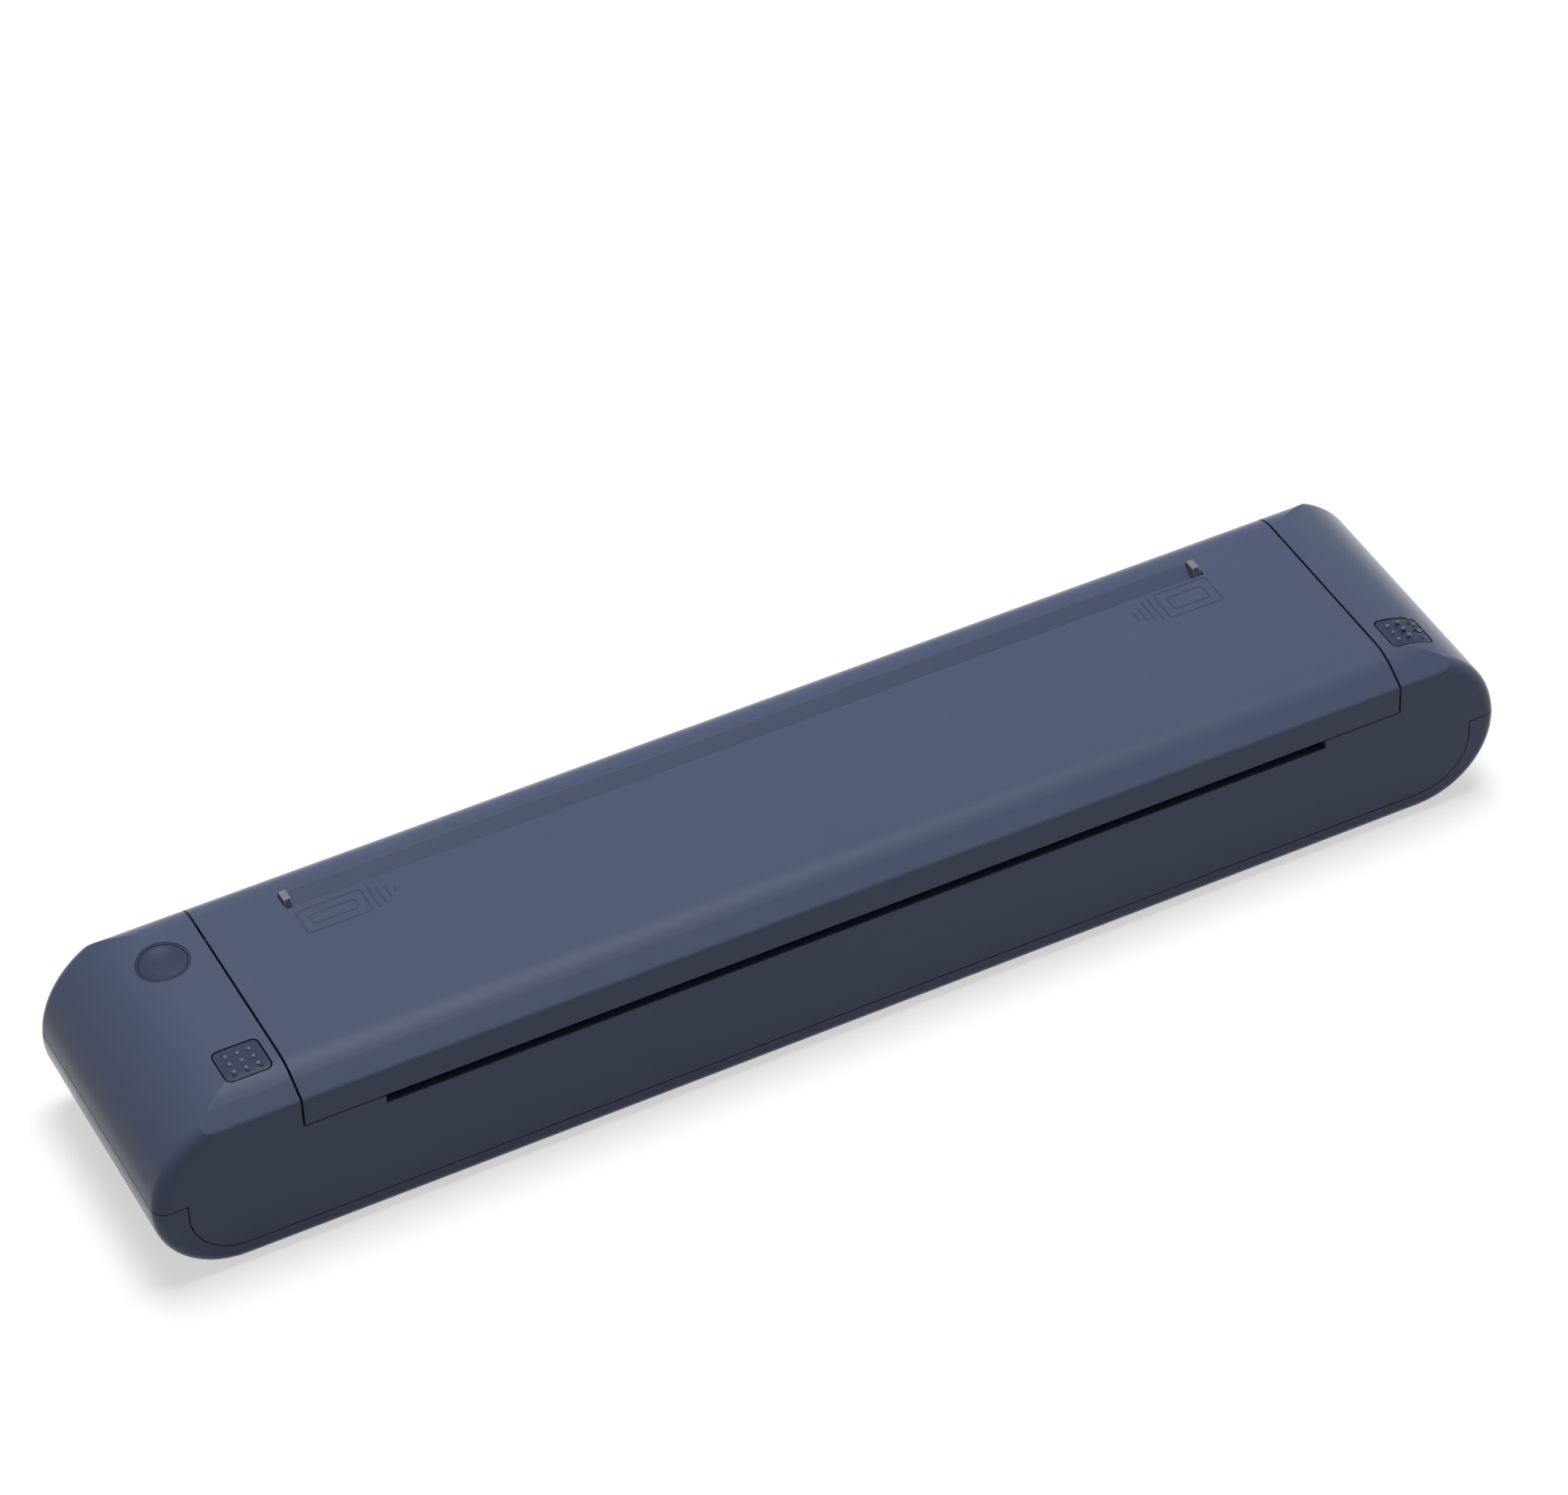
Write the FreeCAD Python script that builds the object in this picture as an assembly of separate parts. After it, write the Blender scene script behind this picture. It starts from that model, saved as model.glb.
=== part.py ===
import FreeCAD, Part
import math
import os

# A portable thermal printer for A4 paper, lying on its feet.
# X runs along the printer, minus Y is the front with the exit slot, Z is up, and the feet stand on Z = 0.
# All sizes are in millimetres and all angles in degrees.

# Paper
paper_width = 210.0
narrow_paper_width = 148.0

# Casing
left_block = 32.75
right_block = 24.35
top_end_radius = 23.5
edge_round = 3.0
wall = 2.0
chamfer_run = 7.0
chamfer_drop = 4.4
chamfer_roll = 12.0
chamfer_edge_round = 1.0
hinge_radius = 8.0
overrun = 6.0

# Joint between the two halves of the casing
parting_height = 20.5
parting_gap = 0.25
tongue_height = 2.0
tongue_depth = 2.5
tongue_thickness = 0.9
tongue_fit = 0.1
front_plate_margin = 7.0
front_plate_foot = 5.0
front_plate_corner = 12.0
backing_overlap = 3.0
backing_reach = 2.2
backing_thickness = 1.2

# Top cover
cover_drive_side = 18.1
cover_free_side = 18.3
cover_gap = 0.25
lip_depth = 11.2
cover_front_gap = 0.3
cover_hinge_gap = 0.3
cover_rear_angle = 20.0
cover_wall = 2.0

# Exit slot
slot_side = 3.3
slot_height = 2.4
ledge_depth = 4.4
ledge_thickness = 1.6
ledge_drop = 0.2

# Paper inlet in the top cover
inlet_side = 2.0
inlet_off_centre = 1.1
inlet_back = 9.5
inlet_opening = 5.1
ramp_angle = 30.0
ramp_thickness = 1.8
ramp_reach = 10.5
ramp_root = 0.5
inlet_end_wall = 1.5
inlet_end_setback = 1.0

# Paper guides
guide_thickness = 1.6
guide_proud = 0.9
guide_setback = 0.25
guide_back = 0.3
guide_head_depth = 2.9
guide_front_fit = 0.6
guide_lead_in = 1.5
guide_head_round = 0.4
guide_slot_width = 1.2
guide_slot_place = 4.0
guide_slot_fit = 0.2
guide_foot_overlap = 0.6
guide_foot_height = 1.0

# Platen roller
platen_side = 3.0
platen_radius = 4.6
platen_core_radius = 3.0
platen_setback = 14.0
journal_radius = 2.0
running_fit = 0.05
journal_end = 0.3
bushing_radius = 4.0
bushing_inner_end = 1.0
bushing_outer_end = 6.0
bushing_flange_radius = 5.0
bushing_flange_start = 2.6
bushing_flange_thickness = 0.6
bracket_start = 3.3
bracket_thickness = 2.0
bracket_half_depth = 6.0
bracket_foot = 5.3
ring_start = 6.2
ring_thickness = 0.6
ring_radius = 3.4

# Gear train
gear_module = 0.5
pressure_angle = 20.0
addendum_share = 0.85
dedendum_share = 1.15
gear_backlash = 0.14
platen_teeth = 20
idler_teeth = 24
small_teeth = 16
large_teeth = 40
pinion_teeth = 12
first_plane = 8.0
first_plane_width = 4.0
second_plane = 12.4
second_plane_width = 2.6
compound_angle = -30.0
motor_angle = -10.0
stud_radius = 1.5
stud_shoulder_radius = 2.4
stud_side_gap = 0.2
stud_tail = 0.8
stud_ring_radius = 3.0
stud_ring_thickness = 0.4
pinion_overhang = 0.2

# Mechanism frame
frame_start = 1.3
frame_sheet = 1.1
frame_front = 9.5
frame_notch_fit = 0.3
frame_shoulder = 8.0
frame_top_drop = 1.2
frame_step = 5.5
frame_web_depth = 25.5
frame_ear_length = 8.2
frame_ear_start = 16.0
frame_ear_depth = 10.0
frame_ear_drop = 2.0
frame_corner = 2.0
frame_rear_reach = 13.0
frame_rear_top = 0.4
frame_rear_low = 1.0
frame_foot_drop = 10.7
frame_foot_front = 13.4
frame_foot_back = 1.5
frame_heel = 17.4
frame_foot_corner = 3.0
frame_screw_radius = 1.2
frame_boss_radius = 3.0
frame_bosses_left = [(4.1, -6.0), (22.1, 5.0)]
frame_bosses_right = [(12.5, -6.0), (29.5, 5.0)]

# Screws
screw_head_share = 1.85
screw_head_height = 1.4
screw_slot_width = 0.5
screw_slot_depth = 0.5
screw_fit = 0.05
screw_grip = 6.0

# Print head
head_gap = 0.2
ceramic_thickness = 0.7
ceramic_depth = 11.0
ceramic_lead = 5.0
heat_sink_thickness = 5.7
heat_sink_lead = 7.0
heat_sink_depth = 20.0
heat_sink_front_cut = 1.6
heat_sink_groove = 1.2
heat_sink_groove_depth = 1.0
heat_sink_grooves = 3
head_side_gap = 0.5
driver_cover_depth = 4.6
driver_cover_height = 1.3
driver_cover_gap = 0.4
driver_cover_round = 0.5
pivot_back = 10.5
pivot_drop = 2.5
pivot_radius = 1.0
pivot_reach = 3.5
pivot_bore_extra = 0.4
spring_length = 4.8
spring_radius = 2.2
spring_wire = 0.5
spring_turns = 3
spring_seat_gap = 0.05
spring_end = 33.0
spring_count = 4

# Lower paper guide and sensor
guide_edge_round = 0.4
lower_guide_thickness = 1.4
lower_guide_front = 12.4
lower_guide_rise = 1.1
lower_guide_back = 0.7
lower_guide_drop = 1.05
lower_guide_side_gap = 0.4
lower_leg_length = 6.5
lower_leg_depth = 7.0
lower_leg_start = 17.0
leg_screw_radius = 1.0
sensor_place = 7.0
sensor_window = 3.4
sensor_length = 3.0
sensor_width = 2.8
sensor_height = 1.6
sensor_board_length = 14.0
sensor_board_width = 7.0
sensor_board_thickness = 0.8
sensor_gap = 0.2

# Upper paper guide
upper_guide_thickness = 1.3
upper_guide_front = 6.5
upper_guide_rise = 2.8
upper_guide_back = 0.5
upper_guide_gap = 1.3
upper_boss_radius = 2.5
upper_boss_place = 15.0
upper_boss_end = 18.0
upper_boss_count = 4
upper_screw_radius = 0.9
upper_screw_grip = 3.0
upper_head_height = 0.6

# Stepper motor
motor_radius = 10.0
motor_length = 20.0
motor_boss_radius = 3.0
motor_ear_pitch = 12.5
motor_ear_radius = 2.6
motor_ear_angle = 40.0
motor_ear_thickness = 0.8
motor_shaft_radius = 1.0
motor_shaft_depth = 8.0
motor_seam = 0.3
motor_seam_width = 0.8
motor_screw_radius = 1.0

# Batteries
cell_radius = 9.1
cell_back = 14.0
cell_motor_gap = 10.2
cell_right_room = 58.4
cell_deck_gap = 2.4
ribbon_tray_gap = 4.45
cell_fit = 0.2
cell_tip_radius = 2.8
cell_tip_length = 1.0
tray_floor = 1.0
tray_side = 1.4
tray_height = 9.0
tray_end = 1.5

# Main board
board_motor_gap = 30.2
board_cell_reach = 10.0
board_front_gap = 5.0
board_cell_gap = 12.5
board_thickness = 1.6
board_standoff = 3.0
standoff_radius = 2.4
board_screw_radius = 0.9
board_screw_inset_left = 11.0
board_screw_inset_front = 2.5
chip_side = 12.0
chip_height = 1.4
chip_front_gap = 5.0
chip_count = 2
can_radius = 3.0
can_height = 6.0
can_spacing = 7.5
can_count = 3
coil_side = 7.0
coil_height = 3.4
plug_height = 3.2
plug_depth = 4.4

# Leads
lead_radius = 0.5
lead_pitch = 1.3
lead_bend_share = 0.45
motor_lead_count = 4
battery_lead_count = 2
usb_lead_count = 3
button_lead_count = 2
motor_lead_route = [(8.5, -3.0, 11.9), (19.3, -3.0, 9.2)]
usb_lead_route = [
    (62.5, -1.3, 13.2),
    (53.0, -1.2, 10.8),
    (37.0, -2.2, 9.4),
    (19.0, -4.6, 8.6),
    (8.0, -6.0, 9.2),
]
button_lead_shift = 1.0
button_lead_route = [
    (8.8, 8.3, 5.0),
    (24.6, 8.8, 4.5),
    (46.8, 8.8, 4.5),
    (56.6, -5.4, 6.4),
    (69.0, -10.8, 9.2),
]
button_lead_drop = 15.0
ribbon_width = 24.0
ribbon_thickness = 0.35
ribbon_bend = 2.5
ribbon_gap = 0.15
ribbon_lap = 5.0

# USB socket and its board
usb_z = 15.6
usb_shell_width = 8.94
usb_shell_height = 3.26
usb_shell_length = 7.3
usb_shell_wall = 0.35
usb_tongue_width = 6.0
usb_tongue_height = 0.7
usb_recess = 0.7
usb_port_fit = 0.35
full_round_share = 0.999
usb_board_length = 17.5
usb_board_width = 16.0
usb_board_gap = 0.58
usb_board_thickness = 1.6
usb_standoff_y = 5.6
usb_standoff_inset = 2.6

# Power button
button_from_end = 23.0
button_from_back = 16.5
button_radius = 5.0
button_ring_gap = 0.15
button_ring_width = 0.45
button_hole_gap = 0.1
button_depth = 5.2
button_flange_radius = 6.4
button_flange_height = 1.0
button_ring_lap = 1.3
button_stack_gap = 0.1
button_dish_radius = 16.0
button_dish_depth = 0.7
button_inset = 0.1
button_travel = 0.5
switch_side = 6.2
switch_height = 3.4
switch_clear = 1.3
plunger_radius = 1.7
plunger_depth = 1.9
plunger_bore_extra = 0.2
button_board_left = 9.6
button_board_right = 5.5
button_board_width = 15.0
button_post_radius = 1.8
button_post_inset = 2.2

# Cover release buttons and latches
pad_width = 9.7
pad_depth = 8.6
pad_from_front = 12.15
pad_corner = 1.2
pad_left_offset = 7.25
pad_right_offset = 7.85
pad_gap = 0.3
pad_height = 4.8
pad_inset = 0.1
pad_travel = 1.5
dot_radius = 0.5
dot_proud = 0.3
dot_spacing = 2.9
shelf_drop = 8.8
shelf_thickness = 1.2
shelf_margin = 0.6
stem_width = 1.6
stem_depth = 3.0
stem_gap = 0.2
barb_overlap = 0.5
barb_height = 1.6
release_spring_radius = 2.0
release_spring_wire = 0.3
release_spring_turns = 3
release_spring_gap = 0.5
latch_pivot_offset = 2.15
latch_pivot_drop = 18.0
latch_arm = 5.5
latch_nose_radius = 0.8
latch_nose_gap = 0.1
latch_hub_radius = 1.8
latch_pin_radius = 1.0
latch_width = 5.3
latch_rib = 1.8
latch_rib_gap = 0.5
latch_rib_height = 4.0
latch_rib_reach = 2.0
latch_post = 1.8
latch_post_right = 1.0
latch_bar_top = 0.3
latch_bar_thickness = 1.5
beak_height = 1.6
beak_rise = 5.0
beak_short = 0.25
beak_window_low = 0.3
beak_window_high = 3.2
beak_window_side = 0.5
striker_lip = 1.8
striker_gap = 0.2
striker_clear = 0.4
striker_margin = 2.2

# Inner end walls of the housing
end_wall = 2.0
end_wall_low = 15.0
end_wall_inset = 1.5

# Deck over the battery bay
deck_cell_reach = 7.0
deck_thickness = 1.2
motor_room = 0.8

# Hinge pins
hinge_pin_radius = 1.5
hinge_pin_head = 2.4
hinge_pin_head_length = 0.8
hinge_pin_end_gap = 0.1

# Cover switch
cover_switch_inset = 9.65
cover_switch_setback = 7.0
cover_switch_length = 8.0
cover_switch_width = 3.6
cover_switch_height = 6.0
cover_switch_column = 4.0
cover_switch_tip = 0.9
cover_switch_gap = 0.3
cover_switch_rise = 1.9
cover_rib_width = 2.0

# Case screws and their posts
case_screw_radius = 1.2
case_post_radius = 3.0
case_boss_radius = 3.9
case_post_end = 8.0
case_post_side = 9.0
case_post_foot = 9.0
case_counterbore = 2.8
case_head_seat = 6.5
case_rear_post_gap = 15.0
case_rear_post_back = 6.6
case_rear_post_drop = 0.5
case_front_post_left = 25.2
case_front_post_right = 25.4
case_front_post_front = 6.5
case_front_post_height = 7.0
case_web = 1.6
case_rear_web_height = 2.0

# Feet and label
foot_radius = 5.0
foot_height = 1.0
foot_sunk = 0.8
foot_fit = 0.1
foot_inset_x = 30.0
foot_inset_y = 11.0
foot_round = 0.4
label_length = 62.0
label_width = 26.0
label_recess = 0.3
label_thickness = 0.25
label_fit = 0.3
label_corner = 2.0

# Places that follow from the sizes
platen_length = paper_width + 2 * platen_side
guide_travel = (paper_width - narrow_paper_width) / 2
cover_room = cover_gap + cover_drive_side + platen_length + cover_free_side + cover_gap
casing_length = left_block + cover_room + right_block
ribbon_reach = frame_web_depth - frame_front + ribbon_bend + ribbon_thickness
platen_cell_gap = ribbon_reach + ribbon_tray_gap + tray_side + cell_fit + cell_radius
casing_depth = platen_setback + platen_cell_gap + cell_back
cell_room = wall + tray_floor + 2 * (cell_radius + cell_fit)
deck_room = cell_deck_gap + deck_thickness + case_rear_post_drop + cover_hinge_gap
casing_height = cell_room + deck_room + 2 * hinge_radius
base_z = foot_height
top_z = base_z + casing_height
bottom_end_radius = casing_height - top_end_radius
half_length = casing_length / 2
half_depth = casing_depth / 2
far_x = half_length + overrun
far_y = half_depth + overrun
front_y = -half_depth
back_y = half_depth
floor_z = base_z + wall
ceiling_z = top_z - wall
hinge_y = back_y - hinge_radius
hinge_z = top_z - hinge_radius
parting_z = base_z + parting_height
opening_left = -half_length + left_block
opening_right = half_length - right_block
cover_left = opening_left + 2 * cover_gap
cover_right = opening_right - 2 * cover_gap
lip_z = top_z - lip_depth
slot_z = lip_z - slot_height
paper_x = opening_left + cover_gap + cover_drive_side + platen_length / 2
slot_left = paper_x - paper_width / 2 - slot_side
slot_right = paper_x + paper_width / 2 + slot_side
nip_z = slot_z + slot_height / 2
platen_y = front_y + platen_setback
platen_z = nip_z + platen_radius
half_platen = platen_length / 2
inlet_left = paper_x - inlet_off_centre - paper_width / 2 - inlet_side
inlet_right = paper_x - inlet_off_centre + paper_width / 2 + inlet_side
inlet_back_y = back_y - inlet_back
inlet_front_y = inlet_back_y - inlet_opening
ramp_end_y = inlet_back_y - ramp_reach
ramp_slope = math.tan(math.radians(ramp_angle))
idler_y = platen_y
idler_z = platen_z - gear_module * (platen_teeth + idler_teeth) / 2
compound_reach = gear_module * (idler_teeth + small_teeth) / 2
compound_y = idler_y + compound_reach * math.cos(math.radians(compound_angle))
compound_z = idler_z + compound_reach * math.sin(math.radians(compound_angle))
motor_reach = gear_module * (large_teeth + pinion_teeth) / 2
motor_y = compound_y + motor_reach * math.cos(math.radians(motor_angle))
motor_z = compound_z + motor_reach * math.sin(math.radians(motor_angle))
ceramic_z = nip_z - head_gap - ceramic_thickness
heat_sink_z = ceramic_z - heat_sink_thickness
web_z = heat_sink_z - spring_length
pivot_y = platen_y + pivot_back
pivot_z = ceramic_z - pivot_drop
frame_half = half_platen + frame_start
frame_left = paper_x - frame_half
frame_right = paper_x + frame_half
motor_left = frame_left
motor_right = motor_left + motor_length
cell_left = motor_right + cell_motor_gap
cell_right = frame_right - cell_right_room
cell_length = (cell_right - cell_left) / 2
cell_y = back_y - cell_back
cell_z = floor_z + tray_floor + cell_radius + cell_fit
board_left = motor_right + board_motor_gap
board_right = cell_right + board_cell_reach
board_front = front_y + board_front_gap
board_back = cell_y - board_cell_gap
board_z = floor_z + board_standoff
board_top = board_z + board_thickness
button_x = -half_length + button_from_end
button_y = back_y - button_from_back
pad_y = front_y + pad_from_front
cover_switch_x = opening_right - cover_switch_inset
cover_switch_y = platen_y + cover_switch_setback
pad_left_x = opening_left + cover_gap - pad_left_offset
pad_right_x = opening_right - cover_gap + pad_right_offset
latch_z = top_z - latch_pivot_drop
shelf_z = top_z - shelf_drop
pad_z = top_z - pad_height

vector = FreeCAD.Vector
along_x = vector(1, 0, 0)
along_y = vector(0, 1, 0)
along_z = vector(0, 0, 1)
same_place = 1e-6


# Shapes that many pieces use

def block(x_low, x_high, y_low, y_high, z_low, z_high):
    """A box between two planes on each axis."""
    return Part.makeBox(x_high - x_low, y_high - y_low, z_high - z_low, vector(x_low, y_low, z_low))


def rod_x(radius, x_low, x_high, y, z):
    """A cylinder along X."""
    return Part.makeCylinder(radius, x_high - x_low, vector(x_low, y, z), along_x)


def rod_y(radius, y_low, y_high, x, z):
    """A cylinder along Y."""
    return Part.makeCylinder(radius, y_high - y_low, vector(x, y_low, z), along_y)


def rod_z(radius, z_low, z_high, x, y):
    """A cylinder along Z."""
    return Part.makeCylinder(radius, z_high - z_low, vector(x, y, z_low), along_z)


def tube_x(outer, inner, x_low, x_high, y, z):
    """A tube along X."""
    return rod_x(outer, x_low, x_high, y, z).cut(rod_x(inner, x_low, x_high, y, z))


def joined(pieces):
    """One solid from pieces that meet or overlap."""
    whole = pieces[0].fuse(pieces[1:])
    return whole.removeSplitter()


def carved(piece, cuts):
    """The piece with every cut taken out of it."""
    return piece.cut(Part.makeCompound(cuts)) if len(cuts) == 1 else piece.cut(cuts[0].fuse(cuts[1:]))


def corner_arc(before, at, after, radius):
    """Start, middle and end of the arc that rounds a corner, or the corner alone."""
    if radius <= 0:
        return [at]
    back = (before - at).normalize()
    on = (after - at).normalize()
    half = back.getAngle(on) / 2
    reach = radius / math.tan(half)
    middle = (back + on).normalize()
    centre = at + middle * (radius / math.sin(half))
    return [at + back * reach, centre - middle * radius, at + on * reach]


def line_between(start, end):
    """A straight edge, or nothing where the two points are one."""
    if start.distanceToPoint(end) < same_place:
        return []
    return [Part.LineSegment(start, end).toShape()]


def rounded_face(corners):
    """A flat face whose corners (point, radius) are rounded by arcs."""
    points = [corner[0] for corner in corners]
    count = len(corners)
    arcs = []
    for place in range(count):
        after = points[(place + 1) % count]
        arcs.append(corner_arc(points[place - 1], points[place], after, corners[place][1]))
    edges = []
    for place in range(count):
        arc = arcs[place]
        if len(arc) > 1:
            edges.append(Part.Arc(arc[0], arc[1], arc[2]).toShape())
        edges += line_between(arc[-1], arcs[(place + 1) % count][0])
    return Part.Face(Part.Wire(edges))


def extrude_x(corners, x_low, x_high):
    """An outline of corners (y, z, radius) carried from x_low to x_high."""
    face = rounded_face([(vector(x_low, y, z), radius) for y, z, radius in corners])
    return face.extrude(along_x * (x_high - x_low))


def extrude_y(corners, y_low, y_high):
    """An outline of corners (x, z, radius) carried from y_low to y_high."""
    face = rounded_face([(vector(x, y_low, z), radius) for x, z, radius in corners])
    return face.extrude(along_y * (y_high - y_low))


def extrude_z(corners, z_low, z_high):
    """An outline of corners (x, y, radius) carried from z_low to z_high."""
    face = rounded_face([(vector(x, y, z_low), radius) for x, y, radius in corners])
    return face.extrude(along_z * (z_high - z_low))


def plan_corners(x_low, x_high, y_low, y_high, radius):
    """The four rounded corners of a rectangle."""
    return [
        (x_low, y_low, radius),
        (x_high, y_low, radius),
        (x_high, y_high, radius),
        (x_low, y_high, radius),
    ]


def save(name, shape):
    """Write one node's solids to its file."""
    shape.exportStep("parts/" + name + ".step")
    solids = len(shape.Solids)
    print(name, "solids", solids, "valid", shape.isValid(), "volume", round(shape.Volume, 2))


def screw(radius, grip, head_height=screw_head_height):
    """A slotted screw that points down from its seat at the origin, with its head above."""
    head_radius = radius * screw_head_share
    head = rod_z(head_radius, 0, head_height, 0, 0)
    depth = min(screw_slot_depth, head_height / 2)
    half_width = screw_slot_width / 2
    slot_low = head_height - depth
    slot = block(-head_radius, head_radius, -half_width, half_width, slot_low, head_height + overrun)
    return joined([head, rod_z(radius, -grip, 0, 0, 0)]).cut(slot)


def placed(shape, x, y, z):
    """A copy of the shape moved to a place."""
    moved = shape.copy()
    moved.translate(vector(x, y, z))
    return moved


def coil_spring(radius, wire, turns, x, y, z_low, z_high):
    """An upright spring whose wire runs through half circles, each a little higher than the last."""
    rise = (z_high - z_low - wire) / (2 * turns)
    start_z = z_low + wire / 2
    edges = []
    for half_turn in range(2 * turns):
        side = 1 if half_turn % 2 == 0 else -1
        z = start_z + rise * half_turn
        start = vector(x + side * radius, y, z)
        middle = vector(x, y + side * radius, z + rise / 2)
        end = vector(x - side * radius, y, z + rise)
        edges.append(Part.Arc(start, middle, end).toShape())
    section = Part.Wire([Part.Circle(vector(x + radius, y, start_z), along_y, wire / 2).toShape()])
    print("spring: least gap between turns", round(2 * rise - wire, 2))
    return Part.Wire(edges).makePipeShell([section], True, False)


def lead(points, radius):
    """A round wire along straight runs that are joined by tangent arcs."""
    stops = [vector(x, y, z) for x, y, z in points]
    arcs = [[stops[0]]]
    for place in range(1, len(stops) - 1):
        back = stops[place - 1] - stops[place]
        on = stops[place + 1] - stops[place]
        reach = lead_bend_share * min(back.Length, on.Length)
        bend = reach * math.tan(back.getAngle(on) / 2)
        arcs.append(corner_arc(stops[place - 1], stops[place], stops[place + 1], bend))
    arcs.append([stops[-1]])
    edges = []
    for place in range(len(arcs) - 1):
        edges += line_between(arcs[place][-1], arcs[place + 1][0])
        following = arcs[place + 1]
        if len(following) > 1:
            edges.append(Part.Arc(following[0], following[1], following[2]).toShape())
    path = Part.Wire(edges)
    section = Part.Wire([Part.Circle(stops[0], stops[1] - stops[0], radius).toShape()])
    tube = path.makePipeShell([section], True, False)
    share = tube.Volume / (math.pi * radius * radius * path.Length)
    print("lead: volume over section times length", round(share, 4))
    return tube


def lead_set(points, wires):
    """Wires side by side along Y, all with the same route."""
    paths = []
    for wire in range(wires):
        paths.append(lead([(x, y + wire * lead_pitch, z) for x, y, z in points], lead_radius))
    return Part.makeCompound(paths)


# Casing

def end_view(inset):
    """The casing seen from the front, a stadium drawn in by inset, carried along Y."""
    upper_x = half_length - top_end_radius
    lower_x = half_length - bottom_end_radius
    middle_z = base_z + bottom_end_radius
    upper = top_end_radius - inset
    lower = bottom_end_radius - inset
    y = front_y + inset
    slant = math.sqrt(1 / 2)
    side_x = half_length - inset
    edges = []
    edges += line_between(vector(-upper_x, y, top_z - inset), vector(upper_x, y, top_z - inset))
    for side in (1, -1):
        top = vector(side * upper_x, y, middle_z + upper)
        shoulder = vector(side * (upper_x + upper * slant), y, middle_z + upper * slant)
        waist = vector(side * side_x, y, middle_z)
        heel = vector(side * (lower_x + lower * slant), y, middle_z - lower * slant)
        low = vector(side * lower_x, y, middle_z - lower)
        edges.append(Part.Arc(top, shoulder, waist).toShape())
        edges.append(Part.Arc(waist, heel, low).toShape())
    edges += line_between(vector(-lower_x, y, base_z + inset), vector(lower_x, y, base_z + inset))
    wire = Part.Wire(Part.__sortEdges__(edges))
    return Part.Face(wire).extrude(along_y * (casing_depth - 2 * inset))


def side_view(inset):
    """The casing seen from the left, with the front chamfer and the round back, carried along X."""
    length = math.hypot(chamfer_run, chamfer_drop)
    out_y = -chamfer_drop / length
    out_z = chamfer_run / length
    edge_y = front_y + chamfer_run
    level = out_y * edge_y + out_z * top_z - inset
    face_y = front_y + inset
    roof_z = top_z - inset
    upper_y = (level - out_z * roof_z) / out_y
    lower_z = (level - out_y * face_y) / out_z
    corners = [
        (face_y, base_z - overrun, 0),
        (face_y, lower_z, max(chamfer_edge_round - inset, 0)),
        (upper_y, roof_z, chamfer_roll - inset),
        (back_y - inset, roof_z, hinge_radius - inset),
        (back_y - inset, base_z - overrun, 0),
    ]
    return extrude_x(corners, -half_length - overrun, half_length + overrun)


def casing(inset):
    """The whole outer form drawn in by inset on every side."""
    body = end_view(inset)
    face_y = half_depth - inset
    rims = []
    for edge in body.Edges:
        if all(abs(abs(vertex.Y) - face_y) < same_place for vertex in edge.Vertexes):
            rims.append(edge)
    if edge_round > inset:
        body = body.makeFillet(edge_round - inset, rims)
    return body.common(side_view(inset))


outer_form = casing(0)
inner_form = casing(wall)
mid_form = casing(wall / 2)
skin = outer_form.cut(inner_form)


def slab(x_low, x_high):
    """Everything between two planes across the printer."""
    return block(x_low, x_high, -far_y, far_y, base_z - overrun, top_z + overrun)


def front_outline(grow, y_low, y_high):
    """The outline of the front plate, let out by grow, as a solid."""
    side = half_length - front_plate_margin + grow
    foot = base_z + front_plate_foot - grow
    head = parting_z + tongue_depth + overrun
    corner = front_plate_corner + grow
    corners = [(-side, foot, corner), (side, foot, corner), (side, head, 0), (-side, head, 0)]
    return extrude_y(corners, y_low, y_high)


def cover_space():
    """The room that the top cover takes out of the upper housing."""
    front = front_y - overrun
    ceiling = top_z + overrun
    left = opening_left
    right = opening_right
    low = lip_z - cover_front_gap
    main = block(left, right, front, hinge_y, low, ceiling)
    rear = block(left, right, hinge_y, back_y + overrun, hinge_z, ceiling)
    roll = rod_x(hinge_radius + cover_hinge_gap, left, right, hinge_y, hinge_z)
    slot = block(slot_left, slot_right, front, front_y + wall + overrun, slot_z, ceiling)
    return [main, rear, roll, slot]


def end_walls():
    """The two walls that close the end blocks towards the top cover."""
    foot = parting_z + tongue_height + parting_gap
    low = base_z + end_wall_low
    inset = wall + tongue_fit + tongue_thickness + end_wall_inset
    walls = []
    for x_low, x_high in ((opening_left - end_wall, opening_left), (opening_right, opening_right + end_wall)):
        section = outer_form.common(slab(x_low, x_high))
        walls.append(section.common(block(x_low, x_high, front_y, back_y, foot, top_z)))
        apron = block(x_low, x_high, front_y + inset, back_y - inset, low, foot + overrun)
        walls.append(section.common(apron))
    return walls


def beak_y_range(margin):
    """Front and back of the latch beak with a margin on each side."""
    return pad_y - latch_width / 2 - margin, pad_y + latch_width / 2 + margin


def beak_windows():
    """The windows in the end walls that the latch beaks reach through."""
    y_low, y_high = beak_y_range(beak_window_side)
    z_low = latch_z + beak_rise - beak_window_low
    z_high = latch_z + beak_rise + beak_window_high
    left = block(opening_left - end_wall - overrun, opening_left + overrun, y_low, y_high, z_low, z_high)
    right = block(opening_right - overrun, opening_right + end_wall + overrun, y_low, y_high, z_low, z_high)
    return [left, right]


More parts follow.
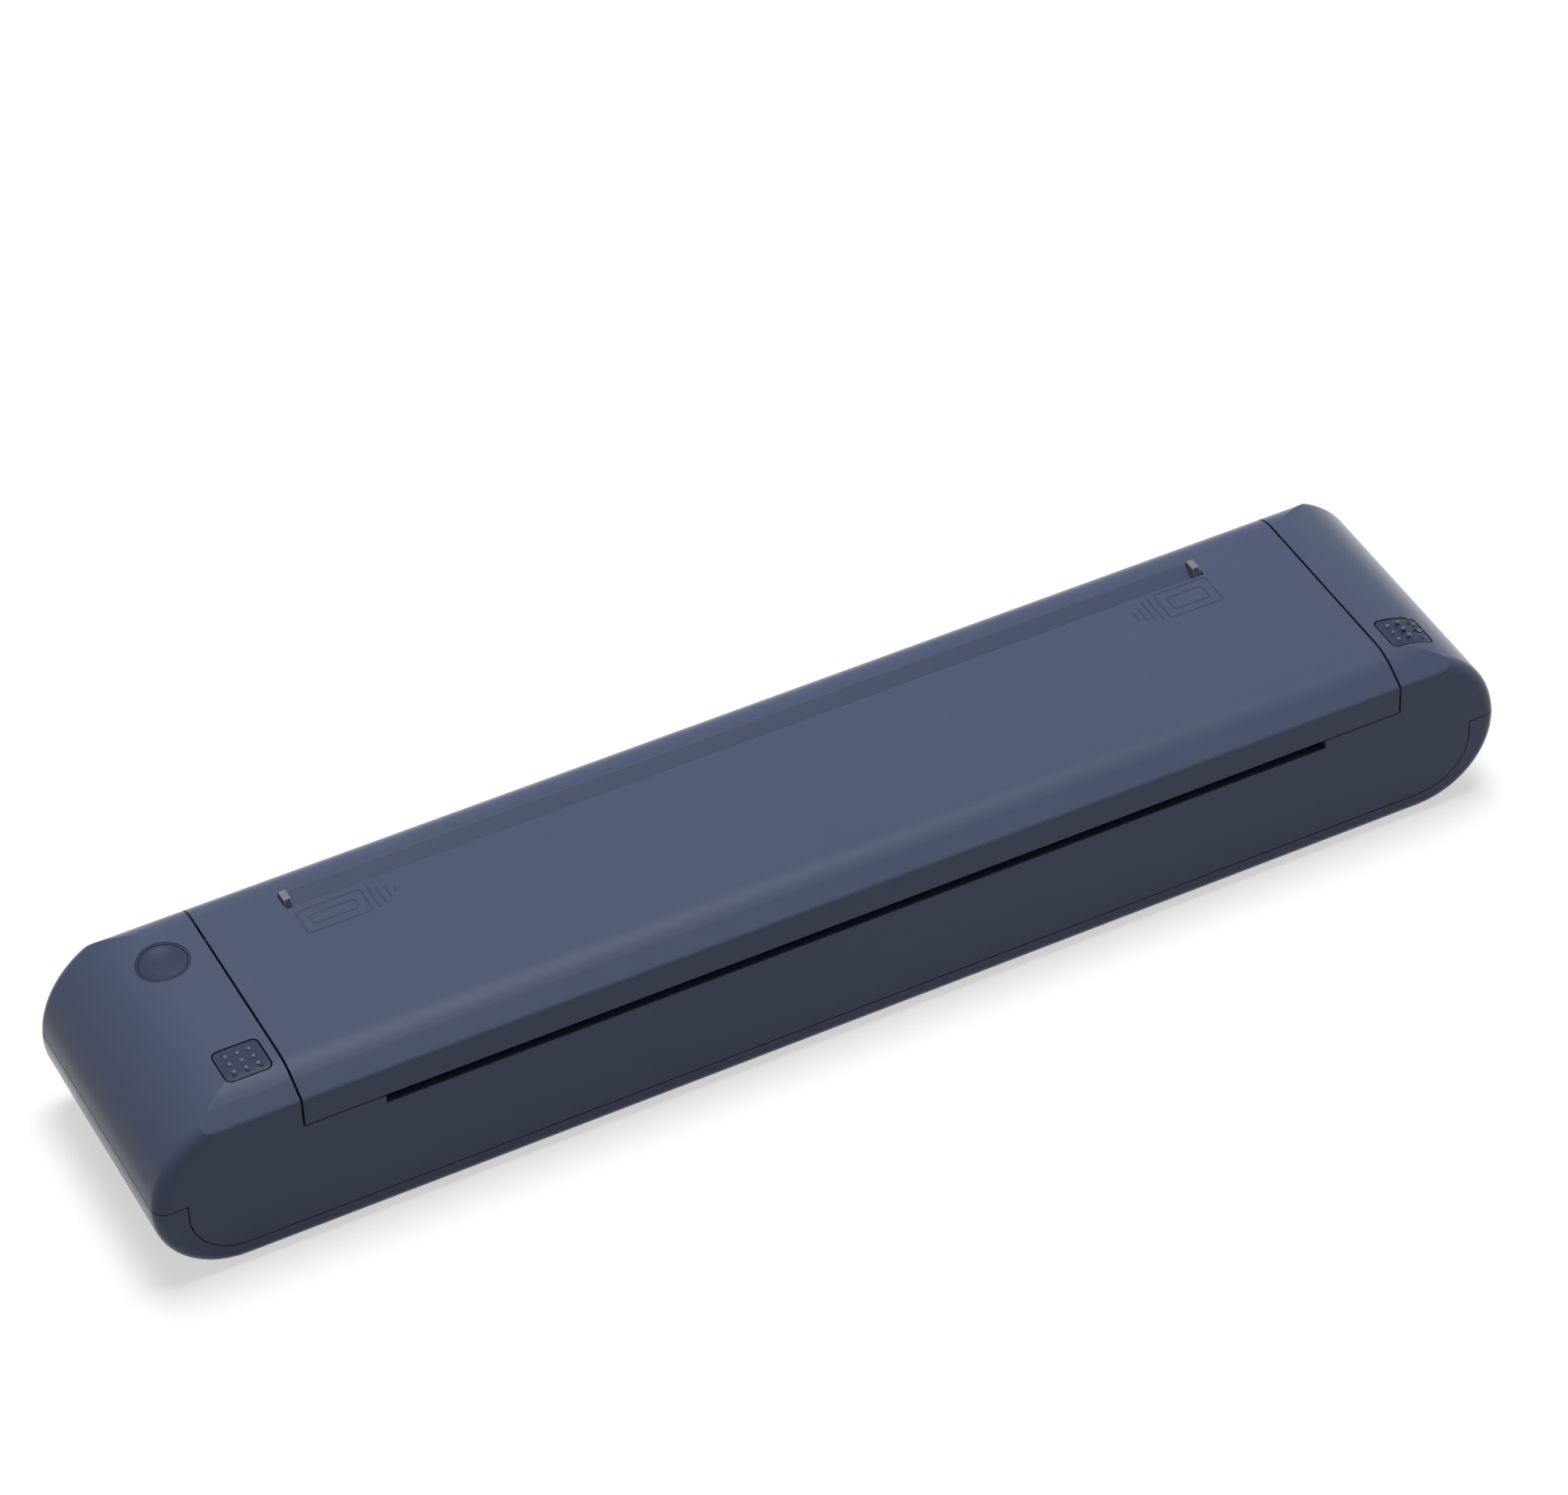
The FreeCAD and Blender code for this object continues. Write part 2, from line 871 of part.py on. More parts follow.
def latch_sides():
    """For each end: its side, the wall's outer face, the pivot's place and the pad's centre."""
    left_face = opening_left - end_wall
    right_face = opening_right + end_wall
    return [
        (-1, left_face, left_face - latch_pivot_offset, pad_left_x),
        (1, right_face, right_face + latch_pivot_offset, pad_right_x),
    ]


def between(a, b, y_low, y_high, z_low, z_high):
    """A box whose two X planes may come in either order."""
    return block(min(a, b), max(a, b), y_low, y_high, z_low, z_high)


def latch_ribs():
    """Ribs on the end walls that carry the latch pins."""
    ribs = []
    y_low, y_high = beak_y_range(latch_rib_gap)
    z_low = latch_z - latch_rib_height / 2
    z_high = latch_z + latch_rib_height / 2
    for side, face, pivot_x, pad_x in latch_sides():
        end = pivot_x + side * latch_rib_reach
        root = face - side * end_wall / 2
        front = between(root, end, y_low - latch_rib, y_low, z_low, z_high)
        back = between(root, end, y_high, y_high + latch_rib, z_low, z_high)
        ribs += [front, back]
    return ribs


def latch_pin_rods():
    """The latch pins, which fill their bores in the ribs."""
    y_low, y_high = beak_y_range(latch_rib_gap + latch_rib)
    rods = []
    for side, face, pivot_x, pad_x in latch_sides():
        rods.append(rod_y(latch_pin_radius, y_low, y_high, pivot_x, latch_z))
    return rods


def release_shelves():
    """The shelf under each release button, with a hole for its stem."""
    shelves = []
    half = pad_depth / 2 + shelf_margin
    for side, face, pivot_x, pad_x in latch_sides():
        end = pad_x + side * (pad_width / 2 + shelf_margin)
        root = face - side * end_wall / 2
        shelf = between(root, end, pad_y - half, pad_y + half, shelf_z, shelf_z + shelf_thickness)
        x = pivot_x + side * latch_arm
        wide = stem_width / 2 + stem_gap
        deep = stem_depth / 2 + stem_gap
        hole = block(x - wide, x + wide, pad_y - deep, pad_y + deep, shelf_z - overrun, shelf_z + overrun)
        shelves.append(shelf.cut(hole).common(mid_form))
    return shelves


def pad_prism(pad_x, grow, z_low):
    """The upright outline of a release button, let out by grow."""
    wide = pad_width / 2 + grow
    deep = pad_depth / 2 + grow
    corners = plan_corners(pad_x - wide, pad_x + wide, pad_y - deep, pad_y + deep, pad_corner + grow)
    return extrude_z(corners, z_low, top_z + overrun)


def case_screw_places():
    """Each case screw: x, y, and which kind of post it goes into."""
    places = []
    corner_x = half_length - case_post_end
    corner_y = half_depth - case_post_side
    for side_x in (-1, 1):
        for side_y in (-1, 1):
            places.append((side_x * corner_x, side_y * corner_y, "corner"))
    rear_y = back_y - case_rear_post_back
    front_post_y = front_y + case_front_post_front
    places.append((cell_left - case_rear_post_gap, rear_y, "rear"))
    places.append((cell_right + case_rear_post_gap, rear_y, "rear"))
    places.append((frame_left + case_front_post_left, front_post_y, "front"))
    places.append((frame_right - case_front_post_right, front_post_y, "front"))
    return places


def case_post(x, y, kind):
    """A screw post that hangs from the upper housing."""
    foot = base_z + case_post_foot
    if kind == "corner":
        return rod_z(case_post_radius, foot, top_z, x, y).common(mid_form)
    half_web = case_web / 2
    if kind == "rear":
        top = hinge_z - hinge_radius - cover_hinge_gap - case_rear_post_drop
        web = block(x - half_web, x + half_web, y, back_y - wall / 2, top - case_rear_web_height, top)
        return joined([rod_z(case_post_radius, foot, top, x, y), web])
    top = foot + case_front_post_height
    web = block(x - half_web, x + half_web, front_y + wall / 2, y, foot, top)
    return joined([rod_z(case_post_radius, foot, top, x, y), web])


def battery_deck():
    """The shelf that closes the battery bay under the top cover, cut back round the motor."""
    top = hinge_z - hinge_radius - cover_hinge_gap - case_rear_post_drop
    left = opening_left - end_wall / 2
    right = opening_right + end_wall / 2
    deck_front = cell_y - deck_cell_reach
    deck = block(left, right, deck_front, back_y - wall / 2, top - deck_thickness, top)
    notch_right = motor_right + motor_room
    notch_back = motor_y + frame_rear_reach + motor_room
    return deck.cut(block(left - overrun, notch_right, deck_front - overrun, notch_back, floor_z, top_z))


def button_posts():
    """Posts that carry the board under the power button."""
    board_z_top = top_z - button_depth - switch_clear - switch_height
    posts = []
    for x, y in button_board_screws():
        posts.append(rod_z(button_post_radius, board_z_top, top_z, x, y).common(mid_form))
    return posts


def button_board_screws():
    """The places of the button board's two screws."""
    x = button_x - button_board_left + button_post_inset
    deep = button_board_width / 2 - button_post_inset
    return [(x, button_y - deep), (x, button_y + deep)]


def hinge_holes(radius):
    """The hinge pins' bores through both end walls and the top cover's ends."""
    reach = end_wall + overrun
    inward = cover_wall + overrun
    left = rod_x(radius, opening_left - reach, cover_left + inward, hinge_y, hinge_z)
    right = rod_x(radius, cover_right - inward, opening_right + reach, hinge_y, hinge_z)
    return [left, right]


def case_pilots():
    """The screws' pilot holes in the posts."""
    foot = base_z + case_post_foot
    holes = []
    for x, y, kind in case_screw_places():
        holes.append(rod_z(case_screw_radius, foot - overrun, foot + screw_grip, x, y))
    return holes


def exit_ledge():
    """The ledge behind the front plate that the paper leaves over."""
    top = slot_z - ledge_drop
    back = front_y + wall + ledge_depth
    return block(slot_left, slot_right, front_y + wall / 2, back, top - ledge_thickness, top)


def make_upper_housing():
    """End blocks, front plate and back wall in one moulding."""
    low = parting_z + parting_gap / 2
    shell = skin.common(block(-far_x, far_x, -far_y, far_y, low, top_z + overrun))
    plate = skin.common(front_outline(0, front_y - overrun, front_y + wall))
    body = carved(joined([shell, plate]), cover_space())
    pieces = [body, exit_ledge(), battery_deck()] + end_walls()
    pieces += latch_ribs() + release_shelves() + button_posts()
    pieces += [case_post(x, y, kind) for x, y, kind in case_screw_places()]
    body = joined(pieces)
    ring_radius_outer = button_radius + button_ring_gap + button_ring_width + button_hole_gap
    cuts = [rod_z(ring_radius_outer, ceiling_z - overrun, top_z + overrun, button_x, button_y)]
    cuts += [pad_prism(pad_x, pad_gap, pad_z - pad_travel) for pad_x in (pad_left_x, pad_right_x)]
    cuts += beak_windows() + latch_pin_rods() + hinge_holes(hinge_pin_radius) + case_pilots()
    board_top_z = top_z - button_depth - switch_clear - switch_height
    for x, y in button_board_screws():
        cuts.append(rod_z(board_screw_radius, board_top_z - overrun, board_top_z + screw_grip / 2, x, y))
    return carved(body, cuts)


def usb_port(grow, x_low, x_high):
    """The rounded outline of the USB socket, let out by grow, carried along X."""
    half_wide = usb_shell_width / 2 + grow
    half_high = usb_shell_height / 2 + grow
    corner = half_high * full_round_share
    corners = [
        (-half_wide, usb_z - half_high, corner),
        (half_wide, usb_z - half_high, corner),
        (half_wide, usb_z + half_high, corner),
        (-half_wide, usb_z + half_high, corner),
    ]
    return extrude_x(corners, x_low, x_high)


def board_screw_places():
    """The main board's four screws."""
    x_low = board_left + board_screw_inset_left
    x_high = board_right - board_screw_inset_left
    y_low = board_front + board_screw_inset_front
    y_high = board_back - board_screw_inset_front
    return [(x_low, y_low), (x_low, y_high), (x_high, y_low), (x_high, y_high)]


def usb_board_box():
    """Left, right and bottom of the small board that carries the USB socket."""
    bottom = usb_z - usb_shell_height / 2 - usb_board_thickness
    drop = base_z + bottom_end_radius - bottom
    inner = bottom_end_radius - wall
    wall_x = half_length - bottom_end_radius + math.sqrt(inner ** 2 - drop ** 2)
    right = wall_x - usb_board_gap
    return right - usb_board_length, right, bottom


def usb_screw_places():
    """The USB board's two screws."""
    x = usb_board_box()[0] + usb_standoff_inset
    return [(x, -usb_standoff_y), (x, usb_standoff_y)]


def foot_places():
    """The centres of the four feet."""
    x = half_length - foot_inset_x
    y = half_depth - foot_inset_y
    return [(-x, -y), (x, -y), (x, y), (-x, y)]


def shell_tongue():
    """The raised tongue round the back and the ends that locates the two halves."""
    fitted = casing(wall + tongue_fit)
    within = casing(wall + tongue_fit + tongue_thickness)
    root = parting_z - tongue_depth
    top = parting_z + tongue_height
    start_y = front_y + wall + backing_thickness + tongue_fit + tongue_thickness
    upper = fitted.cut(within).common(block(-far_x, far_x, start_y, far_y, root, top))
    lower_ring = inner_form.cut(within)
    lower = lower_ring.common(block(-far_x, far_x, start_y, far_y, root, parting_z - parting_gap))
    return joined([upper, lower])


def front_backing():
    """The rim behind the edge of the front plate."""
    start = front_y + wall
    wide = front_outline(backing_reach, start, start + backing_thickness)
    narrow = front_outline(-backing_overlap, start - overrun, start + backing_thickness + overrun)
    level = block(-half_length, half_length, front_y, back_y, base_z, parting_z - parting_gap)
    return wide.cut(narrow).common(mid_form).common(level)


def frame_boss_places():
    """The bosses that the mechanism frame is screwed to."""
    left = [(frame_left + inward, platen_y + rearward) for inward, rearward in frame_bosses_left]
    right = [(frame_right - inward, platen_y + rearward) for inward, rearward in frame_bosses_right]
    return left + right


def shell_bosses():
    """Everything that stands up from the floor of the bottom shell."""
    pieces = []
    for x, y, kind in case_screw_places():
        pieces.append(rod_z(case_boss_radius, base_z, base_z + case_post_foot, x, y))
    for x, y in frame_boss_places():
        pieces.append(rod_z(frame_boss_radius, base_z, web_z - frame_sheet, x, y))
    for x, y in board_screw_places():
        pieces.append(rod_z(standoff_radius, base_z, board_z, x, y))
    usb_bottom = usb_board_box()[2]
    for x, y in usb_screw_places():
        pieces.append(rod_z(standoff_radius, base_z, usb_bottom, x, y))
    column_top = switch_seat_z()
    pieces.append(rod_z(cover_switch_column, base_z, column_top, cover_switch_x, cover_switch_y))
    return [piece.common(mid_form) for piece in pieces]


def switch_seat_z():
    """The height that the cover switch stands on."""
    return lip_z - cover_switch_gap - cover_switch_rise - cover_switch_height


def make_bottom_shell():
    """The tray with its rounded rim, screw bosses and foot recesses."""
    high = parting_z - parting_gap / 2
    rim = skin.common(block(-far_x, far_x, -far_y, far_y, base_z - overrun, high))
    body = joined([rim, shell_tongue(), front_backing()] + shell_bosses())
    pocket = front_outline(parting_gap, front_y - overrun, front_y + wall + tongue_fit)
    cuts = [pocket.common(block(-half_length, half_length, front_y - overrun, back_y, base_z, top_z))]
    for x, y, kind in case_screw_places():
        cuts.append(rod_z(case_counterbore, base_z - overrun, base_z + case_head_seat, x, y))
        cuts.append(rod_z(case_screw_radius + screw_fit, base_z, base_z + case_post_foot + overrun, x, y))
    for x, y in frame_boss_places():
        cuts.append(rod_z(frame_screw_radius, web_z - frame_sheet - screw_grip, web_z, x, y))
    for x, y in board_screw_places():
        cuts.append(rod_z(board_screw_radius, floor_z, board_z + overrun, x, y))
    usb_bottom = usb_board_box()[2]
    for x, y in usb_screw_places():
        cuts.append(rod_z(board_screw_radius, usb_bottom - board_standoff, usb_bottom + overrun, x, y))
    for x, y in foot_places():
        cuts.append(rod_z(foot_radius + foot_fit, base_z - overrun, base_z + foot_sunk, x, y))
    cuts.append(label_prism(label_fit, base_z - overrun, base_z + label_recess))
    cuts.append(usb_port(usb_port_fit, half_length - wall - usb_shell_length, half_length + overrun))
    return carved(body, cuts)


def label_prism(grow, z_low, z_high):
    """The outline of the rating label, let out by grow."""
    wide = label_length / 2 + grow
    deep = label_width / 2 + grow
    return extrude_z(plan_corners(-wide, wide, -deep, deep, label_corner), z_low, z_high)


def make_label():
    """A bare plate in its recess under the printer."""
    return label_prism(0, base_z + label_recess - label_thickness, base_z + label_recess)


def make_feet():
    """Four rubber feet with a rounded lower rim."""
    feet = []
    for x, y in foot_places():
        foot = rod_z(foot_radius, 0, base_z + foot_sunk, x, y)
        lower = [edge for edge in foot.Edges if all(abs(vertex.Z) < same_place for vertex in edge.Vertexes)]
        feet.append(foot.makeFillet(foot_round, lower))
    return Part.makeCompound(feet)


def make_case_screws():
    """Screws that come up through the bottom shell into the posts."""
    seat = base_z + case_head_seat
    grip = case_post_foot - case_head_seat + screw_grip - screw_fit
    pattern = screw(case_screw_radius, grip)
    pattern.rotate(vector(0, 0, 0), along_x, 180)
    return Part.makeCompound([placed(pattern, x, y, seat) for x, y, kind in case_screw_places()])


# Top cover

def ramp_z(y):
    """The height of the inlet ramp's upper face."""
    return top_z - (inlet_back_y - y) * ramp_slope


def cover_skin():
    """The curved skin of the top cover, with its front lip and the roll at its back edge."""
    strip = slab(cover_left, cover_right)
    front = block(cover_left, cover_right, front_y - overrun, hinge_y, lip_z, top_z + overrun)
    rear = block(cover_left, cover_right, hinge_y, back_y + overrun, hinge_z, top_z + overrun)
    upper = skin.common(joined([front, rear]))
    roll = tube_x(hinge_radius, hinge_radius - wall, cover_left, cover_right, hinge_y, hinge_z)
    slant = math.radians(cover_rear_angle)
    far = hinge_radius + overrun
    corners = [
        (hinge_y, hinge_z, 0),
        (hinge_y + far, hinge_z, 0),
        (hinge_y + far, hinge_z - far * math.tan(slant), 0),
    ]
    wedge = extrude_x(corners, cover_left - overrun, cover_right + overrun)
    return [upper.common(strip), roll.common(wedge)]


def cover_ends():
    """The two end walls of the top cover, round about the hinge pins."""
    ends = []
    for x_low, x_high in ((cover_left, cover_left + cover_wall), (cover_right - cover_wall, cover_right)):
        section = outer_form.common(slab(x_low, x_high))
        front = section.common(block(x_low, x_high, front_y, hinge_y, lip_z, top_z))
        rear = section.common(rod_x(hinge_radius, x_low, x_high, hinge_y, hinge_z))
        ends += [front, rear, striker(x_low, x_high)]
    return ends


def striker(x_low, x_high):
    """The tab of an end wall with the lip that the latch beak holds."""
    y_low, y_high = beak_y_range(striker_margin)
    foot = latch_z + beak_rise - striker_gap - striker_lip
    return block(x_low, x_high, y_low, y_high, foot, lip_z + overrun)


def striker_windows():
    """The windows above the strikers' lips."""
    y_low, y_high = beak_y_range(striker_clear)
    z_low = latch_z + beak_rise - striker_gap
    z_high = latch_z + beak_rise + beak_height + striker_clear
    left = block(cover_left - overrun, cover_left + cover_wall + overrun / 2, y_low, y_high, z_low, z_high)
    right = block(cover_right - cover_wall - overrun / 2, cover_right + overrun, y_low, y_high, z_low, z_high)
    return [left, right]


def inlet_ramp():
    """The sloping floor of the paper inlet and its two end walls."""
    left = inlet_left - inlet_end_wall
    right = inlet_right + inlet_end_wall
    root_y = inlet_back_y + ramp_root
    low_end = ramp_z(ramp_end_y) - ramp_thickness
    low_root = ramp_z(root_y) - ramp_thickness
    corners = [
        (inlet_back_y, top_z, 0),
        (ramp_end_y, ramp_z(ramp_end_y), 0),
        (ramp_end_y, low_end, 0),
        (root_y, low_root, 0),
        (root_y, top_z, 0),
    ]
    end_y = ramp_end_y + inlet_end_setback
    middle_z = ceiling_z + wall / 2
    side = [
        (end_y, ramp_z(end_y) - ramp_thickness / 2, 0),
        (end_y, middle_z, 0),
        (root_y, middle_z, 0),
        (root_y, ramp_z(root_y) - ramp_thickness / 2, 0),
    ]
    ramp = extrude_x(corners, left, right)
    return [ramp, extrude_x(side, left, inlet_left), extrude_x(side, inlet_right, right)]


def guide_slots():
    """The slots in the ramp that the paper guides' tongues run in."""
    y = inlet_back_y - guide_slot_place
    half = guide_slot_width / 2
    length = guide_thickness + guide_travel + 2 * guide_slot_fit
    left = block(inlet_left, inlet_left + length, y - half, y + half, ceiling_z - overrun, top_z + overrun)
    right = block(inlet_right - length, inlet_right, y - half, y + half, ceiling_z - overrun, top_z + overrun)
    return [left, right]


def side_span(side, start, end):
    """Low and high X of a span that is measured outwards from the end of the platen's rubber."""
    a = paper_x + side * (half_platen + start)
    b = paper_x + side * (half_platen + end)
    return min(a, b), max(a, b)


def platen_brackets():
    """The two plates in the top cover that carry the platen's bushings."""
    plates = []
    for side in (-1, 1):
        x_low, x_high = side_span(side, bracket_start, bracket_start + bracket_thickness)
        front = platen_y - bracket_half_depth
        back = platen_y + bracket_half_depth
        foot = platen_z - bracket_foot
        corners = [
            (front, foot, bracket_half_depth / 2),
            (back, foot, bracket_half_depth / 2),
            (back, ceiling_z + wall / 2, 0),
            (front, ceiling_z + wall / 2, 0),
        ]
        plate = extrude_x(corners, x_low, x_high)
        plates.append(plate.cut(rod_x(bushing_radius, x_low, x_high, platen_y, platen_z)))
    return plates


def upper_guide_corners(rise):
    """The upper paper guide's outline, moved up by rise, from its front edge to its back edge."""
    front = platen_y + upper_guide_front
    back = ramp_end_y + upper_guide_back
    front_z = nip_z + upper_guide_rise + rise
    back_z = ramp_z(back) + upper_guide_gap + rise
    return front, front_z, back, back_z


def upper_guide_z(y):
    """The height of the upper paper guide's upper face."""
    front, front_z, back, back_z = upper_guide_corners(upper_guide_thickness)
    return front_z + (y - front) * (back_z - front_z) / (back - front)


def upper_boss_places():
    """The bosses that the upper paper guide is screwed to."""
    first_x = paper_x - half_platen + upper_boss_end
    step = (platen_length - 2 * upper_boss_end) / (upper_boss_count - 1)
    y = platen_y + upper_boss_place
    return [(first_x + place * step, y) for place in range(upper_boss_count)]


def upper_bosses():
    """Bosses under the top cover's skin, cut to the slope of the upper paper guide."""
    front, front_z, back, back_z = upper_guide_corners(upper_guide_thickness)
    high = ceiling_z + wall / 2
    corners = [(front, front_z, 0), (back, back_z, 0), (back, high, 0), (front, high, 0)]
    above = extrude_x(corners, cover_left, cover_right)
    bosses = []
    for x, y in upper_boss_places():
        bosses.append(rod_z(upper_boss_radius, floor_z, ceiling_z + wall / 2, x, y).common(above))
    return bosses


def switch_rib():
    """The rib of the top cover that presses the cover switch."""
    half = cover_rib_width / 2
    z_low = lip_z
    x = cover_switch_x
    y = cover_switch_y
    return block(x - half, x + half, y - half, y + half, z_low, ceiling_z + wall / 2)


def make_top_cover():
    """The hinged cover with its inlet, brackets, bosses and strikers."""
    body = joined(cover_skin() + cover_ends())
    low = ceiling_z - wall / 2
    opening = block(inlet_left, inlet_right, inlet_front_y, inlet_back_y, low, top_z + overrun)
    body = joined([body.cut(opening)] + inlet_ramp() + platen_brackets() + upper_bosses() + [switch_rib()])
    cuts = guide_slots() + striker_windows() + hinge_holes(hinge_pin_radius + running_fit)
    for x, y in upper_boss_places():
        seat = upper_guide_z(y)
        cuts.append(rod_z(upper_screw_radius, seat - overrun, seat + upper_screw_grip, x, y))
    return carved(body, cuts)


def make_upper_guide():
    """The plate in the top cover that leads the paper to the platen."""
    front, front_z, back, back_z = upper_guide_corners(0)
    t = upper_guide_thickness
    r = guide_edge_round
    corners = [(front, front_z, r), (back, back_z, r), (back, back_z + t, r), (front, front_z + t, r)]
    body = extrude_x(corners, paper_x - half_platen, paper_x + half_platen)
    head_radius = upper_screw_radius * screw_head_share
    cuts = []
    for x, y in upper_boss_places():
        seat = upper_guide_z(y) - t
        cuts.append(rod_z(upper_screw_radius + screw_fit, seat - overrun, seat + overrun, x, y))
        cuts.append(rod_z(head_radius + screw_fit, seat - overrun, seat + upper_head_height, x, y))
    return carved(body, cuts)


def make_cover_screws():
    """The screws of the upper paper guide, with their heads sunk in it."""
    grip = upper_guide_thickness - upper_head_height + upper_screw_grip - screw_fit
    pattern = screw(upper_screw_radius, grip, upper_head_height)
    pattern.rotate(vector(0, 0, 0), along_x, 180)
    screws = []
    for x, y in upper_boss_places():
        screws.append(placed(pattern, x, y, upper_guide_z(y) - upper_guide_thickness + upper_head_height))
    return Part.makeCompound(screws)


def make_hinge_pins():
    """Headed pins through the end walls into the top cover."""
    pins = []
    outer = opening_left - end_wall
    inner = cover_left + cover_wall - hinge_pin_end_gap
    shank = rod_x(hinge_pin_radius, outer, inner, hinge_y, hinge_z)
    head = rod_x(hinge_pin_head, outer - hinge_pin_head_length, outer, hinge_y, hinge_z)
    pins.append(joined([shank, head]))
    outer = opening_right + end_wall
    inner = cover_right - cover_wall + hinge_pin_end_gap
    shank = rod_x(hinge_pin_radius, inner, outer, hinge_y, hinge_z)
    head = rod_x(hinge_pin_head, outer, outer + hinge_pin_head_length, hinge_y, hinge_z)
    pins.append(joined([shank, head]))
    return Part.makeCompound(pins)


# Paper guides

def make_paper_guide(x_low):
    """A side guide that stands on the ramp, with a tongue and foot through the slot."""
    x_high = x_low + guide_thickness
    back = inlet_back_y - guide_back
    head_front = back - guide_head_depth
    front = inlet_front_y + guide_front_fit
    corners = [
        (front, ramp_z(front) + guide_setback, 0),
        (back, ramp_z(back) + guide_setback, 0),
        (back, top_z + guide_proud, guide_head_round),
        (head_front, top_z + guide_proud, guide_head_round),
        (front, top_z - guide_lead_in / 2, 0),
    ]
    plate = extrude_x(corners, x_low, x_high)
    y = inlet_back_y - guide_slot_place
    half = guide_slot_width / 2 - guide_slot_fit
    wide = half + guide_slot_fit + guide_foot_overlap
    foot_top = ramp_z(y - wide) - ramp_thickness - guide_setback
    foot_low = foot_top - guide_foot_height
    tongue = block(x_low, x_high, y - half, y + half, foot_low, ramp_z(y + half) + guide_setback)
    foot = block(x_low, x_high, y - wide, y + wide, foot_low, foot_top)
    return joined([plate, tongue, foot])


# Platen roller

def make_platen_rubber():
    """The rubber sleeve."""
    x_low = paper_x - half_platen
    return tube_x(platen_radius, platen_core_radius, x_low, x_low + platen_length, platen_y, platen_z)


def make_platen_shaft():
    """The steel core with a journal at each end, the left one long enough for the gear."""
    core = rod_x(platen_core_radius, paper_x - half_platen, paper_x + half_platen, platen_y, platen_z)
    left = side_span(-1, 0, first_plane + first_plane_width + journal_end)[0]
    right = side_span(1, 0, ring_start + ring_thickness + journal_end)[1]
    return joined([core, rod_x(journal_radius, left, right, platen_y, platen_z)])


def make_bushings():
    """Flanged bushings in the cover's brackets."""
    bushings = []
    for side in (-1, 1):
        low, high = side_span(side, bushing_inner_end, bushing_outer_end)
        sleeve = rod_x(bushing_radius, low, high, platen_y, platen_z)
        low_f, high_f = side_span(side, bushing_flange_start, bushing_flange_start + bushing_flange_thickness)
        flange = rod_x(bushing_flange_radius, low_f, high_f, platen_y, platen_z)
        bore = rod_x(journal_radius + running_fit, low, high, platen_y, platen_z)
        bushings.append(joined([sleeve, flange]).cut(bore))
    return Part.makeCompound(bushings)


def make_shaft_rings():
    """The rings that keep the shaft in its bushings."""
    rings = []
    for side in (-1, 1):
        low, high = side_span(side, ring_start, ring_start + ring_thickness)
        rings.append(tube_x(ring_radius, journal_radius, low, high, platen_y, platen_z))
    return Part.makeCompound(rings)


# Gear train

def tooth_half_angle(teeth, radius):
    """Half the angle that a tooth covers at a radius, from the involute of its base circle."""
    pitch_radius = gear_module * teeth / 2
    base_radius = pitch_radius * math.cos(math.radians(pressure_angle))
    thickness = math.pi * gear_module / 2 - gear_backlash / 2
    at_pitch = thickness / (2 * pitch_radius)
    pressure = math.radians(pressure_angle)
    here = math.acos(min(base_radius / max(radius, base_radius), 1))
    return at_pitch + (math.tan(pressure) - pressure) - (math.tan(here) - here)


def gear_point(centre, radius, angle):
    """A point at a radius from the centre and an angle from +Y towards +Z."""
    return centre + vector(0, radius * math.cos(angle), radius * math.sin(angle))


def spur_gear(teeth, phase, x_low, x_high, y, z):
    """A spur gear along X with a tooth centred on the angle phase."""
    pitch_radius = gear_module * teeth / 2
    root = pitch_radius - gear_module * dedendum_share
    tip = pitch_radius + gear_module * addendum_share
    root_half = tooth_half_angle(teeth, root)
    pitch_half = tooth_half_angle(teeth, pitch_radius)
    tip_half = tooth_half_angle(teeth, tip)
    step = 2 * math.pi / teeth
    centre = vector(x_low, y, z)
    edges = []
    for tooth in range(teeth):
        middle = phase + tooth * step
        flank = [(root, root_half), (pitch_radius, pitch_half), (tip, tip_half)]
        rise = [gear_point(centre, radius, middle - half) for radius, half in flank]
        fall = [gear_point(centre, radius, middle + half) for radius, half in reversed(flank)]
        crest = gear_point(centre, tip, middle)
        valley = gear_point(centre, root, middle + step / 2)
        onward = gear_point(centre, root, middle + step - root_half)
        edges.append(Part.Arc(rise[0], rise[1], rise[2]).toShape())
        edges.append(Part.Arc(rise[2], crest, fall[0]).toShape())
        edges.append(Part.Arc(fall[0], fall[1], fall[2]).toShape())
        edges.append(Part.Arc(fall[2], valley, onward).toShape())
    return Part.Face(Part.Wire(edges)).extrude(along_x * (x_high - x_low))


def mesh_phase(direction, driver_phase, driver_teeth, follower_teeth):
    """The follower's phase that puts a gap where the driver has a tooth."""
    slip = driver_phase - direction
    return direction + math.pi + math.pi / follower_teeth - slip * driver_teeth / follower_teeth


down = -math.pi / 2
platen_phase = down
idler_phase = mesh_phase(down, platen_phase, platen_teeth, idler_teeth)
small_phase = mesh_phase(math.radians(compound_angle), idler_phase, idler_teeth, small_teeth)
large_phase = 0
pinion_phase = mesh_phase(math.radians(motor_angle), large_phase, large_teeth, pinion_teeth)
first_low, first_high = side_span(-1, first_plane, first_plane + first_plane_width)
second_low, second_high = side_span(-1, second_plane, second_plane + second_plane_width)


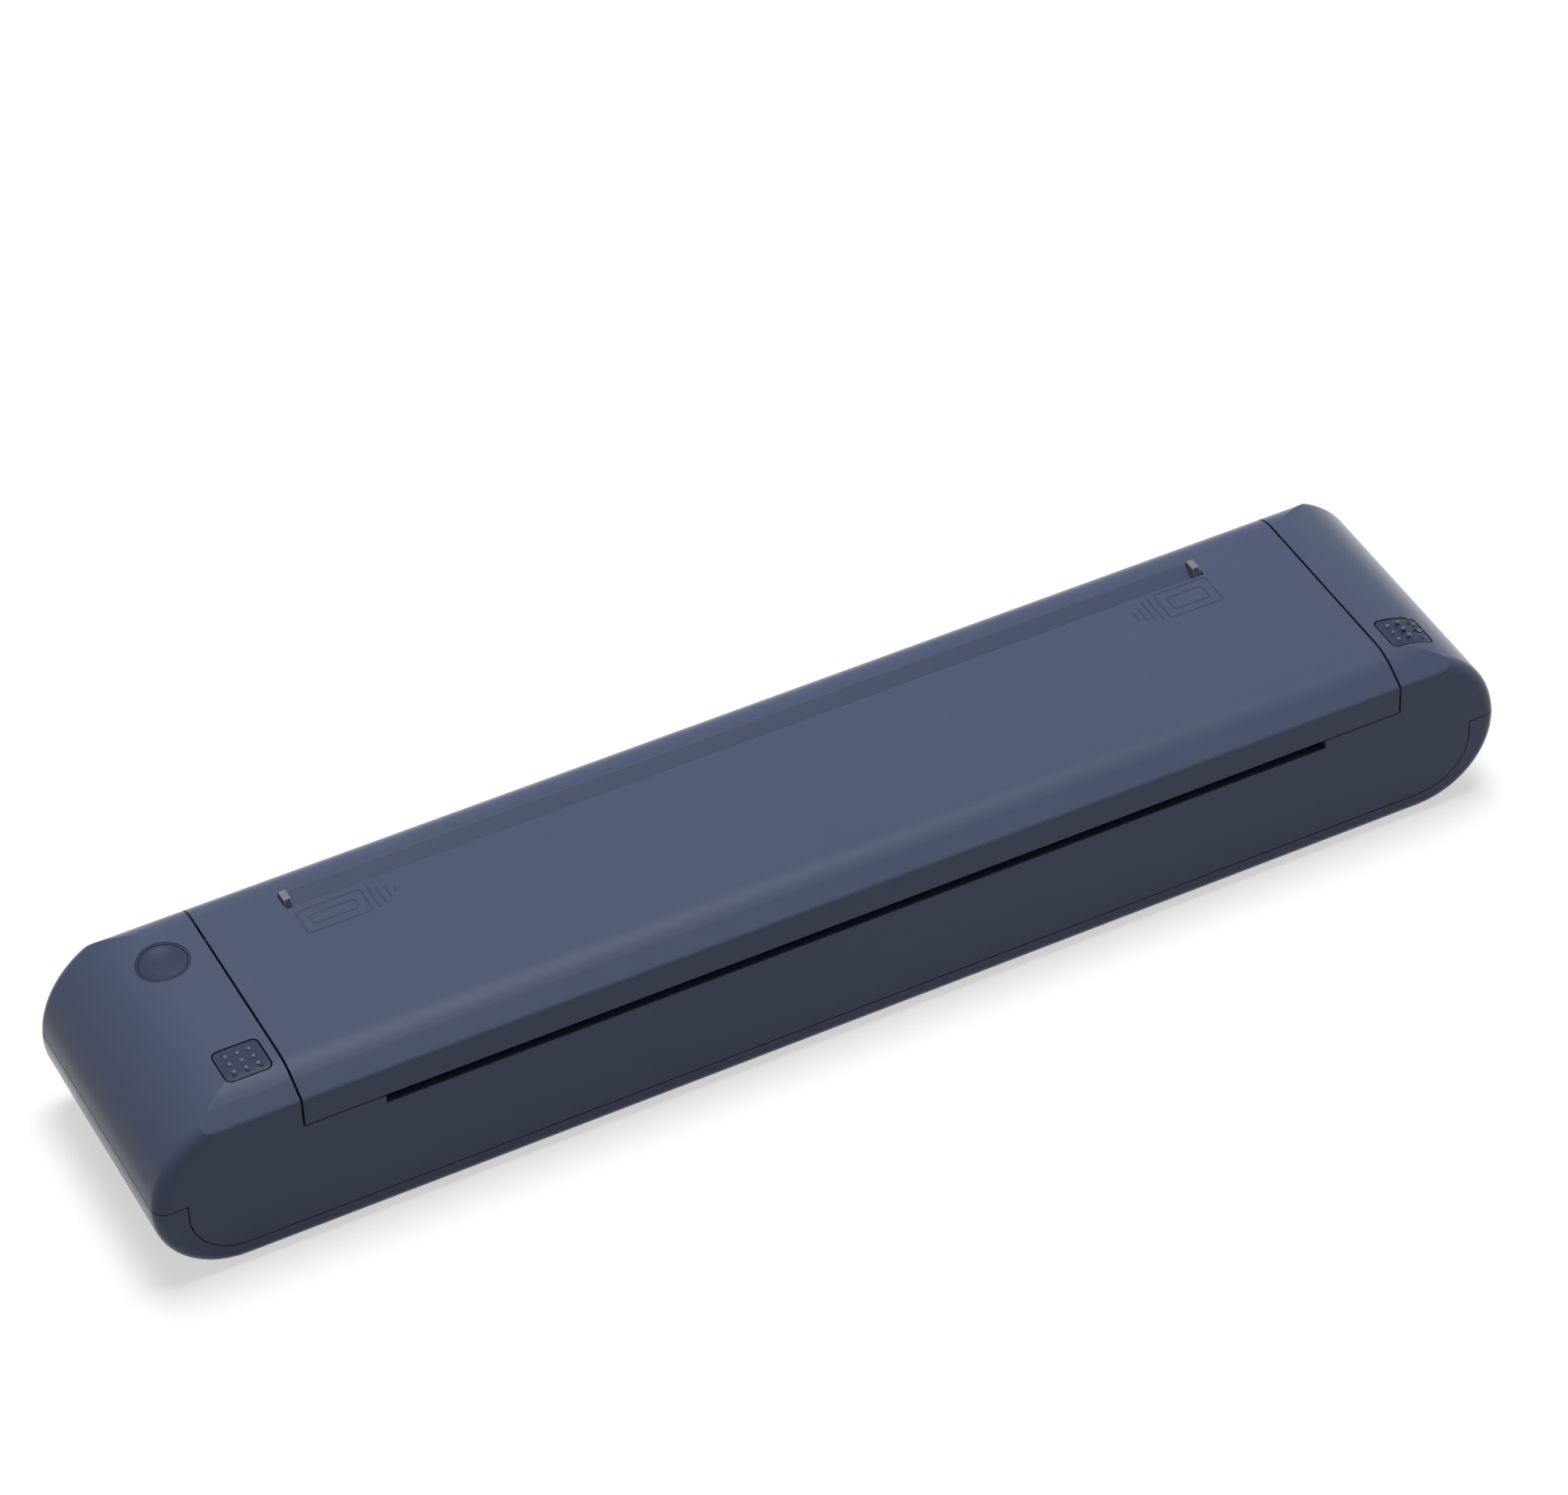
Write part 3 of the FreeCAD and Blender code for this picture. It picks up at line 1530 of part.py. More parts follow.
def make_platen_gear():
    """The gear on the platen's long journal."""
    wheel = spur_gear(platen_teeth, platen_phase, first_low, first_high, platen_y, platen_z)
    return wheel.cut(rod_x(journal_radius, first_low, first_high, platen_y, platen_z))


def make_idler_gear():
    """The gear that the platen's gear meets when the cover shuts."""
    wheel = spur_gear(idler_teeth, idler_phase, first_low, first_high, idler_y, idler_z)
    return wheel.cut(rod_x(stud_radius + running_fit, first_low, first_high, idler_y, idler_z))


def make_compound_gear():
    """A large and a small gear in one moulding."""
    small = spur_gear(small_teeth, small_phase, second_high, first_high, compound_y, compound_z)
    large = spur_gear(large_teeth, large_phase, second_low, second_high, compound_y, compound_z)
    body = small.fuse(large)
    return body.cut(rod_x(stud_radius + running_fit, second_low, first_high, compound_y, compound_z))


def make_gear_studs():
    """Shouldered studs on the left side of the frame."""
    face = frame_left - frame_sheet
    shoulder = first_high + stud_side_gap
    idler = joined([
        rod_x(stud_shoulder_radius, shoulder, face, idler_y, idler_z),
        rod_x(stud_radius, first_low - stud_side_gap, shoulder, idler_y, idler_z),
    ])
    compound = joined([
        rod_x(stud_shoulder_radius, shoulder, face, compound_y, compound_z),
        rod_x(stud_radius, second_low - stud_tail, shoulder, compound_y, compound_z),
    ])
    return Part.makeCompound([idler, compound])


def make_stud_ring():
    """The ring that keeps the compound gear on its stud."""
    high = second_low - stud_side_gap
    low = high - stud_ring_thickness
    return tube_x(stud_ring_radius, stud_radius, low, high, compound_y, compound_z)


# Stepper motor

def motor_screw_places():
    """The two screws of the motor's ears."""
    slant = math.radians(motor_ear_angle)
    reach_y = motor_ear_pitch * math.cos(slant)
    reach_z = motor_ear_pitch * math.sin(slant)
    return [(motor_y + reach_y, motor_z + reach_z), (motor_y - reach_y, motor_z - reach_z)]


def make_motor():
    """The motor can with its mounting ears, centring boss and seam."""
    left = motor_left
    right = left + motor_length
    can = rod_x(motor_radius, left, right, motor_y, motor_z)
    seam_left = left + motor_length / 2
    seam_right = seam_left + motor_seam_width
    groove = motor_radius - motor_seam
    seam = tube_x(motor_radius + overrun, groove, seam_left, seam_right, motor_y, motor_z)
    boss = rod_x(motor_boss_radius, left - frame_sheet, left, motor_y, motor_z)
    pieces = [can.cut(seam), boss]
    half = motor_ear_radius
    bar = block(left, left + motor_ear_thickness, -motor_ear_pitch, motor_ear_pitch, -half, half)
    bar.rotate(vector(0, 0, 0), along_x, motor_ear_angle)
    pieces.append(placed(bar, 0, motor_y, motor_z))
    cuts = []
    for y, z in motor_screw_places():
        pieces.append(rod_x(motor_ear_radius, left, left + motor_ear_thickness, y, z))
        cuts.append(rod_x(motor_screw_radius, left - overrun, left + motor_ear_thickness + overrun, y, z))
    bore = motor_shaft_radius + running_fit
    bore_end = left + motor_shaft_depth + running_fit
    cuts.append(rod_x(bore, left - frame_sheet - overrun, bore_end, motor_y, motor_z))
    return carved(joined(pieces), cuts)


def make_motor_screws():
    """The screws that hold the motor to the frame, with their heads outside."""
    grip = frame_sheet + motor_ear_thickness
    pattern = screw(motor_screw_radius, grip)
    pattern.rotate(vector(0, 0, 0), along_y, -90)
    face = frame_left - frame_sheet
    return Part.makeCompound([placed(pattern, face, y, z) for y, z in motor_screw_places()])


def make_motor_shaft():
    """The rotor's shaft, from inside the can to the pinion."""
    low = second_low - pinion_overhang
    return rod_x(motor_shaft_radius, low, motor_left + motor_shaft_depth, motor_y, motor_z)


def make_motor_pinion():
    """The pinion that drives the large gear."""
    high = second_high + pinion_overhang
    wheel = spur_gear(pinion_teeth, pinion_phase, second_low, high, motor_y, motor_z)
    return wheel.cut(rod_x(motor_shaft_radius, second_low - overrun, high + overrun, motor_y, motor_z))


# Mechanism frame

def frame_plate(x_low, x_high, with_motor):
    """A side plate with the notch for a bushing, and a leg for the motor on the left."""
    front = platen_y - frame_front
    low = web_z - frame_sheet
    top = platen_z - frame_top_drop
    shoulder = platen_y + frame_shoulder
    step = shoulder + frame_step
    ear_top = ear_z()
    r = frame_corner
    corners = [(front, low, 0), (front, top, r), (shoulder, top, r), (step, ear_top, r)]
    if with_motor:
        back = motor_y + frame_rear_reach
        foot = motor_z - frame_foot_drop
        corners.append((back, ear_top - frame_rear_top, frame_foot_corner))
        corners.append((back, motor_z + frame_rear_low, frame_foot_corner))
        corners.append((motor_y + frame_foot_back, foot, frame_foot_corner))
        corners.append((motor_y - frame_foot_front, foot, frame_foot_corner))
        corners.append((motor_y - frame_heel, low, r))
    else:
        back = platen_y + frame_ear_start + frame_ear_depth
        corners += [(back, ear_top, r), (back, low, 0)]
    plate = extrude_x(corners, x_low, x_high)
    notch = rod_x(bushing_radius + frame_notch_fit, x_low - overrun, x_high + overrun, platen_y, platen_z)
    return plate.cut(notch)


def ear_z():
    """The top of the ears that the lower paper guide stands on."""
    return nip_z - frame_ear_drop


def frame_ear(side):
    """An ear bent inwards from a side plate."""
    root = paper_x + side * (frame_half + frame_sheet / 2)
    end = paper_x + side * (frame_half - frame_ear_length)
    y_low = platen_y + frame_ear_start
    return between(root, end, y_low, y_low + frame_ear_depth, ear_z() - frame_sheet, ear_z())


def leg_screw_places():
    """The screws of the lower paper guide's legs."""
    reach = frame_half - lower_guide_side_gap - lower_leg_length / 2
    y = platen_y + lower_leg_start + lower_leg_depth / 2
    return [(paper_x - reach, y), (paper_x + reach, y)]


def make_frame():
    """The bent sheet frame: a web under the head and two side plates."""
    left = frame_left
    right = frame_right
    front = platen_y - frame_front
    half_sheet = frame_sheet / 2
    back = front + frame_web_depth
    web = block(left - half_sheet, right + half_sheet, front, back, web_z - frame_sheet, web_z)
    notch_right = motor_right + motor_room
    web = web.cut(block(left, notch_right, motor_y - motor_radius - motor_room, motor_y, floor_z, top_z))
    pieces = [
        web,
        frame_plate(left - frame_sheet, left, True),
        frame_plate(right, right + frame_sheet, False),
        frame_ear(-1),
        frame_ear(1),
    ]
    cuts = []
    for x, y in frame_boss_places():
        cuts.append(rod_z(frame_screw_radius + screw_fit, web_z - 2 * frame_sheet, web_z + frame_sheet, x, y))
    for x, y in leg_screw_places():
        cuts.append(rod_z(leg_screw_radius, ear_z() - 2 * frame_sheet, ear_z() + frame_sheet, x, y))
    low = left - 2 * frame_sheet
    high = left + frame_sheet
    for y, z in motor_screw_places():
        cuts.append(rod_x(motor_screw_radius + screw_fit, low, high, y, z))
    cuts.append(rod_x(motor_boss_radius + screw_fit, low, high, motor_y, motor_z))
    return carved(joined(pieces), cuts)


def make_frame_screws():
    """The screws that hold the frame to the bottom shell's bosses."""
    pattern = screw(frame_screw_radius, frame_sheet + screw_grip - screw_fit)
    return Part.makeCompound([placed(pattern, x, y, web_z) for x, y in frame_boss_places()])


# Print head

def head_x():
    """Left and right of the print head."""
    reach = frame_half - head_side_gap
    return paper_x - reach, paper_x + reach


def make_heat_sink():
    """The aluminium body of the head, with grooves below and a bore at each end."""
    left, right = head_x()
    front = platen_y - heat_sink_lead
    back = front + heat_sink_depth
    corners = [
        (front, heat_sink_z, heat_sink_groove / 2),
        (back, heat_sink_z, heat_sink_groove / 2),
        (back, ceramic_z, heat_sink_groove / 2),
        (front + heat_sink_front_cut, ceramic_z, 0),
        (front, ceramic_z - heat_sink_front_cut, 0),
    ]
    body = extrude_x(corners, left, right)
    cuts = []
    step = heat_sink_depth / (heat_sink_grooves + 1)
    for groove in range(heat_sink_grooves):
        y = front + step * (groove + 1)
        if abs(y - platen_y) < spring_radius + spring_wire + heat_sink_groove:
            continue
        half = heat_sink_groove / 2
        groove_top = heat_sink_z + heat_sink_groove_depth
        cuts.append(block(left, right, y - half, y + half, heat_sink_z - overrun, groove_top))
    for side in (-1, 1):
        x_low, x_high = side_span(side, frame_start - pivot_reach - pivot_bore_extra, frame_start + overrun)
        cuts.append(rod_x(pivot_radius + running_fit, x_low, x_high, pivot_y, pivot_z))
    return carved(body, cuts)


def make_ceramic():
    """The ceramic strip that carries the heater line."""
    front = platen_y - ceramic_lead
    x_low = paper_x - half_platen
    top = ceramic_z + ceramic_thickness
    return block(x_low, x_low + platen_length, front, front + ceramic_depth, ceramic_z, top)


def make_driver_cover():
    """The moulded cover over the driver chips behind the ceramic strip."""
    front = platen_y - ceramic_lead + ceramic_depth + driver_cover_gap
    back = front + driver_cover_depth
    top = ceramic_z + driver_cover_height
    r = driver_cover_round
    corners = [(front, ceramic_z, 0), (back, ceramic_z, 0), (back, top, r), (front, top, r)]
    return extrude_x(corners, paper_x - half_platen, paper_x + half_platen)


def make_pivot_pins():
    """Pins from the side plates into the head's bores."""
    pins = []
    for side in (-1, 1):
        low, high = side_span(side, frame_start - pivot_reach, frame_start)
        pins.append(rod_x(pivot_radius, low, high, pivot_y, pivot_z))
    return Part.makeCompound(pins)


def make_head_springs():
    """The springs that press the head up against the platen."""
    springs = []
    first_x = paper_x - half_platen + spring_end
    step = (platen_length - 2 * spring_end) / (spring_count - 1)
    for place in range(spring_count):
        x = first_x + place * step
        low = web_z + spring_seat_gap
        high = heat_sink_z - spring_seat_gap
        springs.append(coil_spring(spring_radius, spring_wire, spring_turns, x, platen_y, low, high))
    return Part.makeCompound(springs)


def make_ribbon():
    """The head's flat cable, down behind the web to the main board."""
    start = pivot_y - ribbon_lap / 2
    top = heat_sink_z - ribbon_gap
    back = platen_y - frame_front + frame_web_depth + ribbon_bend
    low = board_top + plug_height / 2
    end = ribbon_plug_y()[1]
    t = ribbon_thickness
    r = ribbon_bend
    corners = [
        (start, top, 0),
        (back + t, top, r + t),
        (back + t, low - t, r + t),
        (end, low - t, 0),
        (end, low, 0),
        (back, low, r),
        (back, top - t, r),
        (start, top - t, 0),
    ]
    half = ribbon_width / 2
    return extrude_x(corners, paper_x - half, paper_x + half)


def ribbon_plug_y():
    """Front and back of the ribbon's connector on the main board."""
    back = platen_y - frame_front + frame_web_depth - ribbon_bend
    return back - plug_depth, back


# Lower paper guide and sensor

def lower_guide_line():
    """Front and back ends of the lower paper guide's upper face."""
    front = platen_y + lower_guide_front
    back = ramp_end_y - lower_guide_back
    return front, nip_z + lower_guide_rise, back, ramp_z(ramp_end_y) - lower_guide_drop


def lower_guide_z(y):
    """The height of the lower paper guide's upper face."""
    front, front_z, back, back_z = lower_guide_line()
    return front_z + (y - front) * (back_z - front_z) / (back - front)


def make_lower_guide():
    """The sloping plate behind the head, on a leg at each end."""
    front, front_z, back, back_z = lower_guide_line()
    t = lower_guide_thickness
    r = guide_edge_round
    corners = [(front, front_z - t, r), (front, front_z, r), (back, back_z, r), (back, back_z - t, r)]
    reach = frame_half - lower_guide_side_gap
    left = paper_x - reach
    right = paper_x + reach
    plate = extrude_x(corners, left, right)
    y_low = platen_y + lower_leg_start
    y_high = y_low + lower_leg_depth
    leg = [
        (y_low, ear_z(), 0),
        (y_high, ear_z(), 0),
        (y_high, lower_guide_z(y_high) - t / 2, 0),
        (y_low, lower_guide_z(y_low) - t / 2, 0),
    ]
    left_leg = extrude_x(leg, left, left + lower_leg_length)
    right_leg = extrude_x(leg, right - lower_leg_length, right)
    cuts = []
    for x, y in leg_screw_places():
        head_radius = leg_screw_radius * screw_head_share + screw_fit
        seat = lower_guide_z(y) - t - screw_head_height
        cuts.append(rod_z(head_radius, seat, top_z, x, y))
        cuts.append(rod_z(leg_screw_radius + screw_fit, ear_z() - overrun, seat, x, y))
    half = sensor_window / 2
    cuts.append(on_guide(block(-half, half, -half, half, -overrun, overrun)))
    return carved(joined([plate, left_leg, right_leg]), cuts)


def on_guide(shape):
    """A shape made about the origin, laid on the lower guide's slope at the sensor's place."""
    front, front_z, back, back_z = lower_guide_line()
    slope = math.degrees(math.atan2(back_z - front_z, back - front))
    laid = shape.copy()
    laid.rotate(vector(0, 0, 0), along_x, slope)
    y = front + sensor_place
    laid.translate(vector(paper_x, y, lower_guide_z(y)))
    return laid


def make_sensor():
    """The reflective paper sensor in the guide's window, on its own small board."""
    long_half = sensor_length / 2
    wide_half = sensor_width / 2
    under = -lower_guide_thickness
    eye_top = under + sensor_height - sensor_gap
    eye = block(-long_half, long_half, -wide_half, wide_half, under, eye_top)
    half_board = sensor_board_length / 2
    half_deep = sensor_board_width / 2
    board = block(-half_board, half_board, -half_deep, half_deep, under - sensor_board_thickness, under)
    return on_guide(joined([eye, board]))


def make_guide_screws():
    """The screws of the lower paper guide."""
    screws = []
    for x, y in leg_screw_places():
        seat = lower_guide_z(y) - lower_guide_thickness - screw_head_height
        grip = seat - ear_z() + frame_sheet
        screws.append(placed(screw(leg_screw_radius, grip), x, y, seat))
    return Part.makeCompound(screws)


# Boards, batteries and leads

def make_main_board():
    """The main board with its screw holes."""
    board = block(board_left, board_right, board_front, board_back, board_z, board_top)
    radius = board_screw_radius + screw_fit
    return carved(board, [rod_z(radius, board_z, board_top, x, y) for x, y in board_screw_places()])


def board_plug(x_low, x_high, y_low, y_high):
    """A connector housing on the main board."""
    return block(x_low, x_high, y_low, y_high, board_top, board_top + plug_height)


def make_board_parts():
    """Chips, capacitors, a coil and the connectors."""
    parts = []
    half = chip_side / 2
    y = board_front + chip_front_gap + half
    taken = chip_count * chip_side + can_count * can_spacing + coil_side
    chip_gap = (board_right - board_left - taken) / (chip_count + 2)
    first_x = board_left + chip_gap
    for place in range(chip_count):
        x = first_x + place * (chip_side + chip_gap)
        corners = plan_corners(x, x + chip_side, y - half, y + half, chip_height / 2)
        parts.append(extrude_z(corners, board_top, board_top + chip_height))
    can_x = first_x + chip_count * (chip_side + chip_gap)
    for place in range(can_count):
        parts.append(rod_z(can_radius, board_top, board_top + can_height, can_x + place * can_spacing, y))
    coil_x = can_x + can_count * can_spacing
    half = coil_side / 2
    parts.append(block(coil_x, coil_x + coil_side, y - half, y + half, board_top, board_top + coil_height))
    half = ribbon_width / 2 + lead_pitch
    plug_front, plug_back = ribbon_plug_y()
    parts.append(board_plug(paper_x - half, paper_x + half, plug_front, plug_back))
    parts.append(side_plug(board_left, motor_lead_route, motor_lead_count))
    parts.append(side_plug(board_right - plug_depth, usb_lead_route, usb_lead_count))
    parts.append(side_plug(board_left, button_lead_route, button_lead_count))
    x = battery_plug_x()
    parts.append(board_plug(x - lead_pitch, x + 2 * lead_pitch, board_back - plug_depth, board_back))
    return Part.makeCompound(parts)


def side_plug(x, route, wires):
    """A connector at an end of the board, where a lead's route arrives."""
    y = route[-1][1]
    return board_plug(x, x + plug_depth, y - lead_pitch, y + wires * lead_pitch)


def battery_plug_x():
    """The first wire of the battery lead at the main board."""
    return board_right - plug_depth


def make_board_screws():
    """The screws of the main, USB and button boards."""
    pattern = screw(board_screw_radius, board_thickness + board_standoff - screw_fit)
    screws = [placed(pattern, x, y, board_top) for x, y in board_screw_places()]
    usb_top = usb_board_box()[2] + usb_board_thickness
    screws += [placed(pattern, x, y, usb_top) for x, y in usb_screw_places()]
    hanging = screw(board_screw_radius, board_thickness + screw_grip / 2 - screw_fit)
    hanging.rotate(vector(0, 0, 0), along_x, 180)
    low = top_z - button_depth - switch_clear - switch_height - board_thickness
    screws += [placed(hanging, x, y, low) for x, y in button_board_screws()]
    return Part.makeCompound(screws)


def make_cells():
    """Two cells end to end, each with its tip."""
    cells = []
    for place in range(2):
        left = cell_left + place * cell_length
        body = rod_x(cell_radius, left, left + cell_length - cell_tip_length, cell_y, cell_z)
        tip_low = left + cell_length - cell_tip_length
        tip = rod_x(cell_tip_radius, tip_low, left + cell_length, cell_y, cell_z)
        cells.append(joined([body, tip]))
    return Part.makeCompound(cells)


def make_cell_tray():
    """The cradle of the two cells."""
    left = cell_left - cell_fit - tray_end
    right = cell_right + cell_fit + tray_end
    half = cell_radius + cell_fit + tray_side
    body = block(left, right, cell_y - half, cell_y + half, floor_z, floor_z + tray_height)
    hollow = rod_x(cell_radius + cell_fit, left + tray_end, right - tray_end, cell_y, cell_z)
    return body.cut(hollow)


def route_from(x_start, route):
    """A lead's route with its X counted from a place on the printer."""
    return [(x_start + x, y, z) for x, y, z in route]


def make_motor_lead():
    """The motor's four wires to the main board."""
    start = (motor_right,) + motor_lead_route[0][1:]
    end = (board_left,) + motor_lead_route[-1][1:]
    return lead_set([start] + route_from(motor_right, motor_lead_route) + [end], motor_lead_count)


def make_battery_lead():
    """Two wires from the cells' tray to the main board."""
    start_x = cell_right + cell_fit + tray_end
    low = board_top + plug_height / 2
    y = cell_y - cell_radius / 2
    wires = []
    for wire in range(battery_lead_count):
        x = battery_plug_x() + wire * lead_pitch
        shift = wire * lead_pitch
        points = [(start_x, y + shift, low), (x, y + shift, low), (x, board_back, low)]
        wires.append(lead(points, lead_radius))
    return Part.makeCompound(wires)


def make_usb_lead():
    """Three wires from the USB board to the main board."""
    start = (usb_board_box()[0],) + usb_lead_route[0][1:]
    end = (board_right,) + usb_lead_route[-1][1:]
    return lead_set([start] + route_from(board_right, usb_lead_route) + [end], usb_lead_count)


def make_button_lead():
    """Two wires from the button board, along the floor under the motor, to the main board."""
    board_low = top_z - button_depth - switch_clear - switch_height - board_thickness
    y = button_lead_route[0][1]
    x = button_x + button_lead_shift
    end = (board_left,) + button_lead_route[-1][1:]
    stops = [(x, y, board_low), (x, y, button_lead_drop)] + route_from(button_x, button_lead_route) + [end]
    return lead_set(stops, button_lead_count)


def make_usb_board():
    """The small board under the USB socket."""
    left, right, bottom = usb_board_box()
    half = usb_board_width / 2
    board = block(left, right, -half, half, bottom, bottom + usb_board_thickness)
    radius = board_screw_radius + screw_fit
    holes = [rod_z(radius, bottom - overrun, bottom + overrun, x, y) for x, y in usb_screw_places()]
    return carved(board, holes)


def make_usb_socket():
    """The metal shell of the socket with its contact tongue."""
    tip = half_length - usb_recess - screw_fit
    back = tip - usb_shell_length
    shell = usb_port(0, back, tip)
    hollow = usb_port(-usb_shell_wall, back + usb_shell_wall * 2, tip + overrun)
    wide = usb_tongue_width / 2
    high = usb_tongue_height / 2
    tongue = block(back + usb_shell_wall, tip - usb_recess, -wide, wide, usb_z - high, usb_z + high)
    return joined([shell.cut(hollow), tongue])


# Power button

def make_button_ring():
    """The thin ring round the power button, with a lip under the skin."""
    low = top_z - button_depth + button_flange_height + button_stack_gap
    inner = button_radius + button_ring_gap
    outer = inner + button_ring_width
    bore = rod_z(inner, low - overrun, top_z + overrun, button_x, button_y)
    collar = rod_z(outer, low, top_z + overrun, button_x, button_y).common(casing(button_inset / 2))
    lip = rod_z(outer + button_ring_lap, low, top_z + overrun, button_x, button_y).common(inner_form)
    return joined([collar, lip]).cut(bore)


def make_power_button():
    """The dished cap with its flange."""
    low = top_z - button_depth
    cap = rod_z(button_radius, low, top_z + overrun, button_x, button_y).common(casing(button_inset))
    flange = rod_z(button_flange_radius, low, low + button_flange_height, button_x, button_y)
    dish_z = top_z + button_dish_radius - button_dish_depth
    dish = Part.makeSphere(button_dish_radius, vector(button_x, button_y, dish_z))
    return joined([cap, flange]).cut(dish)


def make_button_switch():
    """The body of the switch under the power button."""
    top = top_z - button_depth - switch_clear
    half = switch_side / 2
    body = block(button_x - half, button_x + half, button_y - half, button_y + half, top - switch_height, top)
    depth = plunger_depth - switch_clear + button_travel + plunger_bore_extra
    bore = rod_z(plunger_radius + running_fit, top - depth, top + overrun, button_x, button_y)
    return body.cut(bore)


def make_switch_plunger():
    """The plunger between the power button and its switch."""
    top = top_z - button_depth
    return rod_z(plunger_radius, top - plunger_depth, top, button_x, button_y)


def make_button_board():
    """The board that carries the power switch."""
    top = top_z - button_depth - switch_clear - switch_height
    left = button_x - button_board_left
    right = button_x + button_board_right
    deep = button_board_width / 2
    corners = plan_corners(left, right, button_y - deep, button_y + deep, button_post_inset / 2)
    board = extrude_z(corners, top - board_thickness, top)
    radius = board_screw_radius + screw_fit
    holes = [rod_z(radius, top - overrun, top + overrun, x, y) for x, y in button_board_screws()]
    return carved(board, holes)


# Release buttons and latches

def dot_places(pad_x):
    """The nine raised dots of a release button."""
    places = []
    for column in (-1, 0, 1):
        for row in (-1, 0, 1):
            places.append((pad_x + column * dot_spacing, pad_y + row * dot_spacing))
    return places


def surface_z(x):
    """The height of a release button's curved face at a place along the casing."""
    middle_z = base_z + bottom_end_radius
    out = max(abs(x) - (half_length - top_end_radius), 0)
    return middle_z + math.sqrt((top_end_radius - pad_inset) ** 2 - out ** 2)


def make_release_button(side, pivot_x, pad_x):
    """A cover release button: its face, nine dots, and the stem with its barb."""
    block_of_pad = pad_prism(pad_x, 0, pad_z).common(casing(pad_inset))
    dots = []
    ball = dot_radius * dot_radius / (2 * dot_proud) + dot_proud / 2
    for x, y in dot_places(pad_x):
        height = surface_z(x) + dot_proud - ball
        sphere = Part.makeSphere(ball, vector(x, y, height), along_y)
        dots.append(sphere.common(pad_prism(pad_x, 0, pad_z)))
    x = pivot_x + side * latch_arm
    y_low = pad_y - stem_depth / 2
    y_high = pad_y + stem_depth / 2
    half = stem_width / 2
    foot = latch_z + latch_nose_radius + latch_nose_gap
    stem = block(x - half, x + half, y_low, y_high, foot, pad_z)
    barb_top = shelf_z - stem_gap
    wide = half + barb_overlap
    barb = block(x - wide, x + wide, y_low, y_high, barb_top - barb_height, barb_top)
    return joined([block_of_pad] + dots + [stem, barb])


def make_latch_hook(side, face, pivot_x):
    """A bell crank: the hub, the post with its beak, and the arm with the nose under the stem."""
    y_low, y_high = beak_y_range(0)
    wall_inner = face - side * end_wall
    tip = wall_inner - side * beak_short
    nose_x = pivot_x + side * latch_arm
    post_in = pivot_x - side * latch_post_right
    post_out = pivot_x + side * (latch_post - latch_post_right)
    beak_low = latch_z + beak_rise
    beak_top = beak_low + beak_height
    bar_top = latch_z + latch_bar_top
    pieces = [
        rod_y(latch_hub_radius, y_low, y_high, pivot_x, latch_z),
        rod_y(latch_nose_radius, y_low, y_high, nose_x, latch_z),
        between(post_in, post_out, y_low, y_high, latch_z, beak_top),
        between(post_out, tip, y_low, y_high, beak_low, beak_top),
        between(pivot_x, nose_x, y_low, y_high, bar_top - latch_bar_thickness, bar_top),
    ]
    bore = rod_y(latch_pin_radius + running_fit, y_low - overrun, y_high + overrun, pivot_x, latch_z)
    return joined(pieces).cut(bore)


def make_latch_pins():
    """The pins that the hooks turn on."""
    return Part.makeCompound(latch_pin_rods())


def make_release_spring(side, pivot_x):
    """The spring under a release button, beside the stem."""
    reach = stem_width / 2 + release_spring_gap + release_spring_wire / 2 + release_spring_radius
    x = pivot_x + side * (latch_arm - reach)
    low = shelf_z + shelf_thickness
    return coil_spring(release_spring_radius, release_spring_wire, release_spring_turns, x, pad_y, low, pad_z)


# Cover switch

def make_cover_switch():
    """The switch that tells whether the cover is shut."""
    x = cover_switch_x
    y = cover_switch_y
    low = switch_seat_z()
    long_half = cover_switch_length / 2
    wide_half = cover_switch_width / 2
    body = block(x - long_half, x + long_half, y - wide_half, y + wide_half, low, low + cover_switch_height)
    tip = rod_z(cover_switch_tip, low, low + cover_switch_height + cover_switch_rise, x, y)
    return joined([body, tip])


# Every node, written to its own file

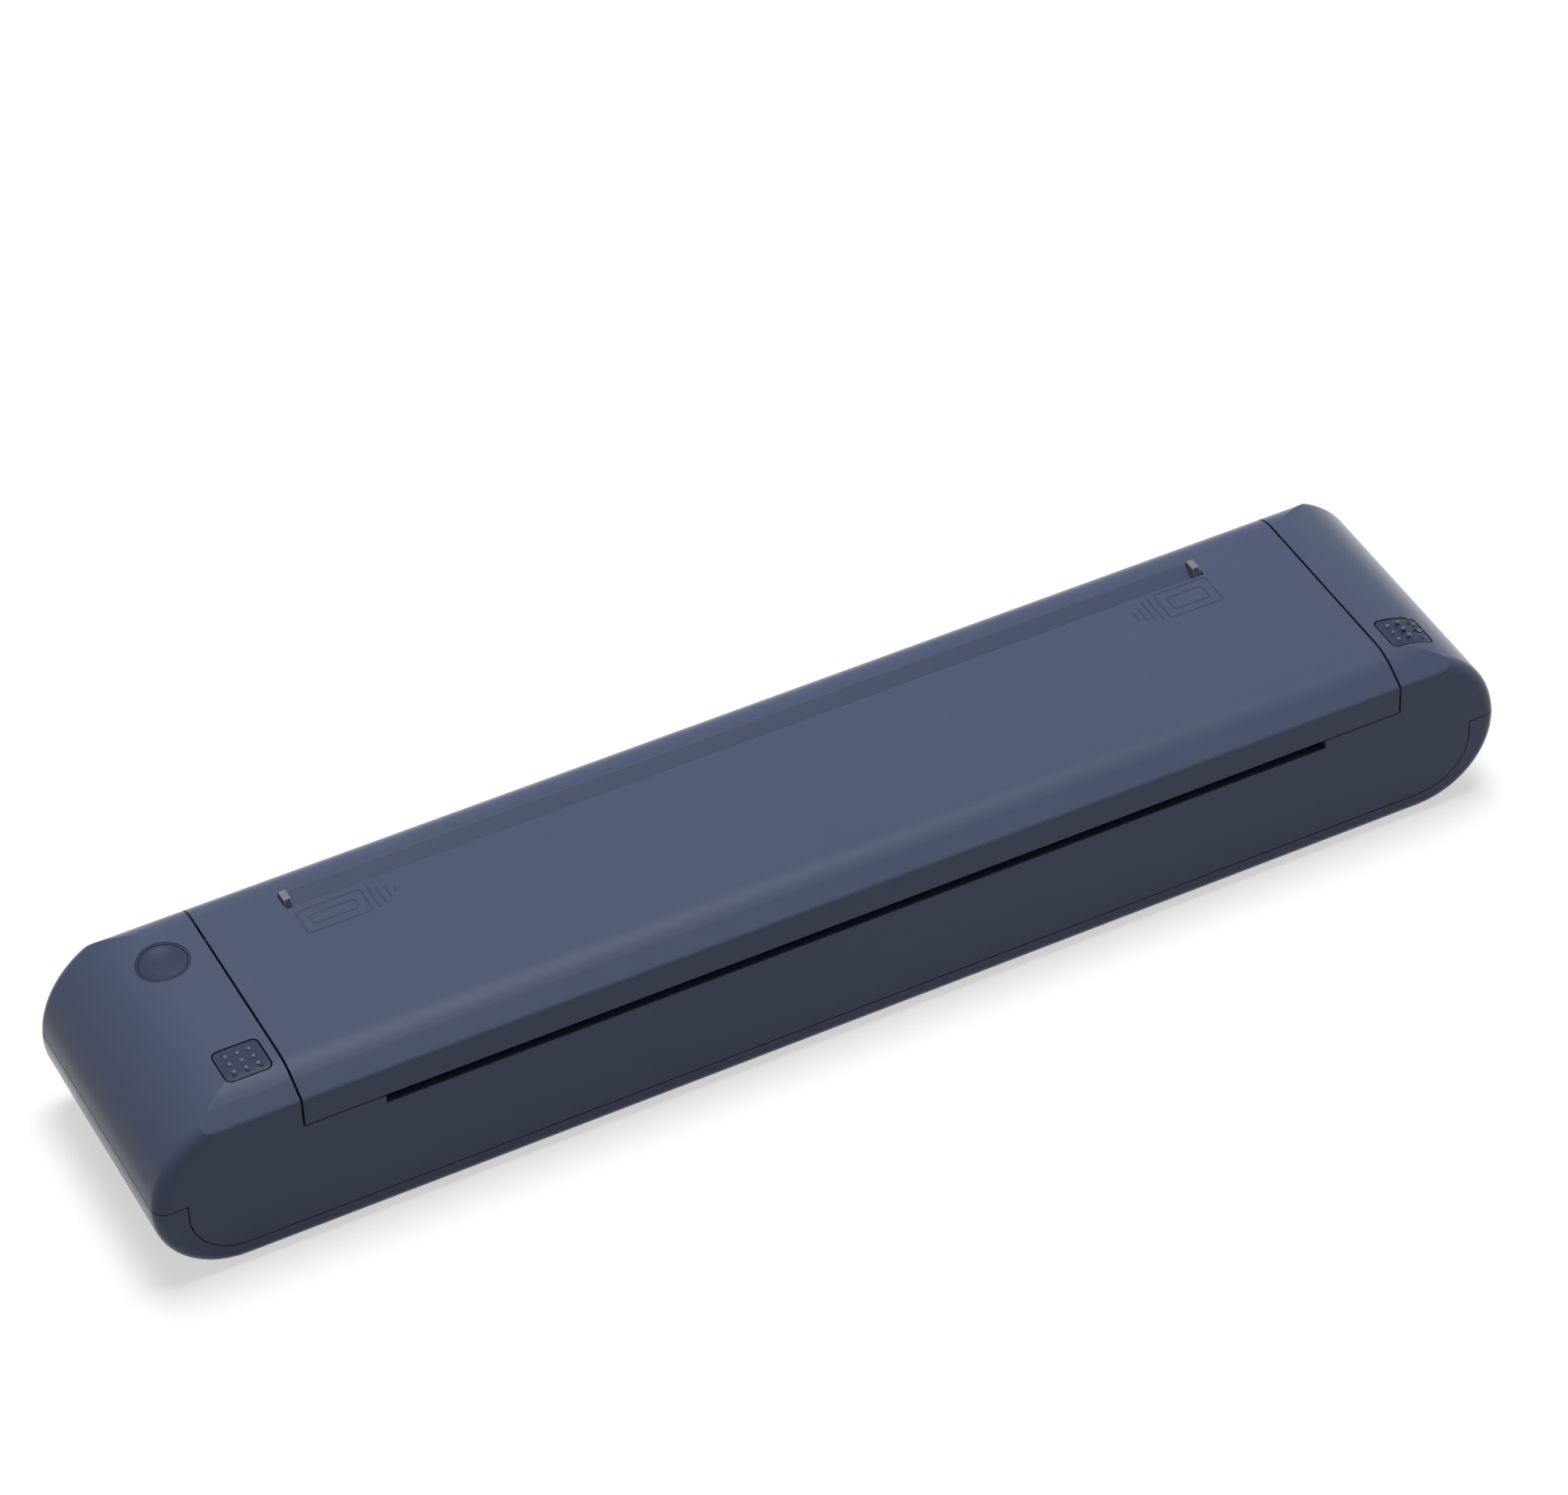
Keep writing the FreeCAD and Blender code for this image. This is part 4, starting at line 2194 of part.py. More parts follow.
def main():
    """Build and save every piece."""
    os.makedirs("parts", exist_ok=True)
    save("bottom_shell", make_bottom_shell())
    save("upper_housing", make_upper_housing())
    save("top_cover", make_top_cover())
    save("rubber_feet", make_feet())
    save("rating_label", make_label())
    save("case_screws", make_case_screws())
    save("hinge_pins", make_hinge_pins())
    save("upper_paper_guide", make_upper_guide())
    save("cover_screws", make_cover_screws())
    save("left_paper_guide", make_paper_guide(inlet_left + guide_slot_fit))
    save("right_paper_guide", make_paper_guide(inlet_right - guide_slot_fit - guide_thickness))
    save("platen_rubber", make_platen_rubber())
    save("platen_shaft", make_platen_shaft())
    save("platen_bushings", make_bushings())
    save("platen_gear", make_platen_gear())
    save("shaft_rings", make_shaft_rings())
    save("idler_gear", make_idler_gear())
    save("compound_gear", make_compound_gear())
    save("gear_studs", make_gear_studs())
    save("stud_ring", make_stud_ring())
    save("stepper_motor", make_motor())
    save("motor_screws", make_motor_screws())
    save("motor_shaft", make_motor_shaft())
    save("motor_pinion", make_motor_pinion())
    save("mechanism_frame", make_frame())
    save("frame_screws", make_frame_screws())
    save("head_heat_sink", make_heat_sink())
    save("head_ceramic", make_ceramic())
    save("head_driver_cover", make_driver_cover())
    save("head_pivot_pins", make_pivot_pins())
    save("head_springs", make_head_springs())
    save("head_ribbon", make_ribbon())
    save("lower_paper_guide", make_lower_guide())
    save("guide_screws", make_guide_screws())
    save("paper_sensor", make_sensor())
    save("main_board", make_main_board())
    save("board_parts", make_board_parts())
    save("board_screws", make_board_screws())
    save("battery_cells", make_cells())
    save("battery_tray", make_cell_tray())
    save("battery_lead", make_battery_lead())
    save("motor_lead", make_motor_lead())
    save("usb_board", make_usb_board())
    save("usb_socket", make_usb_socket())
    save("usb_lead", make_usb_lead())
    save("button_ring", make_button_ring())
    save("power_button", make_power_button())
    save("switch_plunger", make_switch_plunger())
    save("button_switch", make_button_switch())
    save("button_board", make_button_board())
    save("button_lead", make_button_lead())
    save("cover_switch", make_cover_switch())
    save("latch_pins", make_latch_pins())
    for name, (side, face, pivot_x, pad_x) in zip(("left", "right"), latch_sides()):
        save(name + "_release_button", make_release_button(side, pivot_x, pad_x))
        save(name + "_latch_hook", make_latch_hook(side, face, pivot_x))
        save(name + "_release_spring", make_release_spring(side, pivot_x))


main()
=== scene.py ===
"""Looks of a portable thermal printer for A4 paper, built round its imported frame.

Lengths are in metres and places are in the frame's axes: X runs along the printer, minus Y is the
front with the exit slot, and Z is up from the table. Sizes in the classes are written in millimetres
and are turned into metres where a mesh is made.
"""

import logging
import math
from dataclasses import dataclass
from enum import Enum
from typing import ClassVar

import bmesh
import bpy
import numpy as np
from mathutils import Matrix, Vector


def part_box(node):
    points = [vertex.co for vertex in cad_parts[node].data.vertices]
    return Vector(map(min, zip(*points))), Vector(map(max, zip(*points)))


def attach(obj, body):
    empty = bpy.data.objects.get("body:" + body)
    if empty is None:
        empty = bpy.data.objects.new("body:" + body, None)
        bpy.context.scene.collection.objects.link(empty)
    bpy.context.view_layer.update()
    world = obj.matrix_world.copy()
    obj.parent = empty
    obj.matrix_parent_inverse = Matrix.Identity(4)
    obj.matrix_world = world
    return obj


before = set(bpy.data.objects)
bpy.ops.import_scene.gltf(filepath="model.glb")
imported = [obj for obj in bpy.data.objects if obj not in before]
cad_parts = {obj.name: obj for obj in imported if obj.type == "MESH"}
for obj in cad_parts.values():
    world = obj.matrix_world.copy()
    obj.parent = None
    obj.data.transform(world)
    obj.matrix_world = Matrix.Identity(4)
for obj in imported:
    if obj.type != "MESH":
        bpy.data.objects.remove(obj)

LOG = logging.getLogger("printer")
MM = 0.001

Array = np.ndarray
Pair = tuple[float, float]
Triple = tuple[float, float, float]
Sides = tuple[float, float, float, float]
Colour = Triple
Socket = bpy.types.NodeSocket
Sockets = bpy.types.bpy_prop_collection
Worn = ClassVar[dict[str, tuple[str, ...]]]

UP = (0.0, 0.0, 1.0)
LEFTWARDS = (-1.0, 0.0, 0.0)
RIGHTWARDS = (1.0, 0.0, 0.0)
BLACK = (0.0, 0.0, 0.0)
WHITE = (1.0, 1.0, 1.0)

# How round a block's edges are, and how few points a small block has.
SHARP = 0.1
SHARPEST = 0.05
COARSE = (8, 5)

# The colour sockets of a Mix node.
MIX_FIRST, MIX_SECOND, MIX_RESULT = 6, 7, 2


class Run(Enum):
    """The direction in which a metal's lines or a pattern's stripes run."""

    X = (0.04, 1.0, 1.0)
    Y = (1.0, 0.04, 1.0)
    Z = (1.0, 1.0, 0.04)
    EVEN = (1.0, 1.0, 1.0)


class Side(Enum):
    """An end of the printer, as the sign of X."""

    LEFT = -1
    RIGHT = 1


# Surfaces


def signed_power(wave: Array, power: float) -> Array:
    """A wave raised to a power with its signs kept."""
    return np.sign(wave) * np.abs(wave) ** power


def unit_rows(rows: Array) -> Array:
    """Each row over its own length."""
    return rows / np.linalg.norm(rows, axis=1, keepdims=True)


class Surface:
    """Points and faces gathered from grids, put into one mesh at the end."""

    def __init__(self) -> None:
        """Starts with nothing in it."""
        self.points: list[Array] = []
        self.faces: list[Array] = []
        self.count = 0

    def grid(self, grid: Array, close_u: bool = False, close_v: bool = False) -> "Surface":
        """Adds a grid of points as quads.

        Each face joins the points (u, v), (u+1, v), (u+1, v+1) and (u, v+1), and the last row or
        column joins the first where that direction is closed.

        Args:
            grid: Points as (rows, columns, 3), in millimetres.
            close_u: Whether the last row joins the first.
            close_v: Whether the last column joins the first.

        Returns:
            This surface.
        """
        rows, columns = grid.shape[:2]
        u, v = np.meshgrid(
            np.arange(rows if close_u else rows - 1), np.arange(columns if close_v else columns - 1), indexing="ij"
        )
        u_next, v_next = (u + 1) % rows, (v + 1) % columns
        corners = (u * columns + v, u_next * columns + v, u_next * columns + v_next, u * columns + v_next)
        self.points.append(grid.reshape(-1, 3))
        self.faces.append(np.stack(corners, axis=-1).reshape(-1, 4) + self.count)
        self.count += rows * columns
        return self

    def blocks(
        self, centres: Array, sizes: Array, power: float = 0.14, around: int = 16, rows: int = 9
    ) -> "Surface":
        """Adds blocks with softly rounded edges, all worked out at once.

        A block is a superellipsoid. With c(w) and s(w) the cosine and sine raised to a small power
        with their signs kept, its point at (u, v) is the centre plus half the size times
        (c(v) c(u), c(v) s(u), s(v)).

        Args:
            centres: Centres as (blocks, 3), in millimetres.
            sizes: Full sizes as (blocks, 3) or (3,).
            power: How round the edges are, from 0 for a sharp box to 1 for an ellipsoid.
            around: Points around each row.
            rows: Rows from the bottom to the top.

        Returns:
            This surface.
        """
        centres = np.atleast_2d(np.asarray(centres, float))
        sizes = np.broadcast_to(np.asarray(sizes, float), centres.shape)
        turn = (np.arange(around) + 0.5) * 2 * np.pi / around
        rise = np.linspace(-np.pi / 2, np.pi / 2, rows)
        flat = signed_power(np.round(np.cos(rise), 12), power)
        unit = np.stack(
            (
                np.outer(flat, signed_power(np.cos(turn), power)),
                np.outer(flat, signed_power(np.sin(turn), power)),
                np.outer(signed_power(np.sin(rise), power), np.ones(around)),
            ),
            axis=-1,
        )
        for centre, size in zip(centres, sizes):
            self.grid(centre + unit * size / 2, close_v=True)
        return self

    def lathe(
        self, profile: Array, centre: Array, axis: Array, around: int = 48, closed: bool = False
    ) -> "Surface":
        """Adds a profile turned about an axis.

        The point at (u, v) is the centre, plus the axis times the profile's first number at v, plus
        the profile's second number at v times the direction at angle u square to the axis.

        Args:
            profile: Rows of (along the axis, radius), in millimetres.
            centre: The axis' start.
            axis: The axis' direction.
            around: Points around the axis.
            closed: Whether the profile's last point joins its first, as in a ring.

        Returns:
            This surface.
        """
        axis = np.asarray(axis, float) / np.linalg.norm(axis)
        first = np.cross(axis, (0.0, 0.0, 1.0) if abs(axis[2]) < 0.9 else (1.0, 0.0, 0.0))
        first /= np.linalg.norm(first)
        second = np.cross(axis, first)
        turn = np.arange(around) * 2 * np.pi / around
        spoke = np.outer(np.cos(turn), first) + np.outer(np.sin(turn), second)
        profile = np.asarray(profile, float)
        grid = np.asarray(centre, float) + profile[None, :, :1] * axis + profile[None, :, 1:] * spoke[:, None, :]
        return self.grid(grid, close_u=True, close_v=closed)

    def ring(
        self, centre: Array, axis: Array, inner: float, outer: float, height: float, around: int = 48
    ) -> "Surface":
        """Adds a flat ring with softened rims, as a closed profile turned about an axis.

        Args:
            centre: The middle of the ring's foot.
            axis: The direction that the ring rises in.
            inner: Its inner radius.
            outer: Its outer radius.
            height: How far it rises.
            around: Points around the axis.

        Returns:
            This surface.
        """
        lip = min(height, outer - inner) * 0.25
        foot = ((0, inner), (0, outer))
        crown = ((height - lip, outer), (height, outer - lip), (height, inner + lip), (height - lip, inner))
        return self.lathe(np.array(foot + crown), centre, axis, around, closed=True)

    def sweep(self, path: Array, profile: Array, up: Array = UP, closed: bool = False) -> "Surface":
        """Adds a closed profile carried along a path.

        At each point of the path the tangent is the mean of the runs before and after it, the side
        is the tangent crossed with up, and the point at (u, v) is the path at u plus the profile's
        first number along the side and its second along up.

        Args:
            path: Points as (points, 3), in millimetres.
            profile: A loop of (sideways, upwards) offsets.
            up: The direction that stays up along the path.
            closed: Whether the path's end joins its start.

        Returns:
            This surface.
        """
        path = np.asarray(path, float)
        if closed:
            ahead = np.roll(path, -1, axis=0) - path
            behind = path - np.roll(path, 1, axis=0)
        else:
            steps = np.diff(path, axis=0)
            ahead = np.concatenate((steps, steps[-1:]))
            behind = np.concatenate((steps[:1], steps))
        tangent = unit_rows(unit_rows(ahead) + unit_rows(behind))
        side = unit_rows(np.cross(tangent, np.asarray(up, float)))
        lean = 1 / np.clip(np.sum(tangent * unit_rows(ahead), axis=1, keepdims=True), 0.5, 1.0)
        profile = np.asarray(profile, float)
        grid = (
            path[:, None, :]
            + profile[None, :, :1] * (side * lean)[:, None, :]
            + profile[None, :, 1:] * np.asarray(up, float)
        )
        if not closed:
            start = np.repeat(grid[:1].mean(axis=1, keepdims=True), len(profile), axis=1)
            end = np.repeat(grid[-1:].mean(axis=1, keepdims=True), len(profile), axis=1)
            grid = np.concatenate((start, grid, end))
        return self.grid(grid, close_u=closed, close_v=True)

    def piece(self, name: str, finish: bpy.types.Material, body: str, slot: str, sharp_deg: float = 40.0) -> None:
        """Makes the object, with doubles merged and every face pointing outwards.

        Args:
            name: The object's name.
            finish: Its material.
            body: The body it rides on.
            slot: Not used.
            sharp_deg: Edges that turn more than this stay sharp.
        """
        mesh = bpy.data.meshes.new(name)
        mesh.from_pydata((np.concatenate(self.points) * MM).tolist(), [], np.concatenate(self.faces).tolist())
        tidy = bmesh.new()
        tidy.from_mesh(mesh)
        bmesh.ops.remove_doubles(tidy, verts=tidy.verts, dist=1e-7)
        bmesh.ops.dissolve_degenerate(tidy, edges=tidy.edges, dist=1e-8)
        bmesh.ops.recalc_face_normals(tidy, faces=tidy.faces)
        tidy.to_mesh(mesh)
        tidy.free()
        mesh.shade_smooth()
        mesh.set_sharp_from_angle(angle=math.radians(sharp_deg))
        mesh.materials.append(finish)
        made = bpy.data.objects.new(name, mesh)
        bpy.context.scene.collection.objects.link(made)
        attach(made, body)
        LOG.info("%s: %d faces on %s", name, len(mesh.polygons), body)


# Paths and profiles


def places(x: object, y: object, z: object) -> Array:
    """Points from three coordinates, each an array or a number that all the points share."""
    return np.column_stack(np.broadcast_arrays(x, y, z))


def rounded_rectangle(
    left: float, right: float, front: float, back: float, height: float, radius: float, steps: int = 5
) -> Array:
    """A closed level path round a rectangle whose corners are quarter circles.

    Args:
        left: Lowest X.
        right: Highest X.
        front: Lowest Y.
        back: Highest Y.
        height: Z of the whole path.
        radius: The corners' radius.
        steps: Points in each corner.

    Returns:
        Points as (points, 3).
    """
    centres = (
        (right - radius, back - radius),
        (left + radius, back - radius),
        (left + radius, front + radius),
        (right - radius, front + radius),
    )
    path = []
    for quarter, (x, y) in enumerate(centres):
        angle = np.linspace(0, np.pi / 2, steps) + quarter * np.pi / 2
        path.append(places(x + radius * np.cos(angle), y + radius * np.sin(angle), height))
    return np.concatenate(path)


def groove_profile(width: float, rise: float) -> Array:
    """A shallow channel between two low lips, as a closed loop.

    Args:
        width: From edge to edge.
        rise: How high its lips stand.

    Returns:
        Points as (points, 2).
    """
    half = width / 2
    lip, wall = (0.86 * half, rise), (0.55 * half, 0.75 * rise)
    return np.array(
        ((-half, 0.0), (half, 0.0), lip, wall, (0.0, rise * 0.25), (-wall[0], wall[1]), (-lip[0], lip[1]))
    )


def bar_profile(half: float, low: float, high: float, taper: float = 0.0) -> Array:
    """A flat bar's section as a closed loop, narrower at its top by a taper on each side."""
    return np.array(((-half, low), (half, low), (half - taper, high), (taper - half, high)))


def arch_profile(half: float, rise: float, points: int, sink: float = 0.0) -> Array:
    """Half an ellipse as a closed loop, sunk a little into what it lies on."""
    turn = np.linspace(0, np.pi, points)
    return np.column_stack((half * np.cos(turn), rise * np.sin(turn) - sink))


def dome_profile(radius: float, rise: float, skirt: float) -> Array:
    """A quarter of an ellipse over a straight skirt, as rows of (along the axis, radius).

    Args:
        radius: The dome's radius.
        rise: Its height.
        skirt: How deep the wall under it goes.

    Returns:
        The profile, for lathe.
    """
    turn = np.linspace(0, np.pi / 2, 6)
    cap = np.column_stack((rise * np.sin(turn), radius * np.cos(turn)))
    return np.concatenate((((-skirt, 0.0), (-skirt, radius)), cap))


@dataclass(frozen=True)
class Box:
    """A node's box in millimetres."""

    low: Array
    high: Array

    @classmethod
    def of(cls, node: str) -> "Box":
        """The box of a CAD node."""
        low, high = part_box(node)
        return cls(np.array(low) / MM, np.array(high) / MM)

    @property
    def middle(self) -> Array:
        """The box's centre."""
        return (self.low + self.high) / 2

    @property
    def size(self) -> Array:
        """The box's full size."""
        return self.high - self.low


# Shader graphs


class Graph:
    """A thin hand on a node tree: it adds nodes and links them."""

    def __init__(self, tree: bpy.types.NodeTree) -> None:
        """Takes the tree to work in."""
        self.tree = tree

    def add(self, kind: str, **values: object) -> bpy.types.Node:
        """Adds a node and sets its properties.

        Args:
            kind: The node's type.
            **values: Properties of the node.

        Returns:
            The node.
        """
        node = self.tree.nodes.new(kind)
        for name, value in values.items():
            setattr(node, name, value)
        return node

    def join(self, source: object, target: Socket) -> None:
        """Links a socket to an input, or sets the input where the source is a plain value.

        Args:
            source: A socket or a plain value.
            target: The input that takes it.
        """
        if isinstance(source, bpy.types.NodeSocket):
            self.tree.links.new(source, target)
        else:
            target.default_value = source

    def number(self, kind: str, *values: object, clamp: bool = False) -> Socket:
        """A Math node.

        Args:
            kind: The operation.
            *values: Numbers or sockets, in the order of the node's inputs.
            clamp: Whether the result stays between 0 and 1.

        Returns:
            The result's socket.
        """
        node = self.add("ShaderNodeMath", operation=kind, use_clamp=clamp)
        for place, value in enumerate(values):
            self.join(value, node.inputs[place])
        return node.outputs[0]

    def product(self, *values: object, clamp: bool = False) -> Socket:
        """The product of two or more numbers or sockets.

        Args:
            *values: Numbers or sockets.
            clamp: Whether each result stays between 0 and 1.

        Returns:
            The product's socket.
        """
        result = values[0]
        for value in values[1:]:
            result = self.number("MULTIPLY", result, value, clamp=clamp)
        return result

    def vector(self, kind: str, first: Socket, second: Socket) -> Sockets:
        """The outputs of a Vector Math node that works on two vectors.

        Args:
            kind: The operation.
            first: The first vector.
            second: The second.

        Returns:
            The node's outputs.
        """
        node = self.add("ShaderNodeVectorMath", operation=kind)
        self.join(first, node.inputs[0])
        self.join(second, node.inputs[1])
        return node.outputs

    def axes(self, vector: Socket) -> Sockets:
        """A vector's X, Y and Z.

        Args:
            vector: The vector.

        Returns:
            The sockets X, Y and Z.
        """
        node = self.add("ShaderNodeSeparateXYZ")
        self.join(vector, node.inputs[0])
        return node.outputs

    def blend(self, share: object, first: object, second: object) -> Socket:
        """Mixes two colours.

        Args:
            share: How much of the second.
            first: The first colour.
            second: The second colour.

        Returns:
            The colour's socket.
        """
        node = self.add("ShaderNodeMix", data_type="RGBA")
        self.join(share, node.inputs["Factor"])
        self.join(first, node.inputs[MIX_FIRST])
        self.join(second, node.inputs[MIX_SECOND])
        return node.outputs[MIX_RESULT]

    def span(self, value: object, low: float, high: float, to_low: float = 0.0, to_high: float = 1.0) -> Socket:
        """A value's span from low to high carried to another span, with its ends held.

        Args:
            value: The value.
            low: Where its span starts.
            high: Where its span ends.
            to_low: What it becomes at the start.
            to_high: What it becomes at the end.

        Returns:
            The result's socket.
        """
        node = self.add("ShaderNodeMapRange")
        for place, number in enumerate((value, low, high, to_low, to_high)):
            self.join(number, node.inputs[place])
        return node.outputs[0]

    def noise(self, place: Socket, scale: object, detail: float = 3.0, rough: float = 0.55) -> Socket:
        """Fractal noise between 0 and 1 at a place.

        Args:
            place: Where it is looked up.
            scale: How fine it is.
            detail: How many octaves it has.
            rough: How strong its fine octaves are.

        Returns:
            The noise's socket.
        """
        node = self.add("ShaderNodeTexNoise")
        for label, value in (("Vector", place), ("Scale", scale), ("Detail", detail), ("Roughness", rough)):
            self.join(value, node.inputs[label])
        return node.outputs["Fac"]

    def object_place(self) -> Socket:
        """The place on the piece in metres, from Object coordinates."""
        return self.add("ShaderNodeTexCoord").outputs["Object"]

    def normal(self) -> Socket:
        """The face's own normal."""
        return self.add("ShaderNodeNewGeometry").outputs["Normal"]

    def softened_normal(self, radius: Socket, samples: int) -> Socket:
        """The normal as it would be with edges rounded to a radius.

        Args:
            radius: The radius in metres.
            samples: Rays for each look.

        Returns:
            The normal's socket.
        """
        node = self.add("ShaderNodeBevel", samples=samples)
        self.join(radius, node.inputs["Radius"])
        return node.outputs["Normal"]


class Effects:
    """Shader node groups that more than one material uses."""

    track_share = 0.16
    track_run = 9.0
    track_chance = 0.45

    def __init__(self) -> None:
        """Builds each group once."""
        self.moulded = self.make_moulded()
        self.mottle = self.make_mottle()
        self.worn_edges = self.make_worn_edges()
        self.settled_dust = self.make_settled_dust()
        self.drawn_lines = self.make_drawn_lines()
        self.stripes = self.make_stripes()
        self.traces = self.make_traces()
        self.soft_edges = self.make_soft_edges()

    @staticmethod
    def start(
        name: str, inputs: dict[str, float], *outputs: str, kind: str = "NodeSocketFloat"
    ) -> tuple[Graph, Sockets, Sockets]:
        """Starts a group with its named inputs and outputs.

        Args:
            name: The group's name.
            inputs: Each input with its first value.
            *outputs: The outputs' names.
            kind: The outputs' socket type.

        Returns:
            The graph, the sockets that the group is given and those that it has to feed.
        """
        tree = bpy.data.node_groups.new(name, "ShaderNodeTree")
        for label, value in inputs.items():
            made = tree.interface.new_socket(label, in_out="INPUT", socket_type="NodeSocketFloat")
            made.default_value = value
        for label in outputs:
            tree.interface.new_socket(label, in_out="OUTPUT", socket_type=kind)
        graph = Graph(tree)
        return graph, graph.add("NodeGroupInput").outputs, graph.add("NodeGroupOutput").inputs

    @staticmethod
    def along(graph: Graph, given: Sockets) -> Socket:
        """The inputs Along X, Along Y and Along Z as one vector.

        Args:
            graph: The group's graph.
            given: What the group is given.

        Returns:
            The vector's socket.
        """
        node = graph.add("ShaderNodeCombineXYZ")
        for place, axis in enumerate("XYZ"):
            graph.join(given["Along " + axis], node.inputs[place])
        return node.outputs[0]

    def make_moulded(self) -> bpy.types.NodeTree:
        """The fine pebbled texture of a spark-eroded mould: small cells over fractal noise.

        Returns:
            The group's tree.
        """
        graph, given, result = self.start("moulded_texture", {"Grain": 4000.0}, "Height", "Tone")
        place = graph.object_place()
        cells = graph.add("ShaderNodeTexVoronoi", feature="SMOOTH_F1")
        graph.join(place, cells.inputs["Vector"])
        graph.join(given["Grain"], cells.inputs["Scale"])
        fine = graph.noise(place, graph.product(given["Grain"], 1.7), 2.0)
        height = graph.number("ADD", graph.product(cells.outputs["Distance"], 0.7), graph.product(fine, 0.5))
        graph.join(height, result["Height"])
        graph.join(graph.span(fine, 0.3, 0.7), result["Tone"])
        return graph.tree

    def make_mottle(self) -> bpy.types.NodeTree:
        """Slow drifts of tone: two sizes of noise added.

        Returns:
            The group's tree.
        """
        graph, given, result = self.start("mottle", {"Scale": 20.0}, "Tone")
        place = graph.object_place()
        large = graph.noise(place, given["Scale"], 2.0)
        small = graph.noise(place, graph.product(given["Scale"], 9.0), 4.0)
        tone = graph.number("ADD", graph.product(large, 0.65), graph.product(small, 0.35))
        graph.join(graph.span(tone, 0.35, 0.65), result["Tone"])
        return graph.tree

    def make_worn_edges(self) -> bpy.types.NodeTree:
        """Worn edges: where the softened normal leaves the face's own normal, broken up by noise.

        Returns:
            The group's tree.
        """
        graph, given, result = self.start("worn_edges", {"Radius": 0.0004, "Amount": 0.5}, "Mask")
        soft = graph.softened_normal(given["Radius"], 4)
        turned = graph.span(graph.vector("DOT_PRODUCT", soft, graph.normal())["Value"], 0.995, 0.85)
        broken = graph.span(graph.noise(graph.object_place(), 900.0, 4.0), 0.4, 0.62)
        graph.join(graph.product(turned, broken, given["Amount"], clamp=True), result["Mask"])
        return graph.tree

    def make_settled_dust(self) -> bpy.types.NodeTree:
        """Dust that settles on faces that look up, in soft patches.

        Returns:
            The group's tree.
        """
        graph, given, result = self.start("settled_dust", {"Amount": 0.1}, "Mask")
        upward = graph.span(graph.axes(graph.normal())["Z"], 0.2, 1.0)
        patch = graph.span(graph.noise(graph.object_place(), 55.0, 6.0, 0.7), 0.42, 0.72)
        graph.join(graph.product(upward, patch, given["Amount"], clamp=True), result["Mask"])
        return graph.tree

    def make_drawn_lines(self) -> bpy.types.NodeTree:
        """Lines left by drawing, rolling or turning: noise stretched along one axis.

        Returns:
            The group's tree.
        """
        inputs = {"Along X": 1.0, "Along Y": 1.0, "Along Z": 1.0, "Scale": 3000.0}
        graph, given, result = self.start("drawn_lines", inputs, "Height", "Tone")
        scaled = graph.vector("MULTIPLY", graph.object_place(), self.along(graph, given))[0]
        lines = graph.noise(scaled, given["Scale"], 4.0, 0.65)
        graph.join(lines, result["Height"])
        graph.join(graph.span(lines, 0.3, 0.7), result["Tone"])
        return graph.tree

    def make_stripes(self) -> bpy.types.NodeTree:
        """Even stripes: the place along an axis over the pitch, its fraction set against a share.

        Returns:
            The group's tree.
        """
        inputs = {"Along X": 1.0, "Along Y": 0.0, "Along Z": 0.0, "Pitch": 0.001, "Share": 0.5}
        graph, given, result = self.start("stripes", inputs, "Mask")
        reach = graph.vector("DOT_PRODUCT", graph.object_place(), self.along(graph, given))["Value"]
        turn = graph.number("FRACT", graph.number("DIVIDE", reach, given["Pitch"]))
        middle = graph.number("ABSOLUTE", graph.number("SUBTRACT", turn, 0.5))
        graph.join(graph.number("LESS_THAN", middle, graph.product(given["Share"], 0.5)), result["Mask"])
        return graph.tree

    def make_traces(self) -> bpy.types.NodeTree:
        """Copper tracks under solder mask: thin lines both ways, each switched on or off in cells.

        Returns:
            The group's tree.
        """
        graph, given, result = self.start("board_tracks", {"Pitch": 0.0012}, "Mask", "Height")
        place = graph.axes(graph.object_place())
        masks = []
        for across, along in (("X", "Y"), ("Y", "X")):
            lane = graph.number("DIVIDE", place[across], given["Pitch"])
            off = graph.number("ABSOLUTE", graph.number("SUBTRACT", graph.number("FRACT", lane), 0.5))
            line = graph.number("LESS_THAN", off, self.track_share)
            run = graph.number("DIVIDE", place[along], graph.product(given["Pitch"], self.track_run))
            key = graph.add("ShaderNodeCombineXYZ")
            graph.join(graph.number("FLOOR", lane), key.inputs[0])
            graph.join(graph.number("FLOOR", run), key.inputs[1])
            chance = graph.add("ShaderNodeTexWhiteNoise", noise_dimensions="2D")
            graph.join(key.outputs[0], chance.inputs["Vector"])
            shown = graph.number("GREATER_THAN", chance.outputs["Value"], self.track_chance)
            masks.append(graph.product(line, shown))
        mask = graph.number("MAXIMUM", *masks)
        graph.join(mask, result["Mask"])
        graph.join(mask, result["Height"])
        return graph.tree

    def make_soft_edges(self) -> bpy.types.NodeTree:
        """The normal softened over a radius, as the small round on a moulded or pressed edge.

        Returns:
            The group's tree.
        """
        graph, given, result = self.start("soft_edges", {"Radius": 0.0003}, "Normal", kind="NodeSocketVector")
        graph.join(graph.softened_normal(given["Radius"], 6), result["Normal"])
        return graph.tree


# Finishes


def full(colour: Colour) -> tuple[float, ...]:
    """A colour with its alpha."""
    return (*colour, 1.0)


